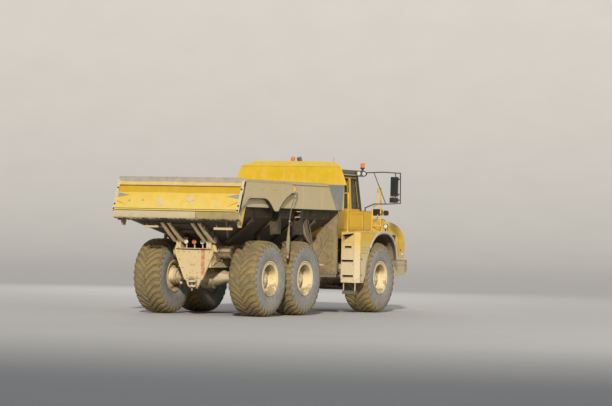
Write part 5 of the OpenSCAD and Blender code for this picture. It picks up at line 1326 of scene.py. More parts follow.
def tail_lights():
    p = Part()
    for y, kind in ((0.225, 0), (0.0, 1), (-0.225, 0)):
        o = (-0.80, y, 1.802); d = (-1, 0, 0)
        p.lathe(o, d, [(-0.02, 0.0), (-0.02, 0.040), (0.0, 0.056), (0.030, 0.063), (0.052, 0.0655), (0.060, 0.063), (0.060, 0.057), (0.052, 0.055)], 0, 32)
        m = 2 if kind else 1
        p.lathe(o, d, [(0.054, 0.0565), (0.060, 0.055), (0.066, 0.043), (0.069, 0.024), (0.070, 0.0)], m, 32)
        # post with its foot, and the cable
        p.box((-0.834, y - 0.014, 1.640), (-0.806, y + 0.014, 1.752), 3, 0.004)
        p.box((-0.845, y - 0.032, 1.638), (-0.790, y + 0.032, 1.652), 3, 0.003)
        p.bolt((-0.835, y - 0.020, 1.652), (0, 0, 1), 0.006, 0.006, 4); p.bolt((-0.800, y + 0.020, 1.652), (0, 0, 1), 0.006, 0.006, 4)
        p.tube(fillet([(-0.785, y, 1.800), (-0.760, y, 1.780), (-0.765, y + 0.02, 1.700), (-0.770, y + 0.03, 1.640)], 0.02), 0.005, 5, 6)
        if not kind:  # amber turn lamp on top of the white one
            p.box((-0.850, y - 0.052, 1.866), (-0.800, y + 0.052, 1.912), 0, 0.006)
            p.box((-0.862, y - 0.047, 1.870), (-0.849, y + 0.047, 1.908), 2, 0.004)
    return p


tail_lights().build("tail_lamps_glazed", [M_BLACK, M_CLEAR, M_AMBER, M_FRAME, M_NUT, M_RUB], "rear_frame", ["tail_lamps"], smooth=34, slot="lamp_lens")


def axle_details(x, front=False):
    p = Part()
    z = 0.935
    b = 0.27 if front else 0.30
    # bolted joint of the bowl, cover with bolts, drain plug, breather
    for sg in (-1, 1):
        p.lathe((x, sg * 0.145, z), (0, sg, 0), [(-0.012, b * 0.80), (-0.012, b * 0.93), (0.010, b * 0.93), (0.014, b * 0.88)], 0, 40)
        for i in range(16):
            a = 2 * math.pi * i / 16
            p.bolt((x + b * 0.885 * math.cos(a), sg * 0.158, z + b * 0.885 * math.sin(a)), (0, sg, 0), 0.010, 0.010, 1)
        # hub carrier flange and brake calliper
        p.lathe((x, sg * 0.80, z), (0, sg, 0), [(0.0, 0.13), (0.010, 0.182), (0.030, 0.186), (0.036, 0.180), (0.036, 0.13)], 0, 36)
        for i in range(12):
            a = 2 * math.pi * (i + 0.5) / 12
            p.bolt((x + 0.160 * math.cos(a), sg * 0.802, z + 0.160 * math.sin(a)), (0, -sg, 0), 0.010, 0.010, 1)
        p.box((x - 0.10, sg * 0.72, z - 0.20), (x + 0.10, sg * 0.80, z - 0.13), 0, 0.012)
        # torque rod to the frame
        p.tube([(x, sg * 0.30, z + 0.20), (x + 0.10, sg * 0.30, z + 0.26)], 0.04, 0, 12)
    for sx in ((-1, 1) if not front else (-1,)):
        p.lathe((x + sx * (b - 0.03), 0, z), (sx, 0, 0), [(-0.03, 0.165), (0.010, 0.150), (0.030, 0.120), (0.045, 0.085), (0.048, 0.0)], 0, 36)
        for i in range(8):
            a = 2 * math.pi * i / 8
            p.bolt((x + sx * (b - 0.010), 0.128 * math.cos(a), z + 0.128 * math.sin(a)), (sx, 0, 0), 0.009, 0.009, 1)
    p.bolt((x + 0.05, 0.02, z - b + 0.012), (0, 0, -1), 0.018, 0.014, 1)
    p.rod((x - 0.08, 0.10, z + b - 0.04), (x - 0.08, 0.10, z + b + 0.02), 0.010, 1, 10)
    # mud packed on top of the tube
    n = 36
    vs, fs = [], []
    for i in range(n + 1):
        y = -0.74 + 1.48 * i / n
        r = 0.132 if abs(y) > 0.5 else 0.132 + (b - 0.162) * (0.5 - abs(y)) / 0.44 if abs(y) > 0.06 else b - 0.03
        e = min(1, i / 3, (n - i) / 3)
        for j in range(7):
            a = math.radians(40 + 100 * j / 6)
            q = r + (0.012 + 0.016 * max(0, hill(y * 5 + x, j * 0.9 + x))) * e * math.sin((j / 6) * math.pi)
            vs.append((x + q * math.cos(a), y, z + q * math.sin(a)))
    for i in range(n):
        for j in range(6): fs.append([i * 7 + j, (i + 1) * 7 + j, (i + 1) * 7 + j + 1, i * 7 + j + 1])
    p.add(vs, fs, 2)
    return p


q = Part()
q.merge(axle_details(0.0)).merge(axle_details(1.94))
q.build("bogie_axle_fittings", [M_AXLE, M_NUT, M_MUDC], "rear_frame", smooth=35, slot="frame_paint")
axle_details(6.458, True).build("front_axle_fittings", [M_AXLE, M_NUT, M_MUDC], "front_frame", smooth=35, slot="frame_paint")


def shaft_details():
    p = Part()
    for a, b in (((0.302, 0, 0.935), (1.638, 0, 0.935)), ((2.245, 0, 0.935), (4.370, 0, 1.060))):
        d = vnorm(vsub(b, a)); u, w = basis(d)
        for o, s in ((a, 1), (b, -1)):
            dd = vmul(d, s)
            p.lathe(o, dd, [(0.0, 0.050), (0.0, 0.088), (0.016, 0.088), (0.020, 0.060), (0.070, 0.058), (0.085, 0.064), (0.130, 0.064), (0.150, 0.052)], 0, 24)
            for i in range(8):
                g = 2 * math.pi * i / 8
                p.bolt(vadd(vadd(o, vmul(dd, 0.016)), vadd(vmul(u, 0.075 * math.cos(g)), vmul(w, 0.075 * math.sin(g)))), dd, 0.007, 0.008, 1)
            c = vadd(o, vmul(dd, 0.108))
            p.rod(vadd(c, vmul(u, -0.078)), vadd(c, vmul(u, 0.078)), 0.022, 1, 14)
            p.rod(vadd(c, vmul(w, -0.078)), vadd(c, vmul(w, 0.078)), 0.022, 1, 14)
        m = lerp(a, b, 0.62)
        p.lathe(m, d, [(0, 0.050), (0.01, 0.057), (0.16, 0.057), (0.17, 0.050)], 2, 24)
    return p


shaft_details().build("driveshaft_joints", [M_AXLE, M_NUT, M_RUB], "rear_frame", smooth=32, slot="frame_paint")


def cyl_frame(a, b, y):
    """Axis unit vector of a cylinder in the side view."""
    d = vnorm((b[0] - a[0], 0, b[1] - a[1]))
    return (a[0], y, a[1]), d


def hoist_trim(sg):
    """Gland, bands, hose and mud of the hoist cylinder; and the rod's eye."""
    o, d = cyl_frame((2.9, 1.0), (0.9, 1.7), sg * 0.8)
    u, w = basis(d)
    p = Part(); r = Part()
    def at(s): return vadd(o, vmul(d, s))
    p.lathe(o, d, [(0.086, 0.070), (0.088, 0.0775), (0.120, 0.0775), (0.126, 0.0725)], 0, 32)
    p.lathe(o, d, [(1.800, 0.0725), (1.806, 0.081), (1.868, 0.081), (1.880, 0.072), (1.882, 0.050), (1.888, 0.050), (1.888, 0.0455)], 0, 36)
    for i in range(8):
        g = 2 * math.pi * i / 8
        p.bolt(vadd(at(1.880), vadd(vmul(u, 0.063 * math.cos(g)), vmul(w, 0.063 * math.sin(g)))), d, 0.006, 0.006, 1)
    for s in (0.55, 1.25): p.lathe(o, d, [(s, 0.0722), (s, 0.0765), (s + 0.035, 0.0765), (s + 0.035, 0.0722)], 0, 32)
    up = w if w[2] > 0 else vmul(w, -1)
    side = (0, -sg, 0)
    pts = [vadd(at(0.16), vmul(side, 0.072)), vadd(at(0.16), vmul(side, 0.10)), vadd(at(0.40), vmul(side, 0.098)), vadd(at(1.70), vmul(side, 0.098)), vadd(at(1.78), vmul(side, 0.096)), vadd(at(1.80), vmul(side, 0.072))]
    p.tube(fillet(pts, 0.03), 0.012, 2, 8)
    for s in (0.60, 1.28): p.obox(vadd(at(s), vadd(vmul(side, 0.074), vmul(up, -0.016))), vmul(d, 0.025), vmul(side, 0.040), vmul(up, 0.032), 1, 0.003)
    p.lathe(vadd(o, (0, -0.041, 0)), (0, 1, 0), [(-0.001, 0.050), (-0.004, 0.070), (0.0, 0.0755), (0.082, 0.0755), (0.086, 0.070), (0.083, 0.050)], 0, 36)
    L = math.hypot(2.0, 0.7)
    r.lathe(vadd(at(L), (0, -0.041, 0)), (0, 1, 0), [(-0.001, 0.040), (-0.004, 0.070), (0.0, 0.0755), (0.082, 0.0755), (0.086, 0.070), (0.083, 0.040)], 0, 36)
    r.lathe(at(L), d, [(-0.130, 0.0452), (-0.124, 0.054), (-0.085, 0.056), (-0.070, 0.052)], 0, 28)
    r.bolt(vadd(at(L - 0.10), vmul(up, 0.054)), up, 0.006, 0.008, 1)
    return p, r


for sg, sn in ((1, "left"), (-1, "right")):
    a_, b_ = hoist_trim(sg)
    a_.build(f"hoist_gland_{sn}", [M_FRAME, M_NUT, M_RUB], f"hoist_barrel_{sn}", smooth=34, slot="frame_paint")
    b_.build(f"hoist_eye_{sn}", [M_GREY, M_NUT], f"hoist_rod_{sn}", smooth=34, slot="bare_steel")


def steer_trim(sg):
    a = (6.15, sg * 0.5, 1.03); b = (5.11, sg * 0.3, 1.03)
    d = vnorm(vsub(b, a)); L = vlen(vsub(b, a)); u = (0, 0, 1); w = vcross(d, u)
    p = Part(); r = Part()
    def at(s): return vadd(a, vmul(d, s))
    p.lathe(a, d, [(0.060, 0.0435), (0.064, 0.0475), (0.095, 0.0475), (0.100, 0.0445)], 0, 28)
    p.lathe(a, d, [(0.690, 0.0445), (0.694, 0.050), (0.736, 0.050), (0.742, 0.044), (0.743, 0.028), (0.747, 0.0245)], 0, 28)
    side = vmul(w, 1 if vdot(w, (0, sg, 0)) > 0 else -1)
    p.tube(fillet([vadd(at(0.14), vmul(side, 0.043)), vadd(at(0.14), vmul(side, 0.066)), vadd(at(0.66), vmul(side, 0.066)), vadd(at(0.665), vmul(side, 0.043))], 0.02), 0.008, 2, 8)
    p.lathe(vadd(a, (0, 0, -0.036)), (0, 0, 1), [(0, 0.030), (-0.002, 0.044), (0.002, 0.0485), (0.070, 0.0485), (0.074, 0.044), (0.072, 0.030)], 0, 28)
    r.lathe(vadd(at(L), (0, 0, -0.035)), (0, 0, 1), [(0, 0.030), (-0.002, 0.044), (0.002, 0.0485), (0.068, 0.0485), (0.072, 0.044), (0.070, 0.030)], 0, 28)
    r.lathe(at(L), d, [(-0.085, 0.0242), (-0.080, 0.031), (-0.052, 0.033), (-0.044, 0.030)], 0, 20)
    return p, r


for sg, sn in ((1, "left"), (-1, "right")):
    a_, b_ = steer_trim(sg)
    a_.build(f"steer_gland_{sn}", [M_FRAME, M_NUT, M_RUB], f"steer_barrel_{sn}", smooth=34, slot="frame_paint")
    b_.build(f"steer_eye_{sn}", [M_GREY, M_NUT], f"steer_rod_{sn}", smooth=34, slot="bare_steel")


def hitch_trim():
    p = Part()
    for i in range(16):
        g = 2 * math.pi * i / 16
        p.bolt((4.962, 0.212 * math.cos(g), 1.09 + 0.212 * math.sin(g)), (1, 0, 0), 0.010, 0.010, 1)
    p.lathe((5.170, 0, 0.880), (0, 0, 1), [(0, 0.151), (0.004, 0.158), (0.030, 0.158), (0.034, 0.151)], 0, 36)
    p.lathe((5.170, 0, 1.236), (0, 0, 1), [(0, 0.151), (0.004, 0.158), (0.030, 0.158), (0.034, 0.151)], 0, 36)
    for sg in (-1, 1):
        p.box((4.97, sg * 0.168, 1.12), (5.10, sg * 0.182, 1.22), 0, 0.004)
        for x in (4.99, 5.08): p.bolt((x, sg * 0.182, 1.17), (0, sg, 0), 0.010, 0.009, 1)
        for z in (0.956, 1.066): p.lathe((5.11, sg * 0.30, z), (0, 0, 1), [(0, 0.030), (0, 0.050), (0.004, 0.052), (0.038, 0.052), (0.040, 0.050), (0.040, 0.030)], 0, 24)
    return p


hitch_trim().build("hitch_flanges", [M_FRAME, M_NUT], "hitch", smooth=32, slot="frame_paint")


def joint_hoses():
    """Hoses that cross the articulation above the yoke."""
    p = Part()
    for i, y in enumerate((-0.11, -0.055, 0.0, 0.055, 0.11)):
        p.tube(fillet([(4.90, y * 0.9, 1.335 + 0.01 * (i % 2)), (5.02, y, 1.385), (5.18, y * 1.1, 1.425 + 0.008 * i), (5.36, y, 1.395), (5.60, y * 0.9, 1.385)], 0.10, 8), 0.015, 0, 10)
        for x in (4.93, 5.53): p.rod((x, y * 0.93, 1.352 if x < 5 else 1.388), (x + 0.05, y * 0.96, 1.368 if x < 5 else 1.388), 0.019, 1, 10)
    return p


ob = joint_hoses().build("articulation_hoses", [M_RUB, M_GREY], None, smooth=40, slot="guard_rubber")
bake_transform(ob)


# ------------------------------------------------------------------ front unit
def hood_trim():
    p = Part()
    # side grilles: frame, slats and the dark mesh behind
    g = [(8.140, 1.560), (8.780, 1.560), (8.840, 2.060), (8.200, 2.060)]
    for sg in (-1, 1):
        def yy(z): return 1.030 if z <= 1.88 else 1.030 - (z - 1.88) * 0.182
        # frame round the opening, following the side
        rim = inset(g, -0.018)
        vs = []
        for (x, z), (xi, zi) in zip(rim, inset(g, 0.016)):
            vs += [(x, sg * (yy(z) + 0.001), z), (x, sg * (yy(z) + 0.010), z), (xi, sg * (yy(zi) + 0.010), zi), (xi, sg * (yy(zi) - 0.030), zi)]
        fs = [[i * 4 + k, ((i + 1) % 4) * 4 + k, ((i + 1) % 4) * 4 + k + 1, i * 4 + k + 1] for i in range(4) for k in range(3)]
        p.add(vs, fs, 1)
        # backing sheet and diagonal wires
        q = inset(g, 0.004)
        p.add([(x, sg * (yy(z) - 0.034), z) for x, z in q] + [(x, sg * (yy(z) - 0.038), z) for x, z in q],
              [[0, 1, 2, 3], [7, 6, 5, 4]] + [[i, (i + 1) % 4, 4 + (i + 1) % 4, 4 + i] for i in range(4)], 2)
        def clip(z): return (8.140 + (z - 1.56) * 0.12, 8.780 + (z - 1.56) * 0.12)
        for k in range(-16, 34):
            for s in (-1, 1):
                # lines of slope s across the opening
                pts = []
                x0 = 8.14 + k * 0.034
                z = 1.562
                while z < 2.058:
                    x = x0 + s * (z - 1.56) * 1.0 + (0.5 if s < 0 else 0)
                    a, b = clip(z)
                    if a + 0.004 < x < b - 0.004: pts.append((x, sg * (yy(z) - 0.028), z))
                    z += 0.031
                if len(pts) > 1: p.tube([pts[0], pts[-1]] if pts[-1][2] <= 1.88 or pts[0][2] >= 1.88 else [pts[0], pts[len(pts) // 2], pts[-1]], 0.0032, 1, 4)
        # panel seams and the two turn latches of the side
        p.tube([(7.92, sg * 1.0315, 1.47), (7.92, sg * 1.0315, 1.87), (7.92, sg * 0.992, 2.098)], 0.004, 1, 6)
        p.tube([(9.02, sg * 1.0315, 1.47), (9.02, sg * 1.0315, 1.87), (9.02, sg * 0.992, 2.098)], 0.004, 1, 6)
        for x, z in ((7.80, 1.60), (9.14, 1.66)):
            p.lathe((x, sg * 1.029, z), (0, sg, 0), [(0, 0.034), (0.006, 0.034), (0.008, 0.028), (0.008, 0.0)], 1, 20)
            p.box((x - 0.022, sg * 1.036, z - 0.005), (x + 0.022, sg * 1.046, z + 0.005), 3, 0.002)
        # folded lower edge
        p.tube([(7.60, sg * 1.030, 1.452), (9.36, sg * 1.030, 1.452)], 0.009, 0, 8)
        # small lamp at the front corner, its bracket and lens
        p.box((9.20, sg * 0.985, 1.50), (9.34, sg * 1.034, 1.60), 1, 0.008)
        p.box((9.21, sg * 1.030, 1.51), (9.33, sg * 1.046, 1.59), 4, 0.006)
        # fold lines of the top
        p.tube([(7.60, sg * 0.560, 2.602), (9.05, sg * 0.560, 2.424)], 0.006, 0, 6)
    # front grille: frame, slats and mesh
    n = 13
    for k in range(n):
        z = 1.625 + k * (2.035 - 1.625) / (n - 1)
        w = 0.80 - (z - 1.60) * 0.087
        x = 9.43 - (z - 1.70) * 0.0417
        p.obox((x - 0.040, -w, z), (0.038, 0, -0.010), (0, 2 * w, 0), (0.003, 0, 0.012), 1, 0.002)
    p.obox((9.340, -0.80, 1.600), (0.006, 0, 0), (0, 1.60, 0), (0, 0, 0.46), 2, 0.001)
    for y in (-0.40, 0.0, 0.40): p.obox((9.372, y - 0.014, 1.605), (0.028, 0, 0), (0, 0.028, 0), (-0.015, 0, 0.45), 1, 0.003)
    fr = [(-0.800, 1.600), (0.800, 1.600), (0.760, 2.060), (-0.760, 2.060)]
    o = inset(fr, -0.022)
    vs = []
    for (y, z), (yi, zi) in zip(o, inset(fr, 0.010)):
        xo = 9.43 - (z - 1.70) * 0.0417; xi = 9.43 - (zi - 1.70) * 0.0417
        vs += [(xo - 0.002, y, z), (xo + 0.010, y, z), (xi + 0.010, yi, zi), (xi - 0.04, yi, zi)]
    p.add(vs, [[i * 4 + k, ((i + 1) % 4) * 4 + k, ((i + 1) % 4) * 4 + k + 1, i * 4 + k + 1] for i in range(4) for k in range(3)], 1)
    # matt strip over the hood's top, its air slots and the lifting handle
    p.obox((7.70, -0.34, 2.590), (1.30, 0, -0.161), (0, 0.68, 0), (0.0006, 0, 0.005), 5, 0.002)
    for k in range(9):
        x = 7.86 + k * 0.055
        p.obox((x, -0.24, 2.5965 - (x - 7.65) * 0.1241 + 0.0015), (0.018, 0, -0.002), (0, 0.48, 0), (0, 0, 0.004), 1, 0.001)
    for sg in (-1, 1):
        p.tube(fillet([(8.95, sg * 0.62, 2.415), (8.96, sg * 0.62, 2.475), (8.70, sg * 0.62, 2.505), (8.69, sg * 0.62, 2.45)], 0.03), 0.010, 6, 8)
    # windscreen washer cap, lock
    p.lathe((7.76, 0.72, 2.485), (0, 0.6, 0.8), [(0, 0.045), (0.012, 0.045), (0.018, 0.038), (0.020, 0.0)], 1, 20)
    p.box((9.385, -0.05, 2.10), (9.410, 0.05, 2.15), 1, 0.006)
    return p


hood_trim().build("hood_grilles_and_seams", [M_YEL, M_BLACK, M_GRILLE, M_NUT, M_CLEAR, M_OLIVE, M_BLACK], "hood", smooth=32, slot="black_plastic")


def front_mirrors():
    p = Part()
    # black housings with their faces, over the hood's right corner
    for y0, y1, z0, z1 in ((-0.450, -0.170, 2.600, 2.780), (-0.640, -0.500, 2.610, 2.740)):
        o = fillet2([(y0, z0), (y1, z0), (y1, z1), (y0, z1)], 0.03, 3)
        p.prism(o, "x", 9.124, 9.182, 0, 0.012)
        q = inset(o, 0.016)
        p.prism(q, "x", 9.118, 9.126, 1, 0.002)
        p.tube([(9.122, y, z) for y, z in o + o[:1]], 0.006, 0, 6)
    p.tube(fillet([(9.100, -0.330, 2.395), (9.100, -0.330, 2.600), (9.150, -0.330, 2.650)], 0.04), 0.0145, 2, 10)
    p.tube([(9.155, -0.505, 2.680), (9.155, -0.445, 2.680)], 0.0125, 2, 10)
    p.lathe((9.100, -0.330, 2.402), (0, 0, 1), [(-0.02, 0.055), (0.006, 0.055), (0.014, 0.040), (0.040, 0.018)], 2, 20)
    for i in range(4):
        a = math.pi / 2 * i + 0.7
        p.bolt((9.100 + 0.042 * math.cos(a), -0.330 + 0.042 * math.sin(a), 2.410), (0, 0, 1), 0.006, 0.006, 3)
    p.box((9.135, -0.36, 2.62), (9.19, -0.30, 2.68), 2, 0.008)
    return p


front_mirrors().build("hood_mirrors", [M_BLACK, M_MIRROR, M_BLACK, M_NUT], "hood", smooth=34, slot="black_plastic")


def fender_trim():
    """Made for the left side."""
    p = Part()
    arch = [(7.488, 1.420), (7.460, 1.580), (7.400, 1.740), (7.230, 1.960), (6.950, 2.120), (6.550, 2.150), (6.150, 2.080), (5.880, 1.890), (5.760, 1.700)]
    dense = fillet2([(9.9, 0)] + arch + [(4.0, 0)], [0, 0] + [0.16] * (len(arch) - 2) + [0, 0], 4)[1:-1]
    # worn grey lip round the opening, black rubber flare behind it
    strip_along(p, dense, 1.640, 1.697, 0.012, 0, lift=-0.037)
    n = len(dense)
    def out(i, d):
        x, z = dense[i]
        l = math.hypot(x - 6.458, z - 0.935)
        return x + (x - 6.458) / l * d, z + (z - 0.935) / l * d
    vs = []
    for i in range(n):
        for d, y in ((0.034, 1.692), (0.022, 1.702), (-0.006, 1.706), (-0.028, 1.702), (-0.030, 1.690), (-0.004, 1.690)):
            x, z = out(i, d)
            vs.append((x, y, z))
    fs = [[i * 6 + k, i * 6 + (k + 1) % 6, (i + 1) * 6 + (k + 1) % 6, (i + 1) * 6 + k] for i in range(n - 1) for k in range(6)]
    fs += [list(range(6))[::-1], [(n - 1) * 6 + k for k in range(6)]]
    p.add(vs, fs, 0)
    vs = []
    for i in range(n):
        for d, y in ((-0.026, 1.60), (-0.026, 1.690), (-0.060, 1.686), (-0.064, 1.680), (-0.040, 1.60)):
            x, z = out(i, d)
            vs.append((x, y, z))
    fs = [[i * 5 + k, i * 5 + (k + 1) % 5, (i + 1) * 5 + (k + 1) % 5, (i + 1) * 5 + k] for i in range(n - 1) for k in range(5)]
    fs += [list(range(5))[::-1], [(n - 1) * 5 + k for k in range(5)]]
    p.add(vs, fs, 1)
    # bolts of the flare
    for i in range(2, n - 1, 4):
        x, z = out(i, 0.004)
        p.bolt((x, 1.704, z), (0, 1, 0), 0.009, 0.008, 2)
    # packed mud under the arch, thick and rough
    cols = 12
    vs = []
    for i in range(n):
        for j in range(cols + 1):
            y = 0.935 + 0.66 * j / cols
            e = min(1, i / 2, (n - 1 - i) / 2) * min(1, j / 1.0, (cols - j) / 1.0)
            d = -0.004 - (0.012 + 0.012 * hill(dense[i][0] * 3.1, y * 4) + 0.007 * hill(i * 0.9, j * 1.7)) * e
            x, z = out(i, min(-0.001, d))
            vs.append((x, y, z))
    fs = [[i * (cols + 1) + j, (i + 1) * (cols + 1) + j, (i + 1) * (cols + 1) + j + 1, i * (cols + 1) + j + 1] for i in range(n - 1) for j in range(cols)]
    p.add(vs, fs, 3)
    # tread plate on the fender's top: raised bars
    for i in range(4, n - 6):
        x, z = out(i, 0.033); x2, z2 = out(i + 1, 0.033)
        for j in range(9):
            y = 1.06 + j * 0.068
            t = 0.35 if j % 2 else 0.65
            cx, cz = x + (x2 - x) * t, z + (z2 - z) * t
            if cz > 2.07: p.obox((cx - 0.016, y, cz), (0.032, 0.014 if j % 2 else -0.014, 0), (0, 0.008, 0), (0, 0, 0.003), 4, 0.001)
    # handle on the top and its feet
    for q in [fillet([(6.62, 1.60, 2.175), (6.62, 1.60, 2.26), (6.95, 1.60, 2.24), (6.95, 1.60, 2.15)], 0.03)]:
        p.tube(q, 0.012, 4, 8)
    # flap that hangs behind the wheel
    p.box((5.742, 0.96, 1.30), (5.754, 1.62, 1.70), 1, 0.003)
    return p


both(fender_trim).build("fender_lips_and_flares", [M_LIP, M_RUB, M_NUT, M_MUDC, M_YEL], "front_frame", smooth=34, slot="yellow_paint", recalc=False)


def side_box_trim():
    """Made for the left side."""
    p = Part()
    # treads of the four steps: serrated plates in the slots
    for z, y0, y1 in ((0.945, 1.235, 1.545), (1.345, 1.205, 1.545), (1.710, 1.290, 1.485)):
        p.box((5.022, y0, z - 0.002), (5.156, y1, z + 0.006), 0, 0.001)
        for k in range(11):
            y = y0 + 0.012 + (y1 - y0 - 0.024) * k / 10
            p.obox((5.028, y - 0.003, z + 0.006), (0.12, 0, 0), (0, 0.006, 0), (0, 0, 0.008), 0, 0.001)
        # near-black inside, painted shade in the slot, and a rolled edge round the slot
        p.box((5.150, y0, z + 0.004), (5.1585, y1, z + 0.048), 1, 0.001)
        o = [(y0 - 0.004, z - 0.004), (y1 + 0.004, z - 0.004), (y1 + 0.004, z + 0.054), (y0 - 0.004, z + 0.054)]
        p.tube([(5.028, y, zz) for y, zz in o + o[:1]], 0.005, 2, 6)
    # hanging step: frame, tread and its straps, black with dust
    p.box((5.036, 1.236, 0.496), (5.174, 1.594, 0.584), 3, 0.006)
    for k in range(11):
        y = 1.256 + 0.314 * k / 10
        p.obox((5.046, y - 0.004, 0.583), (0.118, 0, 0), (0, 0.008, 0), (0, 0, 0.009), 3, 0.001)
    for y in (1.244, 1.572):
        p.box((5.082, y, 0.555), (5.108, y + 0.014, 0.815), 4, 0.003)
        p.bolt((5.095, y + 0.014, 0.780), (0, 1, 0), 0.010, 0.008, 5)
        p.bolt((5.095, y + 0.014, 0.590), (0, 1, 0), 0.010, 0.008, 5)
    # seams: lid of the outer side, hinge line and rear edge
    b = 1.6815
    sd = [(5.19, 0.84), (5.37, 0.84), (5.475, 0.99), (5.53, 1.29), (5.66, 1.58), (5.19, 1.58)]
    p.tube([(x, b, z) for x, z in sd + sd[:1]], 0.004, 1, 6)
    for z in (1.66, 1.735): p.tube([(5.18, b, z), (5.70, b, z)], 0.004, 2, 6)
    for z in (1.00, 1.42):
        p.lathe((5.25, b, z), (0, 1, 0), [(0, 0.026), (0.005, 0.026), (0.007, 0.020), (0.007, 0.0)], 1, 18)
        p.box((5.235, b + 0.004, z - 0.005), (5.265, b + 0.014, z + 0.005), 5, 0.002)
    # worn edge from the box up into the fender's lip
    e = [(5.362, 0.800), (5.492, 1.000), (5.503, 1.100), (5.553, 1.300), (5.704, 1.622), (5.760, 1.700)]
    strip_along(p, e[::-1], 1.640, 1.690, 0.012, 2, lift=-0.004)
    # platform: tread plate with raised bars, upturned edge
    for i in range(15):
        for j in range(7):
            x = 5.09 + i * 0.066; y = 1.235 + j * 0.066
            if x > 5.99 or x < 5.2: continue
            p.obox((x, y, 2.1295), (0.028, 0.014 if (i + j) % 2 else -0.014, 0), (0, 0.007, 0), (0, 0, 0.0035), 0, 0.001)
    p.tube([(5.036, 1.195, 2.1225), (5.036, 1.553, 2.1225), (5.172, 1.678, 2.1225), (6.10, 1.678, 2.1225)], 0.0085, 2, 8)
    # rear face: seams, two grab slots and the small lamp by the fender
    p.tube([(5.027, 1.20, 1.860), (5.027, 1.55, 1.860)], 0.004, 2, 6)
    p.tube([(5.027, 1.575, 0.82), (5.027, 1.575, 2.10)], 0.005, 2, 6)
    for y, z in ((1.22, 0.88), (1.53, 0.88), (1.22, 1.80), (1.53, 1.80), (1.22, 1.28), (1.53, 1.28)): p.bolt((5.029, y, z), (-1, 0, 0), 0.009, 0.008, 5)
    # inside of the three-cornered opening, near-black as painted shade
    p.prism([(1.225, 1.890), (1.532, 2.074), (1.532, 2.088), (1.225, 2.045)], "x", 5.128, 5.137, 1, 0.001)
    o = [(1.211, 1.873), (1.546, 2.072), (1.546, 2.099), (1.211, 2.055)]
    p.tube([(5.027, y, z) for y, z in o + o[:1]], 0.006, 2, 6)
    # round lamp on its dark foot above the arch, facing back
    c = (6.95, 1.58, 2.30)
    p.lathe(c, (-1, 0, 0), [(-0.050, 0.0), (-0.050, 0.040), (-0.030, 0.062), (0.020, 0.068), (0.028, 0.066), (0.028, 0.058), (0.018, 0.056)], 3, 28)
    p.lathe(c, (-1, 0, 0), [(0.018, 0.057), (0.026, 0.052), (0.032, 0.030), (0.034, 0.0)], 6, 28)
    p.box((6.955, 1.545, 2.145), (6.995, 1.615, 2.245), 3, 0.006)
    p.box((6.93, 1.53, 2.140), (7.02, 1.63, 2.156), 3, 0.004)
    return p


both(side_box_trim).build("side_box_steps", [M_STEP, M_DARK, M_LIP, M_BLACK, M_FRAME, M_NUT, M_CLEAR], "front_frame", smooth=32, slot="bare_steel")


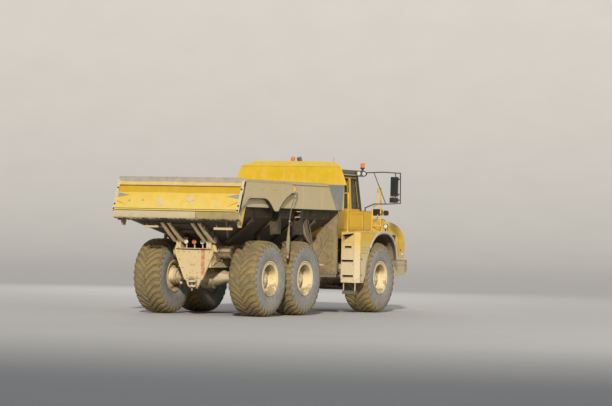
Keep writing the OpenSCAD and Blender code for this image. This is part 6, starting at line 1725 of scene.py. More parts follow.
def bumper_trim():
    p = Part()
    out = [(9.560, 0.0), (9.560, 0.780), (9.450, 1.000), (9.240, 1.180), (8.800, 1.330), (7.480, 1.500)]
    low = lambda x: 0.930 + (x - 7.48) * 0.0704 if x <= 8.9 else 1.030 + (x - 8.9) * 0.1493
    for sg in (-1, 1):
        # rolled upper and lower edges
        up = [(x + 0.004, sg * y, 1.386) for x, y in out]
        p.tube(up, 0.011, 0, 8)
        dn = [(x + 0.003, sg * y, low(x) + 0.004) for x, y in out]
        p.tube(dn, 0.010, 0, 8)
        # worn strip along the skirt, its bolts and the seam between the corner and the skirt
        for (x0, y0), (x1, y1), n in (((9.24, 1.18), (8.80, 1.33), 3), ((8.80, 1.33), (7.48, 1.50), 8)):
            d = (x1 - x0, y1 - y0); l = math.hypot(*d); nx, ny = -d[1] / l, d[0] / l
            if ny < 0: nx, ny = -nx, -ny
            a = (x0 + nx * 0.001, sg * (y0 + ny * 0.001), 1.255)
            p.obox(a, (d[0], sg * d[1], -0.03), (nx * 0.006, sg * ny * 0.006, 0), (0, 0, 0.055), 1, 0.002)
            for k in range(n):
                t = (k + 0.5) / n
                p.bolt((x0 + d[0] * t + nx * 0.006, sg * (y0 + d[1] * t + ny * 0.006), 1.282 - 0.03 * t), (nx, sg * ny, 0), 0.011, 0.009, 2)
        p.tube([(9.242, sg * 1.183, low(9.24) + 0.01), (9.242, sg * 1.183, 1.38)], 0.005, 3, 6)
        p.tube([(8.803, sg * 1.333, low(8.8) + 0.01), (8.803, sg * 1.333, 1.38)], 0.005, 3, 6)
        # headlamp: bezel, glass, reflector ring and the guard bars over it
        c = (9.562, sg * 0.620, 1.257)
        p.lathe(c, (1, 0, 0), [(-0.002, 0.112), (0.010, 0.112), (0.018, 0.106), (0.020, 0.094), (0.012, 0.090)], 3, 40)
        p.lathe(c, (1, 0, 0), [(0.008, 0.092), (0.016, 0.084), (0.021, 0.060), (0.024, 0.030), (0.025, 0.0)], 4, 40)
        for dz in (-0.045, 0.0, 0.045): p.tube(fillet([(9.560, sg * 0.500, 1.257 + dz), (9.592, sg * 0.510, 1.257 + dz), (9.592, sg * 0.730, 1.257 + dz), (9.560, sg * 0.740, 1.257 + dz)], 0.02, 3), 0.005, 3, 6)
        # corner marker lamp
        p.obox((9.470, sg * 0.972, 1.230), (-0.075, sg * 0.068, 0), (0.014, sg * 0.014, 0), (0, 0, 0.055), 5, 0.004)
        # deck: tread bars
        for i in range(18):
            x = 7.60 + i * 0.088
            yo = 1.470 - (x - 7.48) * 0.129 - 0.02
            y = 1.11
            while y < yo - 0.03:
                p.obox((x, sg * y, 1.3845), (0.030, 0.012 * (1 if i % 2 else -1), 0), (0, sg * 0.007, 0), (0, 0, 0.0035), 3, 0.001)
                y += 0.075
        # recovery lug: rounded cheek
        for y in (0.248, 0.292): p.lathe((9.430, sg * y, 0.940), (0, 1, 0), [(-0.003, 0.030), (-0.003, 0.048), (0.003, 0.048), (0.003, 0.030)], 1, 28)
        p.box((9.30, sg * 0.20, 1.05), (9.545, sg * 0.40, 1.062), 0, 0.004)
    # front: centre plate left blank, with its bolts
    p.box((9.560, -0.26, 1.17), (9.570, 0.26, 1.33), 0, 0.004)
    for y in (-0.22, 0.22):
        for z in (1.19, 1.31): p.bolt((9.570, y, z), (1, 0, 0), 0.010, 0.009, 2)
    return p


bumper_trim().build("bumper_edges_and_lamps", [M_BUMP, M_LIP, M_NUT, M_BLACK, M_CLEAR, M_AMBER], "front_frame", smooth=32, slot="bumper_steel")


def engine_trim():
    p = Part()
    # block: rocker covers, manifold, filters, belts, fan
    p.box((7.80, -0.20, 2.045), (8.80, 0.20, 2.130), 0, 0.030)
    for i in range(6):
        x = 7.88 + i * 0.155
        p.box((x, -0.17, 2.115), (x + 0.10, 0.17, 2.160), 0, 0.018)
        p.bolt((x + 0.05, 0.10, 2.160), (0, 0, 1), 0.010, 0.008, 1); p.bolt((x + 0.05, -0.10, 2.160), (0, 0, 1), 0.010, 0.008, 1)
        p.tube(fillet([(x + 0.05, -0.375, 1.86), (x + 0.05, -0.44, 1.88), (x + 0.05, -0.46, 1.78)], 0.03), 0.034, 3, 12)
    p.tube([(7.84, -0.47, 1.76), (8.80, -0.47, 1.76)], 0.055, 3, 18)
    p.lathe((8.30, -0.56, 1.62), (1, 0, 0), [(-0.11, 0.0), (-0.11, 0.07), (-0.06, 0.12), (0.0, 0.125), (0.04, 0.09), (0.08, 0.10), (0.14, 0.06), (0.14, 0.0)], 3, 28)
    for y, z in ((0.46, 1.72), (0.46, 1.52)): p.lathe((8.10, y, z), (1, 0, 0), [(0, 0.0), (0, 0.060), (0.02, 0.070), (0.24, 0.070), (0.26, 0.060), (0.26, 0.0)], 2, 24)
    p.lathe((8.855, 0, 1.78), (1, 0, 0), [(0, 0.10), (0.03, 0.10), (0.035, 0.05), (0.05, 0.05), (0.05, 0.0)], 1, 24)
    for i in range(8):
        a = 2 * math.pi * i / 8
        u = (0, math.cos(a), math.sin(a)); w = (0.35, -math.sin(a), math.cos(a))
        o = vadd((8.900, 0, 1.70), vmul(u, 0.06))
        p.obox(o, vmul(u, 0.25), vmul(vnorm(w), 0.09), vmul(vcross(u, vnorm(w)), 0.005), 2, 0.001)
    p.lathe((8.880, 0, 1.70), (1, 0, 0), [(0, 0.0), (0, 0.07), (0.05, 0.07), (0.06, 0.04), (0.06, 0.0)], 1, 20)
    # radiator: core fins, tanks, hoses
    for i in range(46):
        y = -0.66 + i * 1.32 / 45
        p.box((9.149, y - 0.004, 1.44), (9.156, y + 0.004, 2.04), 2, 0.001)
        p.box((8.954, y - 0.004, 1.44), (8.961, y + 0.004, 2.04), 2, 0.001)
    p.box((8.95, -0.70, 2.05), (9.16, 0.70, 2.118), 2, 0.02)
    p.tube(fillet([(8.96, 0.50, 1.98), (8.70, 0.50, 1.98), (8.60, 0.36, 1.98)], 0.08), 0.032, 2, 14)
    p.tube(fillet([(8.96, -0.30, 1.42), (8.86, -0.30, 1.40), (8.84, -0.20, 1.40)], 0.04), 0.032, 2, 14)
    # sump and flywheel housing
    p.prism([(7.78, 1.30), (8.82, 1.30), (8.70, 1.16), (8.30, 1.10), (7.90, 1.10), (7.78, 1.20)], "y", -0.22, 0.22, 0, 0.02)
    p.lathe((7.75, 0, 1.62), (-1, 0, 0), [(0, 0.0), (0.0, 0.33), (0.04, 0.33), (0.06, 0.26), (0.14, 0.20), (0.16, 0.0)], 0, 36)
    # wiring and hoses along the side
    p.tube(fillet([(7.85, 0.386, 1.95), (8.30, 0.392, 1.90), (8.80, 0.386, 1.98)], 0.1), 0.014, 2, 8)
    p.tube(fillet([(7.85, 0.386, 1.45), (8.20, 0.392, 1.40), (8.80, 0.386, 1.46)], 0.1), 0.018, 2, 8)
    return p


engine_trim().build("engine_fittings", [M_ENG, M_NUT, M_BLACK, M_EXH], "front_frame", smooth=35, slot="engine_iron")


def front_frame_trim():
    p = Part()
    for sg in (-1, 1):
        p.box((5.71, sg * 0.350, 1.285), (9.24, sg * 0.372, 1.300), 0, 0.003)
        for i in range(15): p.bolt((5.82 + 0.235 * i, sg * 0.351, 1.235), (0, sg, 0), 0.012, 0.010, 1)
        # suspension struts: bellows, caps, top mounts
        p.lathe((6.458, sg * 0.62, 1.10), (0, 0, 1), [(0.0, 0.071), (0.0, 0.082), (0.020, 0.082), (0.026, 0.0715)], 0, 28)
        prof = [(0.200, 0.052)]
        for k in range(8): prof += [(0.210 + k * 0.034, 0.078), (0.226 + k * 0.034, 0.057)]
        prof += [(0.500, 0.062), (0.516, 0.051)]
        p.lathe((6.458, sg * 0.62, 1.10), (0, 0, 1), prof, 2, 28)
        # steering feet: bolts; feet of the cab
        for x in (6.09, 6.20):
            for y in (0.39, 0.52): p.bolt((x, sg * y, 1.105), (0, 0, 1), 0.011, 0.009, 1)
        for x in (5.94, 7.14):
            p.lathe((x, sg * 0.265, 1.945), (0, 0, -1), [(-0.004, 0.060), (0.030, 0.062), (0.040, 0.045), (0.075, 0.045), (0.085, 0.062), (0.11, 0.060)], 2, 24)
        # hoses along the frame
        for k, z in enumerate((1.14, 1.18, 1.215)):
            p.tube(fillet([(5.72, sg * 0.366, z), (6.40, sg * 0.372, z - 0.012), (7.10, sg * 0.372, z + 0.010), (7.80, sg * 0.366, z)], 0.1), 0.010, 2, 8)
    # cover of the articulation pin with bolts, grease nipple
    for z, d in ((1.350, 1), (0.800, -1)):
        p.lathe((5.17, 0, z), (0, 0, d), [(-0.002, 0.150), (0.010, 0.150), (0.014, 0.142), (0.014, 0.080), (0.024, 0.074), (0.024, 0.0)], 0, 40)
        for i in range(10):
            a = 2 * math.pi * i / 10
            p.bolt((5.17 + 0.118 * math.cos(a), 0.118 * math.sin(a), z + d * 0.013), (0, 0, d), 0.010, 0.009, 1)
    # belly plate: bolts, drain holes and scrapes
    for sg in (-1, 1):
        for i in range(7): p.bolt((7.14 + 0.19 * i, sg * 0.30, 0.570), (0, 0, -1), 0.014, 0.008, 1)
    for x in (7.35, 7.95): p.lathe((x, 0.0, 0.571), (0, 0, -1), [(0, 0.09), (0.005, 0.09), (0.007, 0.08), (0.007, 0.0)], 0, 24)
    p.box((7.10, -0.41, 0.562), (7.14, 0.41, 0.571), 0, 0.002); p.box((8.20, -0.41, 0.562), (8.24, 0.41, 0.571), 0, 0.002)
    # transmission housing under the cab
    p.lathe((6.72, 0, 1.25), (1, 0, 0), [(-0.02, 0.0), (-0.02, 0.12), (0.0, 0.20), (0.30, 0.24), (0.62, 0.24), (0.70, 0.29), (0.86, 0.30), (0.90, 0.24), (0.90, 0.0)], 3, 36)
    for i in range(14):
        a = 2 * math.pi * i / 14
        p.bolt((7.425, 0.27 * math.cos(a), 1.25 + 0.27 * math.sin(a)), (-1, 0, 0), 0.010, 0.010, 1)
    for x in (6.86, 7.00, 7.14, 7.28): p.lathe((x, 0, 1.25), (1, 0, 0), [(0, 0.22 + (x - 6.72) * 0.03), (0.0, 0.258), (0.012, 0.258), (0.012, 0.22)], 3, 36)
    return p


front_frame_trim().build("front_frame_fittings", [M_FRAME, M_NUT, M_RUB, M_ENG], "front_frame", smooth=34, slot="frame_paint")


def rails_trim():
    """Feet and clamps of the handrails, left side."""
    p = Part()
    for c, d in (((7.20, 1.05, 2.045), (0, 0, 1)), ((7.745, 1.05, 2.300), (0, 0, 1)), ((5.30, 1.23, 2.131), (0, 0, 1))):
        p.lathe(c, d, [(-0.002, 0.044), (0.006, 0.044), (0.010, 0.040), (0.012, 0.024), (0.024, 0.0205)], 0, 20)
        for i in range(4):
            a = math.pi / 2 * i + 0.78
            p.bolt((c[0] + 0.033 * math.cos(a), c[1] + 0.033 * math.sin(a), c[2] + 0.006), d, 0.005, 0.005, 1)
    for c, d in (((7.20, 1.05, 2.50), (0, 0, 1)), ((7.745, 1.05, 2.80), (0, 0, 1)), ((5.30, 1.23, 2.70), (0, 0, 1))):
        p.lathe(c, d, [(-0.02, 0.0195), (-0.02, 0.026), (0.02, 0.026), (0.02, 0.0195)], 0, 16)
    return p


both(rails_trim).build("handrail_feet", [M_YEL, M_NUT], "front_frame", smooth=34, slot="yellow_paint")


def exhaust_trim():
    p = Part()
    x, y = 5.270, 0.200
    # perforated heat shield round the muffler: upright slats on rings
    for z in (1.62, 2.02, 2.42, 2.82): p.lathe((x, y, z), (0, 0, 1), [(-0.012, 0.112), (-0.012, 0.128), (0.012, 0.128), (0.012, 0.112)], 0, 32)
    for i in range(28):
        a = 2 * math.pi * i / 28
        u = (math.cos(a), math.sin(a), 0); w = (-math.sin(a), math.cos(a), 0)
        p.obox(vadd((x, y, 1.62), vadd(vmul(u, 0.128), vmul(w, -0.0075))), vmul(u, 0.003), vmul(w, 0.015), (0, 0, 1.20), 0, 0.001)
    p.lathe((x, y, 2.995), (0, 0, 1), [(-0.02, 0.112), (0.006, 0.112), (0.030, 0.090), (0.050, 0.068), (0.055, 0.0655)], 1, 32)
    for z in (3.25, 3.62): p.lathe((x, y, z), (0, 0, 1), [(-0.015, 0.0652), (-0.015, 0.073), (0.015, 0.073), (0.015, 0.0652)], 1, 28)
    p.bolt((x, y - 0.073, 3.25), (0, -1, 0), 0.007, 0.012, 2)
    # bracket bolts
    for z in (1.47, 2.73):
        p.bolt((5.33, 0.252, z), (0, 1, 0), 0.010, 0.009, 2)
    return p


exhaust_trim().build("exhaust_shield", [M_EXH, M_EXH, M_NUT], "front_frame", smooth=34, slot="bare_steel")


# ------------------------------------------------------------------ cab
def frame_strip(p, pts, w, face, m, t=0.012):
    """Flat seal round an opening: pts in order, w its width inwards, face(pt, depth) puts a point of the plane in space."""
    q = inset(pts, w)
    n = len(pts)
    vs = []
    for a, b in zip(pts, q): vs += [face(a, 0.0), face(a, t), face(b, t), face(b, -0.004)]
    fs = [[i * 4 + k, ((i + 1) % n) * 4 + k, ((i + 1) % n) * 4 + k + 1, i * 4 + k + 1] for i in range(n) for k in range(3)]
    p.add(vs, fs, m)


def cab_trim():
    p = Part()
    fw = [(6.300, 2.780), (6.745, 2.780), (6.511, 3.540), (6.200, 3.540)]
    rw = [(5.600, 2.780), (6.080, 2.780), (5.990, 3.540), (5.600, 3.540)]
    for sg in (-1, 1):
        def face(a, d, sg=sg): return (a[0], sg * (0.870 + d), a[1])
        frame_strip(p, inset(fw, -0.028), 0.040, face, 1, 0.010)
        if sg < 0: frame_strip(p, inset(rw, -0.026), 0.038, face, 1, 0.010)
        # black front pillar, with the windscreen's side seal
        pil = [(6.775, 2.700), (6.905, 2.700), (6.618, 3.636), (6.520, 3.636)]
        p.prism(pil, "y", sg * 0.868, sg * 0.878, 1, 0.003)
        # rain gutter and roof seam
        p.tube([(5.40, sg * 0.892, 3.650), (7.05, sg * 0.892, 3.650)], 0.012, 2, 8)
        p.tube([(5.39, sg * 0.892, 3.702), (7.06, sg * 0.892, 3.702)], 0.005, 1, 6)
        # dark band over the windows, up to the gutter
        p.prism([(5.535, 3.586), (6.560, 3.586), (6.545, 3.636), (5.535, 3.636)], "y", sg * 0.8685, sg * 0.8785, 1, 0.003)
        # seam below the windows and rolled sill
        p.tube([(6.16, sg * 0.873, 2.700), (7.46, sg * 0.873, 2.700)], 0.006, 0, 6)
        p.tube([(5.52, sg * 0.873, 2.190), (7.47, sg * 0.873, 2.190)], 0.005, 1, 6)
        p.tube([(7.05, sg * 0.873, 2.20), (7.05, sg * 0.873, 2.68)], 0.004, 1, 6)
        # pressed panel of the lower side
        o = fillet2([(6.22, 2.26), (6.98, 2.26), (6.98, 2.62), (6.22, 2.62)], 0.05, 3)
        p.tube([(x, sg * 0.872, z) for x, z in o + o[:1]], 0.006, 0, 6)
        for x, z in ((6.17, 2.24), (6.17, 2.66), (7.42, 2.24), (7.42, 2.66)): p.bolt((x, sg * 0.871, z), (0, sg, 0), 0.009, 0.008, 3)
        # rear pillar, black, from the sill to the roof
        p.prism([(5.505, 2.66), (5.532, 2.66), (5.532, 3.636), (5.505, 3.636)], "y", sg * 0.869, sg * 0.879, 1, 0.003)
    # back: black frame round the window, corner posts, hoses' plate
    o = [(-0.620, 2.850), (0.620, 2.850), (0.620, 3.480), (-0.620, 3.480)]
    frame_strip(p, inset(o, -0.060), 0.074, lambda a, d: (5.450 - d, a[0], a[1]), 1, 0.010)
    for sg in (-1, 1): p.box((5.440, sg * 0.700, 2.20), (5.451, sg * 0.872, 3.635), 1, 0.003)
    p.box((5.441, -0.70, 2.66), (5.451, 0.70, 2.78), 2, 0.003)
    for i in range(6): p.box((5.441, -0.50, 2.26 + 0.055 * i), (5.450, 0.20, 2.285 + 0.055 * i), 1, 0.002)
    for y in (-0.62, 0.62):
        for z in (2.25, 2.60): p.bolt((5.449, y, z), (-1, 0, 0), 0.011, 0.009, 3)
    # windscreen: seal, wiper with its arm, cowl line and air slots
    def wsf(a, d):
        y, z = a
        x = 6.912 - (z - 2.700) * 0.30851
        return (x + d * 0.955, y, z + d * 0.295)
    frame_strip(p, [(-0.838, 2.738), (0.838, 2.738), (0.838, 3.585), (-0.838, 3.585)], 0.062, wsf, 1, 0.010)
    def ws(y, z, d=0.014): return wsf((y, z), d)
    p.tube([ws(0.10, 2.75, 0.030), ws(0.32, 3.05, 0.038), ws(0.30, 3.28, 0.030)], 0.008, 1, 8)
    p.obox(ws(0.285, 2.92, 0.004), (0, 0.018, 0.002), vsub(ws(0.30, 3.46, 0.004), ws(0.285, 2.92, 0.004)), (0.016, 0, 0.005), 1, 0.002)
    p.lathe(ws(0.10, 2.735, 0.01), (0.955, 0, 0.295), [(0, 0.0), (0.0, 0.028), (0.03, 0.024), (0.036, 0.0)], 1, 18)
    p.box((6.90, -0.80, 2.696), (7.05, 0.80, 2.706), 1, 0.003)
    for k in range(16): p.obox((7.14, -0.72 + k * 0.092, 2.684), (0.18, 0, -0.013), (0, 0.030, 0), (0, 0, 0.004), 1, 0.001)
    p.obox((7.06, -0.84, 2.690), (0.06, 0, -0.004), (0, 1.68, 0), (0, 0, 0.010), 1, 0.003)
    # roof: olive skin with dark visor, ribs, hatch, antenna foot
    p.box((5.46, -0.83, 3.778), (7.02, 0.83, 3.786), 4, 0.004)
    for y in (-0.60, -0.20, 0.20, 0.60): p.box((5.60, y - 0.045, 3.785), (6.90, y + 0.045, 3.797), 4, 0.006)
    p.prism([(7.060, 3.632), (7.092, 3.640), (7.100, 3.700), (7.070, 3.760), (7.052, 3.760)], "y", -0.86, 0.86, 1, 0.004)
    p.box((6.62, -0.85, 3.628), (7.06, 0.85, 3.642), 1, 0.004)
    p.lathe((5.62, -0.62, 3.785), (0, 0, 1), [(0, 0.0), (0, 0.035), (0.020, 0.030), (0.045, 0.012), (0.050, 0.0)], 1, 18)
    p.tube([(5.62, -0.62, 3.83), (5.62, -0.62, 4.10)], 0.0035, 1, 6)
    p.lathe((5.62, -0.62, 4.10), (0, 0, 1), [(0, 0.0), (0, 0.006), (0.006, 0.006), (0.010, 0.0)], 1, 8)
    # inside: roof lining, rear lining, floor mat
    p.box((5.56, -0.80, 3.622), (6.60, 0.80, 3.634), 5, 0.004)
    p.box((5.52, -0.79, 2.155), (5.535, 0.79, 2.80), 5, 0.004)
    p.box((5.60, -0.78, 2.151), (6.72, 0.78, 2.158), 6, 0.002)
    for k in range(9): p.box((6.24 + k * 0.05, -0.60, 2.157), (6.265 + k * 0.05, 0.60, 2.162), 6, 0.001)
    return p


cab_trim().build("cab_seals_and_seams", [M_CAB, M_BLACK, M_LIP, M_NUT, M_OLIVE, M_LINER, M_RUB], "front_frame", smooth=34, slot="black_plastic")


def door_trim():
    p = Part()
    # outer skin: pressed panel, window seal, glass frame, handle, hinges' bolts
    def face(a, d): return (a[0], 0.870 + d, a[1])
    o = fillet2([(5.60, 2.255), (6.06, 2.255), (6.06, 2.70), (5.60, 2.70)], 0.05, 3)
    p.tube([(x, 0.8715, z) for x, z in o + o[:1]], 0.006, 0, 6)
    frame_strip(p, [(5.582, 2.758), (6.078, 2.758), (6.078, 3.532), (5.582, 3.532)], 0.034, face, 1, 0.009)
    e = [(5.538, 2.194), (6.122, 2.194), (6.122, 3.576), (5.538, 3.576)]
    p.tube([(x, 0.871, z) for x, z in e + e[:1]], 0.0045, 1, 6)
    p.obox((6.010, 0.8695, 2.585), (0.100, 0, 0), (0, 0.006, 0), (0, 0, 0.060), 1, 0.003)
    p.tube(fillet([(6.030, 0.872, 2.600), (6.030, 0.902, 2.600), (6.100, 0.902, 2.600), (6.100, 0.872, 2.600)], 0.012, 3), 0.0065, 1, 8)
    p.lathe((6.065, 0.869, 2.56), (0, 1, 0), [(0, 0.013), (0.006, 0.013), (0.007, 0.0)], 3, 16)
    for z in (2.40, 3.40):
        for dx in (0.035, 0.075): p.bolt((5.545 + dx, 0.871, z), (0, 1, 0), 0.008, 0.007, 3)
    # inner side: lining, pull, pocket
    p.box((5.58, 0.800, 2.24), (6.08, 0.811, 2.70), 2, 0.004)
    p.tube(fillet([(5.80, 0.804, 2.60), (5.80, 0.770, 2.60), (6.02, 0.770, 2.64), (6.02, 0.804, 2.64)], 0.02, 3), 0.009, 1, 8)
    p.box((5.64, 0.770, 2.27), (5.98, 0.802, 2.41), 1, 0.010)
    return p


door_trim().build("door_seals_and_handle", [M_CAB, M_BLACK, M_LINER, M_NUT], "cab_door", smooth=34, slot="black_plastic")


def mirror_trim():
    """Made for the left side."""
    p = Part()
    for z0, z1, y0, y1 in ((3.110, 3.640, 1.520, 1.730), (2.945, 3.085, 1.500, 1.730)):
        o = fillet2([(y0 + 0.004, z0 + 0.004), (y1 - 0.004, z0 + 0.004), (y1 - 0.004, z1 - 0.004), (y0 + 0.004, z1 - 0.004)], 0.025, 3)
        p.prism(o, "x", 7.319, 7.3235, 0, 0.001)
        p.prism(inset(o, 0.012), "x", 7.3165, 7.3195, 1, 0.0005)
        p.tube([(7.320, y, z) for y, z in o + o[:1]], 0.0055, 0, 6)
        # domed back
        q = inset(o, 0.020)
        p.prism(q, "x", 7.371, 7.380, 0, 0.006)
        for z in (z0 + 0.06, z1 - 0.06):
            p.lathe((7.335, 1.755, z), (0, 0, 1), [(-0.02, 0.0), (-0.02, 0.020), (0.02, 0.020), (0.02, 0.0)], 0, 14)
            p.tube([(7.336, 1.725, z), (7.336, 1.79, z)], 0.008, 0, 8)
    # marker lamp between the two heads
    p.lathe((7.300, 1.60, 3.098), (-1, 0, 0), [(-0.03, 0.0), (-0.03, 0.018), (0.0, 0.018), (0.008, 0.012), (0.010, 0.0)], 2, 16)
    # arm's brackets on the roof and on the cowl
    p.box((7.020, 0.862, 3.690), (7.056, 0.898, 3.752), 0, 0.005)
    for z in (2.72, 2.79): p.lathe((7.172, 0.850, z), (0, 0, 1), [(-0.012, 0.0155), (-0.012, 0.024), (0.012, 0.024), (0.012, 0.0155)], 0, 16)
    return p


both(mirror_trim).build("mirror_faces", [M_BLACK, M_MIRROR, M_AMBER], "front_frame", smooth=34, slot="black_plastic")


def lights_on_roof():
    """Work lights and beacons; stands in for the plain lamps."""
    p = Part()
    for sg in (-1, 1):
        for x in (6.440, 6.760):
            c = (x, sg * 1.000, 3.700)
            p.lathe(c, (-1, 0, 0), [(-0.060, 0.0), (-0.060, 0.030), (-0.040, 0.055), (0.010, 0.069), (0.046, 0.0695), (0.052, 0.066), (0.052, 0.060), (0.040, 0.058)], 0, 36)
            p.lathe(c, (-1, 0, 0), [(0.038, 0.060), (0.043, 0.050), (0.047, 0.030), (0.049, 0.0)], 1, 36)
            for k in range(5): p.lathe((x + 0.045 - 0.010 * k, sg * 1.0, 3.7), (1, 0, 0), [(-0.002, 0.046 + k * 0.003), (-0.002, 0.054 + k * 0.003), (0.002, 0.054 + k * 0.003), (0.002, 0.046 + k * 0.003)], 0, 24)
            p.box((x - 0.012, sg * 0.888, 3.690), (x + 0.012, sg * 0.940, 3.710), 0, 0.003)
            p.bolt((x, sg * 0.925, 3.711), (0, 0, 1), 0.007, 0.006, 3)
    for bx, by, z0, z1 in ((6.990, -0.830, 3.780, 3.840), (5.450, 0.500, 3.780, 3.940)):
        p.lathe((bx, by, z0), (0, 0, 1), [(0.0, 0.0), (0.0, 0.050), (0.010, 0.050), (0.018, 0.030)] + [(z1 - z0 - 0.010, 0.028), (z1 - z0, 0.055)], 0, 24)
        h = 0.175
        p.lathe((bx, by, z1), (0, 0, 1), [(0.0, 0.0), (0.0, 0.060), (0.030, 0.062), (0.036, 0.058), (0.040, 0.052)], 0, 36)
        p.lathe((bx, by, z1), (0, 0, 1), [(0.036, 0.058)] + [(0.040 + (h - 0.040) * k / 6, 0.0575 - 0.0035 * (k / 6)) for k in range(5)] + [(h - 0.018, 0.050), (h - 0.006, 0.040), (h - 0.001, 0.022), (h, 0.0)], 2, 36)
        for k in range(6): p.lathe((bx, by, z1 + 0.055 + 0.016 * k), (0, 0, 1), [(-0.002, 0.0560), (0.0, 0.0590), (0.002, 0.0560)], 2, 36)
    return p


lights_on_roof().build("roof_lamps", [M_BLACK, M_PALE, M_AMBER, M_NUT], "front_frame", replaces=["roof_lights"], smooth=34, slot="lamp_lens")


def pad(p, path, wid, thick, m, nu=40, dents=(), seam=0.006):
    """Upholstered pad: path of centre points (x, z) with normals worked out, wid half width, thick half thickness."""
    n = len(path) - 1
    tan = []
    for i in range(n + 1):
        a = path[max(0, i - 1)]; b = path[min(n, i + 1)]
        l = math.hypot(b[0] - a[0], b[1] - a[1])
        tan.append(((b[0] - a[0]) / l, (b[1] - a[1]) / l))
    vs = []
    for i in range(n + 1):
        t = i / n
        e = math.sqrt(max(0.0, 1 - (2 * t - 1) ** 6))
        w = wid * (0.90 + 0.10 * e); th = thick * (0.35 + 0.65 * e)
        for k in range(nu):
            a = 2 * math.pi * k / nu
            c, s = math.cos(a), math.sin(a)
            y = w * math.copysign(abs(c) ** 0.34, c)
            d = th * math.copysign(abs(s) ** 0.55, s)
            if s > 0:  # bolsters at both sides, stitched grooves between
                u = abs(y) / wid
                d += 0.016 * math.exp(-((u - 0.80) / 0.14) ** 2) - seam * math.exp(-((u - 0.60) / 0.03) ** 2)
                for q in dents: d -= seam * math.exp(-((t - q) / 0.018) ** 2) * (1 if u < 0.6 else 0.2)
                d -= 0.010 * math.exp(-(u / 0.4) ** 2)
            nx, nz = -tan[i][1], tan[i][0]
            vs.append((path[i][0] + nx * d, y, path[i][1] + nz * d))
    fs = [[j * nu + i, j * nu + (i + 1) % nu, (j + 1) * nu + (i + 1) % nu, (j + 1) * nu + i] for j in range(n) for i in range(nu)]
    fs += [list(range(nu))[::-1], [n * nu + i for i in range(nu)]]
    p.add(vs, fs, m)


def seat():
    p = Part()
    # cushion, lying; its top faces up
    path = [lerp((6.318, 2.440), (5.770, 2.452), k / 36) for k in range(37)]
    path = [(x, z - 0.012 * math.sin((x - 5.77) / 0.55 * math.pi)) for x, z in path][::-1]
    pad(p, path, 0.252, 0.052, 0, dents=(0.30, 0.52, 0.74))
    # back, leaning; its face looks ahead (path runs down so that the normal points ahead)
    path = [lerp((5.670, 3.140), (5.786, 2.530), k / 44) for k in range(45)]
    pad(p, path, 0.244, 0.050, 0, dents=(0.16, 0.34, 0.52, 0.70))
    # arm rests
    for sg in (-1, 1):
        q = Part()
        pth = [lerp((5.76, 2.665), (6.09, 2.680), k / 20) for k in range(21)]
        pad(q, pth, 0.028, 0.020, 0, nu=24, seam=0.002)
        p.merge(q, shift=(0, sg * 0.320, 0))
        p.tube(fillet([(5.745, sg * 0.262, 2.64), (5.745, sg * 0.320, 2.64), (5.80, sg * 0.320, 2.65)], 0.02, 3), 0.012, 1, 8)
    # shell behind the back, belts, suspension bellows and base
    p.prism([(5.628, 3.135), (5.640, 3.140), (5.752, 2.530), (5.740, 2.505), (5.728, 2.515)], "y", -0.225, 0.225, 1, 0.006)
    prof = [(0.0, 0.0), (0.0, 0.170)]
    for k in range(5): prof += [(0.030 + k * 0.032, 0.182), (0.046 + k * 0.032, 0.158)]
    prof += [(0.205, 0.170), (0.212, 0.0)]
    p.lathe((6.025, 0, 2.176), (0, 0, 1), prof, 2, 32)
    p.box((5.86, -0.195, 2.152), (6.19, 0.195, 2.178), 1, 0.006)
    p.box((5.80, -0.235, 2.376), (6.29, 0.235, 2.400), 1, 0.006)
    for sg in (-1, 1): p.box((5.90, sg * 0.236, 2.36), (6.20, sg * 0.250, 2.40), 3, 0.003)
    # safety belt
    p.grid(lambda u, v: (5.83 + 0.05 * math.sin(u * 3.1) + 0.03 * v, -0.245 + 0.49 * u, 2.520 + 0.030 * math.sin(u * math.pi)), 24, 2, 2)
    return p


st = seat().build("seat_pads", [M_CLOTH, M_BLACK, M_RUB, M_NUT], "front_frame", replaces=["driver_seat"], smooth=40, slot="seat_fabric", bevel=0)


def controls():
    p = Part()
    # steering wheel: rim wrap, hub, tilted 50 degrees
    c = (6.430, 0.0, 2.808)
    ax = (-math.sin(math.radians(50)), 0, math.cos(math.radians(50)))
    ux = vnorm(vcross(ax, (0, 1, 0)))
    for k in range(18):
        a0 = 2 * math.pi * k / 18
        u = vadd(vmul(ux, math.cos(a0)), vmul((0, 1, 0), math.sin(a0)))
        p.lathe(vadd(c, vmul(u, 0.205)), vcross(ax, u), [(-0.006, 0.0155), (-0.003, 0.0185), (0.003, 0.0185), (0.006, 0.0155)], 0, 14)
    p.lathe(vadd(c, vmul(ax, 0.0)), ax, [(-0.02, 0.0), (-0.02, 0.045), (0.012, 0.052), (0.020, 0.045), (0.023, 0.0)], 0, 24)
    # dials and switches of the dashboard
    for y in (-0.10, 0.0, 0.10):
        p.lathe((6.612, y, 2.632), (-0.70, 0, 0.70), [(-0.01, 0.0), (-0.01, 0.040), (0.006, 0.040), (0.006, 0.034), (0.002, 0.032)], 0, 24)
        p.lathe((6.612, y, 2.632), (-0.70, 0, 0.70), [(0.001, 0.033), (0.003, 0.0)], 1, 24)
    for k in range(8): p.box((6.66, -0.70 + k * 0.06, 2.638), (6.70, -0.66 + k * 0.06, 2.652), 0, 0.003)
    for k in range(6): p.box((6.66, 0.30 + k * 0.06, 2.638), (6.70, 0.34 + k * 0.06, 2.652), 0, 0.003)
    for k in range(10): p.box((6.95, -0.72 + k * 0.152, 2.638), (7.03, -0.64 + k * 0.152, 2.646), 0, 0.002)
    # pedals
    for y in (-0.16, 0.14):
        p.obox((6.64, y - 0.045, 2.17), (0.05, 0, 0.15), (0, 0.09, 0), (-0.012, 0, 0.004), 0, 0.004)
        p.tube([(6.67, y, 2.25), (6.78, y, 2.40)], 0.010, 0, 8)
    return p


controls().build("cab_controls", [M_BLACK, M_PALE], "front_frame", smooth=34, slot="black_plastic")


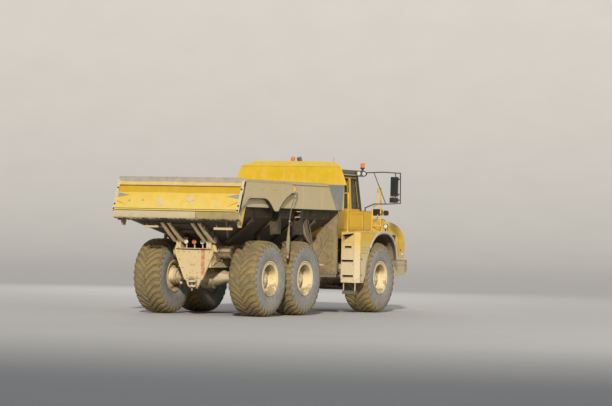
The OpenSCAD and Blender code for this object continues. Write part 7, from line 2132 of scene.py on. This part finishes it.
# ------------------------------------------------------------------ finishes of the frame's own pieces
def dress(names, mat, bevel=0.0, seg=2, limit=35):
    for n in names:
        ob = NODES[n]
        if not ob.material_slots: ob.data.materials.append(mat)
        for sl in ob.material_slots: sl.material = mat
        if bevel: add_bevel(ob, bevel, seg, limit)


done = {
    "yellow": (["fenders", "handrails", "hood"], M_YEL, 0.005),
    "cab": (["cab_floor", "cab_back", "cab_left_side", "cab_right_side", "cab_front", "cab_door"], M_CAB, 0.006),
    "roof": (["cab_roof"], M_ROOF, 0.01),
    "boxes": (["side_boxes"], M_BOX, 0.008),
    "wall": (["body_left_side", "body_right_side", "gate_arms"], M_WALL, 0.004),
    "head": (["headboard"], M_HEAD, 0.005),
    "gate": (["tailgate"], M_GATE, 0.005),
    "floor": (["body_floor"], M_UNDER, 0.004),
    "frame": (["rear_frame", "bogie_beams", "hitch", "front_frame"], M_FRAME, 0.005),
    "axle": (["rear_axle", "middle_axle", "front_axle", "driveshafts"], M_AXLE, 0.004),
    "guard": (["wheel_guards"], M_GUARD, 0.006),
    "bumper": (["bumper"], M_BUMP, 0.008),
    "cyl": (["hoist_barrel_left", "hoist_barrel_right", "steer_barrel_left", "steer_barrel_right"], M_FRAME, 0.003),
    "grey": (["gate_wires", "tail_lamps", "headlamps", "roof_lights"], M_GREY, 0.003),
    "engine": (["engine_block"], M_ENG, 0.01),
    "exhaust": (["exhaust_stack"], M_EXH, 0.004),
    "black": (["driver_seat", "dashboard", "mirrors"], M_BLACK, 0.004),
    "rod": (["hoist_rod_left", "hoist_rod_right", "steer_rod_left", "steer_rod_right"], M_ROD, 0.003),
    "glass": (["cab_glass", "door_glass"], M_GLASS, 0.0),
}
for names, mat, bev in done.values(): dress(names, mat, bev)

# ------------------------------------------------------------------ floor, light and camera
def floor_mat():
    t = Tree("pale_floor")
    f = t.noise(0.35, 4, 0.5)
    g = t.noise(14, 5, 0.6)
    return t.bsdf(t.mix(f, (0.50, 0.485, 0.46), (0.54, 0.525, 0.50)), 0.85, 0.0, t.bump(g, 0.05, 0.002), Specular_IOR_Level=0.2)


# floor that rises far behind the truck in one sweep, so no edge of it is seen
me = bpy.data.meshes.new("floor")
sweep = [(r_, 0.0) for r_ in (4, 12, 30, 60, 90)] + [(90 + 60 * math.sin(math.radians(a)), 60 - 60 * math.cos(math.radians(a))) for a in range(6, 91, 6)]
ring_v = [(0, 0, -0.001)] + [(r_ * math.cos(2 * math.pi * i / 96), r_ * math.sin(2 * math.pi * i / 96), z_ - 0.001) for r_, z_ in sweep for i in range(96)]
ring_f = [(0, i + 1, (i + 1) % 96 + 1) for i in range(96)]
ring_f += [(1 + k * 96 + i, 1 + (k + 1) * 96 + i, 1 + (k + 1) * 96 + (i + 1) % 96, 1 + k * 96 + (i + 1) % 96) for k in range(len(sweep) - 1) for i in range(96)]
me.from_pydata(ring_v, [], ring_f)
me.shade_smooth()
me.materials.append(floor_mat())
floor = bpy.data.objects.new("floor", me)
bpy.context.scene.collection.objects.link(floor)

world = bpy.data.worlds.new("studio")
bpy.context.scene.world = world
world.use_nodes = True
bg = world.node_tree.nodes["Background"]
bg.inputs[0].default_value = (0.80, 0.86, 0.95, 1)
bg.inputs[1].default_value = 0.36

def lamp(name, kind, loc, target, energy, color, **kw):
    li = bpy.data.lights.new(name, kind)
    li.energy = energy; li.color = color
    for k, v in kw.items(): setattr(li, k, v)
    ob = bpy.data.objects.new(name, li)
    ob.location = loc
    ob.rotation_euler = (Vector(target) - Vector(loc)).to_track_quat("-Z", "Y").to_euler()
    bpy.context.scene.collection.objects.link(ob)
    return ob


lamp("key", "SUN", (-12.5, -5.6, 7.6), (0, 0, 1), 3.25, (1.0, 0.945, 0.86), angle=math.radians(3))
lamp("fill", "AREA", (-6, -26, 9), (0, 0, 1.6), 1200, (0.96, 0.98, 1.0), size=14)
lamp("rim", "AREA", (20, 12, 12), (0, 0, 1.5), 900, (1.0, 0.97, 0.93), size=12)

cam_data = bpy.data.cameras.new("camera")
cam = bpy.data.objects.new("camera", cam_data)
bpy.context.scene.collection.objects.link(cam)
bpy.context.scene.camera = cam
cam_data.sensor_width = 36.0
cam_data.lens = 160.73
cam_data.clip_end = 600
# the truck leans a little to its right in the picture, so the view is turned about its length by LEAN
CAM_AT, HEADING, PITCH, LEAN = (-63.615, -32.21, 1.342), 26.32, 1.226, -1.5
h, p_ = math.radians(HEADING), math.radians(PITCH)
fwd = Vector((math.cos(p_) * math.cos(h), math.cos(p_) * math.sin(h), math.sin(p_)))
right = fwd.cross(Vector((0, 0, 1))).normalized()
upv = right.cross(fwd).normalized()
level = Matrix.Translation(Vector(CAM_AT)) @ Matrix((right, upv, -fwd)).transposed().to_4x4()
about = Vector((0, -0.9, 1.4))
cam.matrix_world = Matrix.Translation(about) @ Matrix.Rotation(math.radians(LEAN), 4, "X") @ Matrix.Translation(-about) @ level
bpy.context.scene.view_settings.view_transform = "Standard"
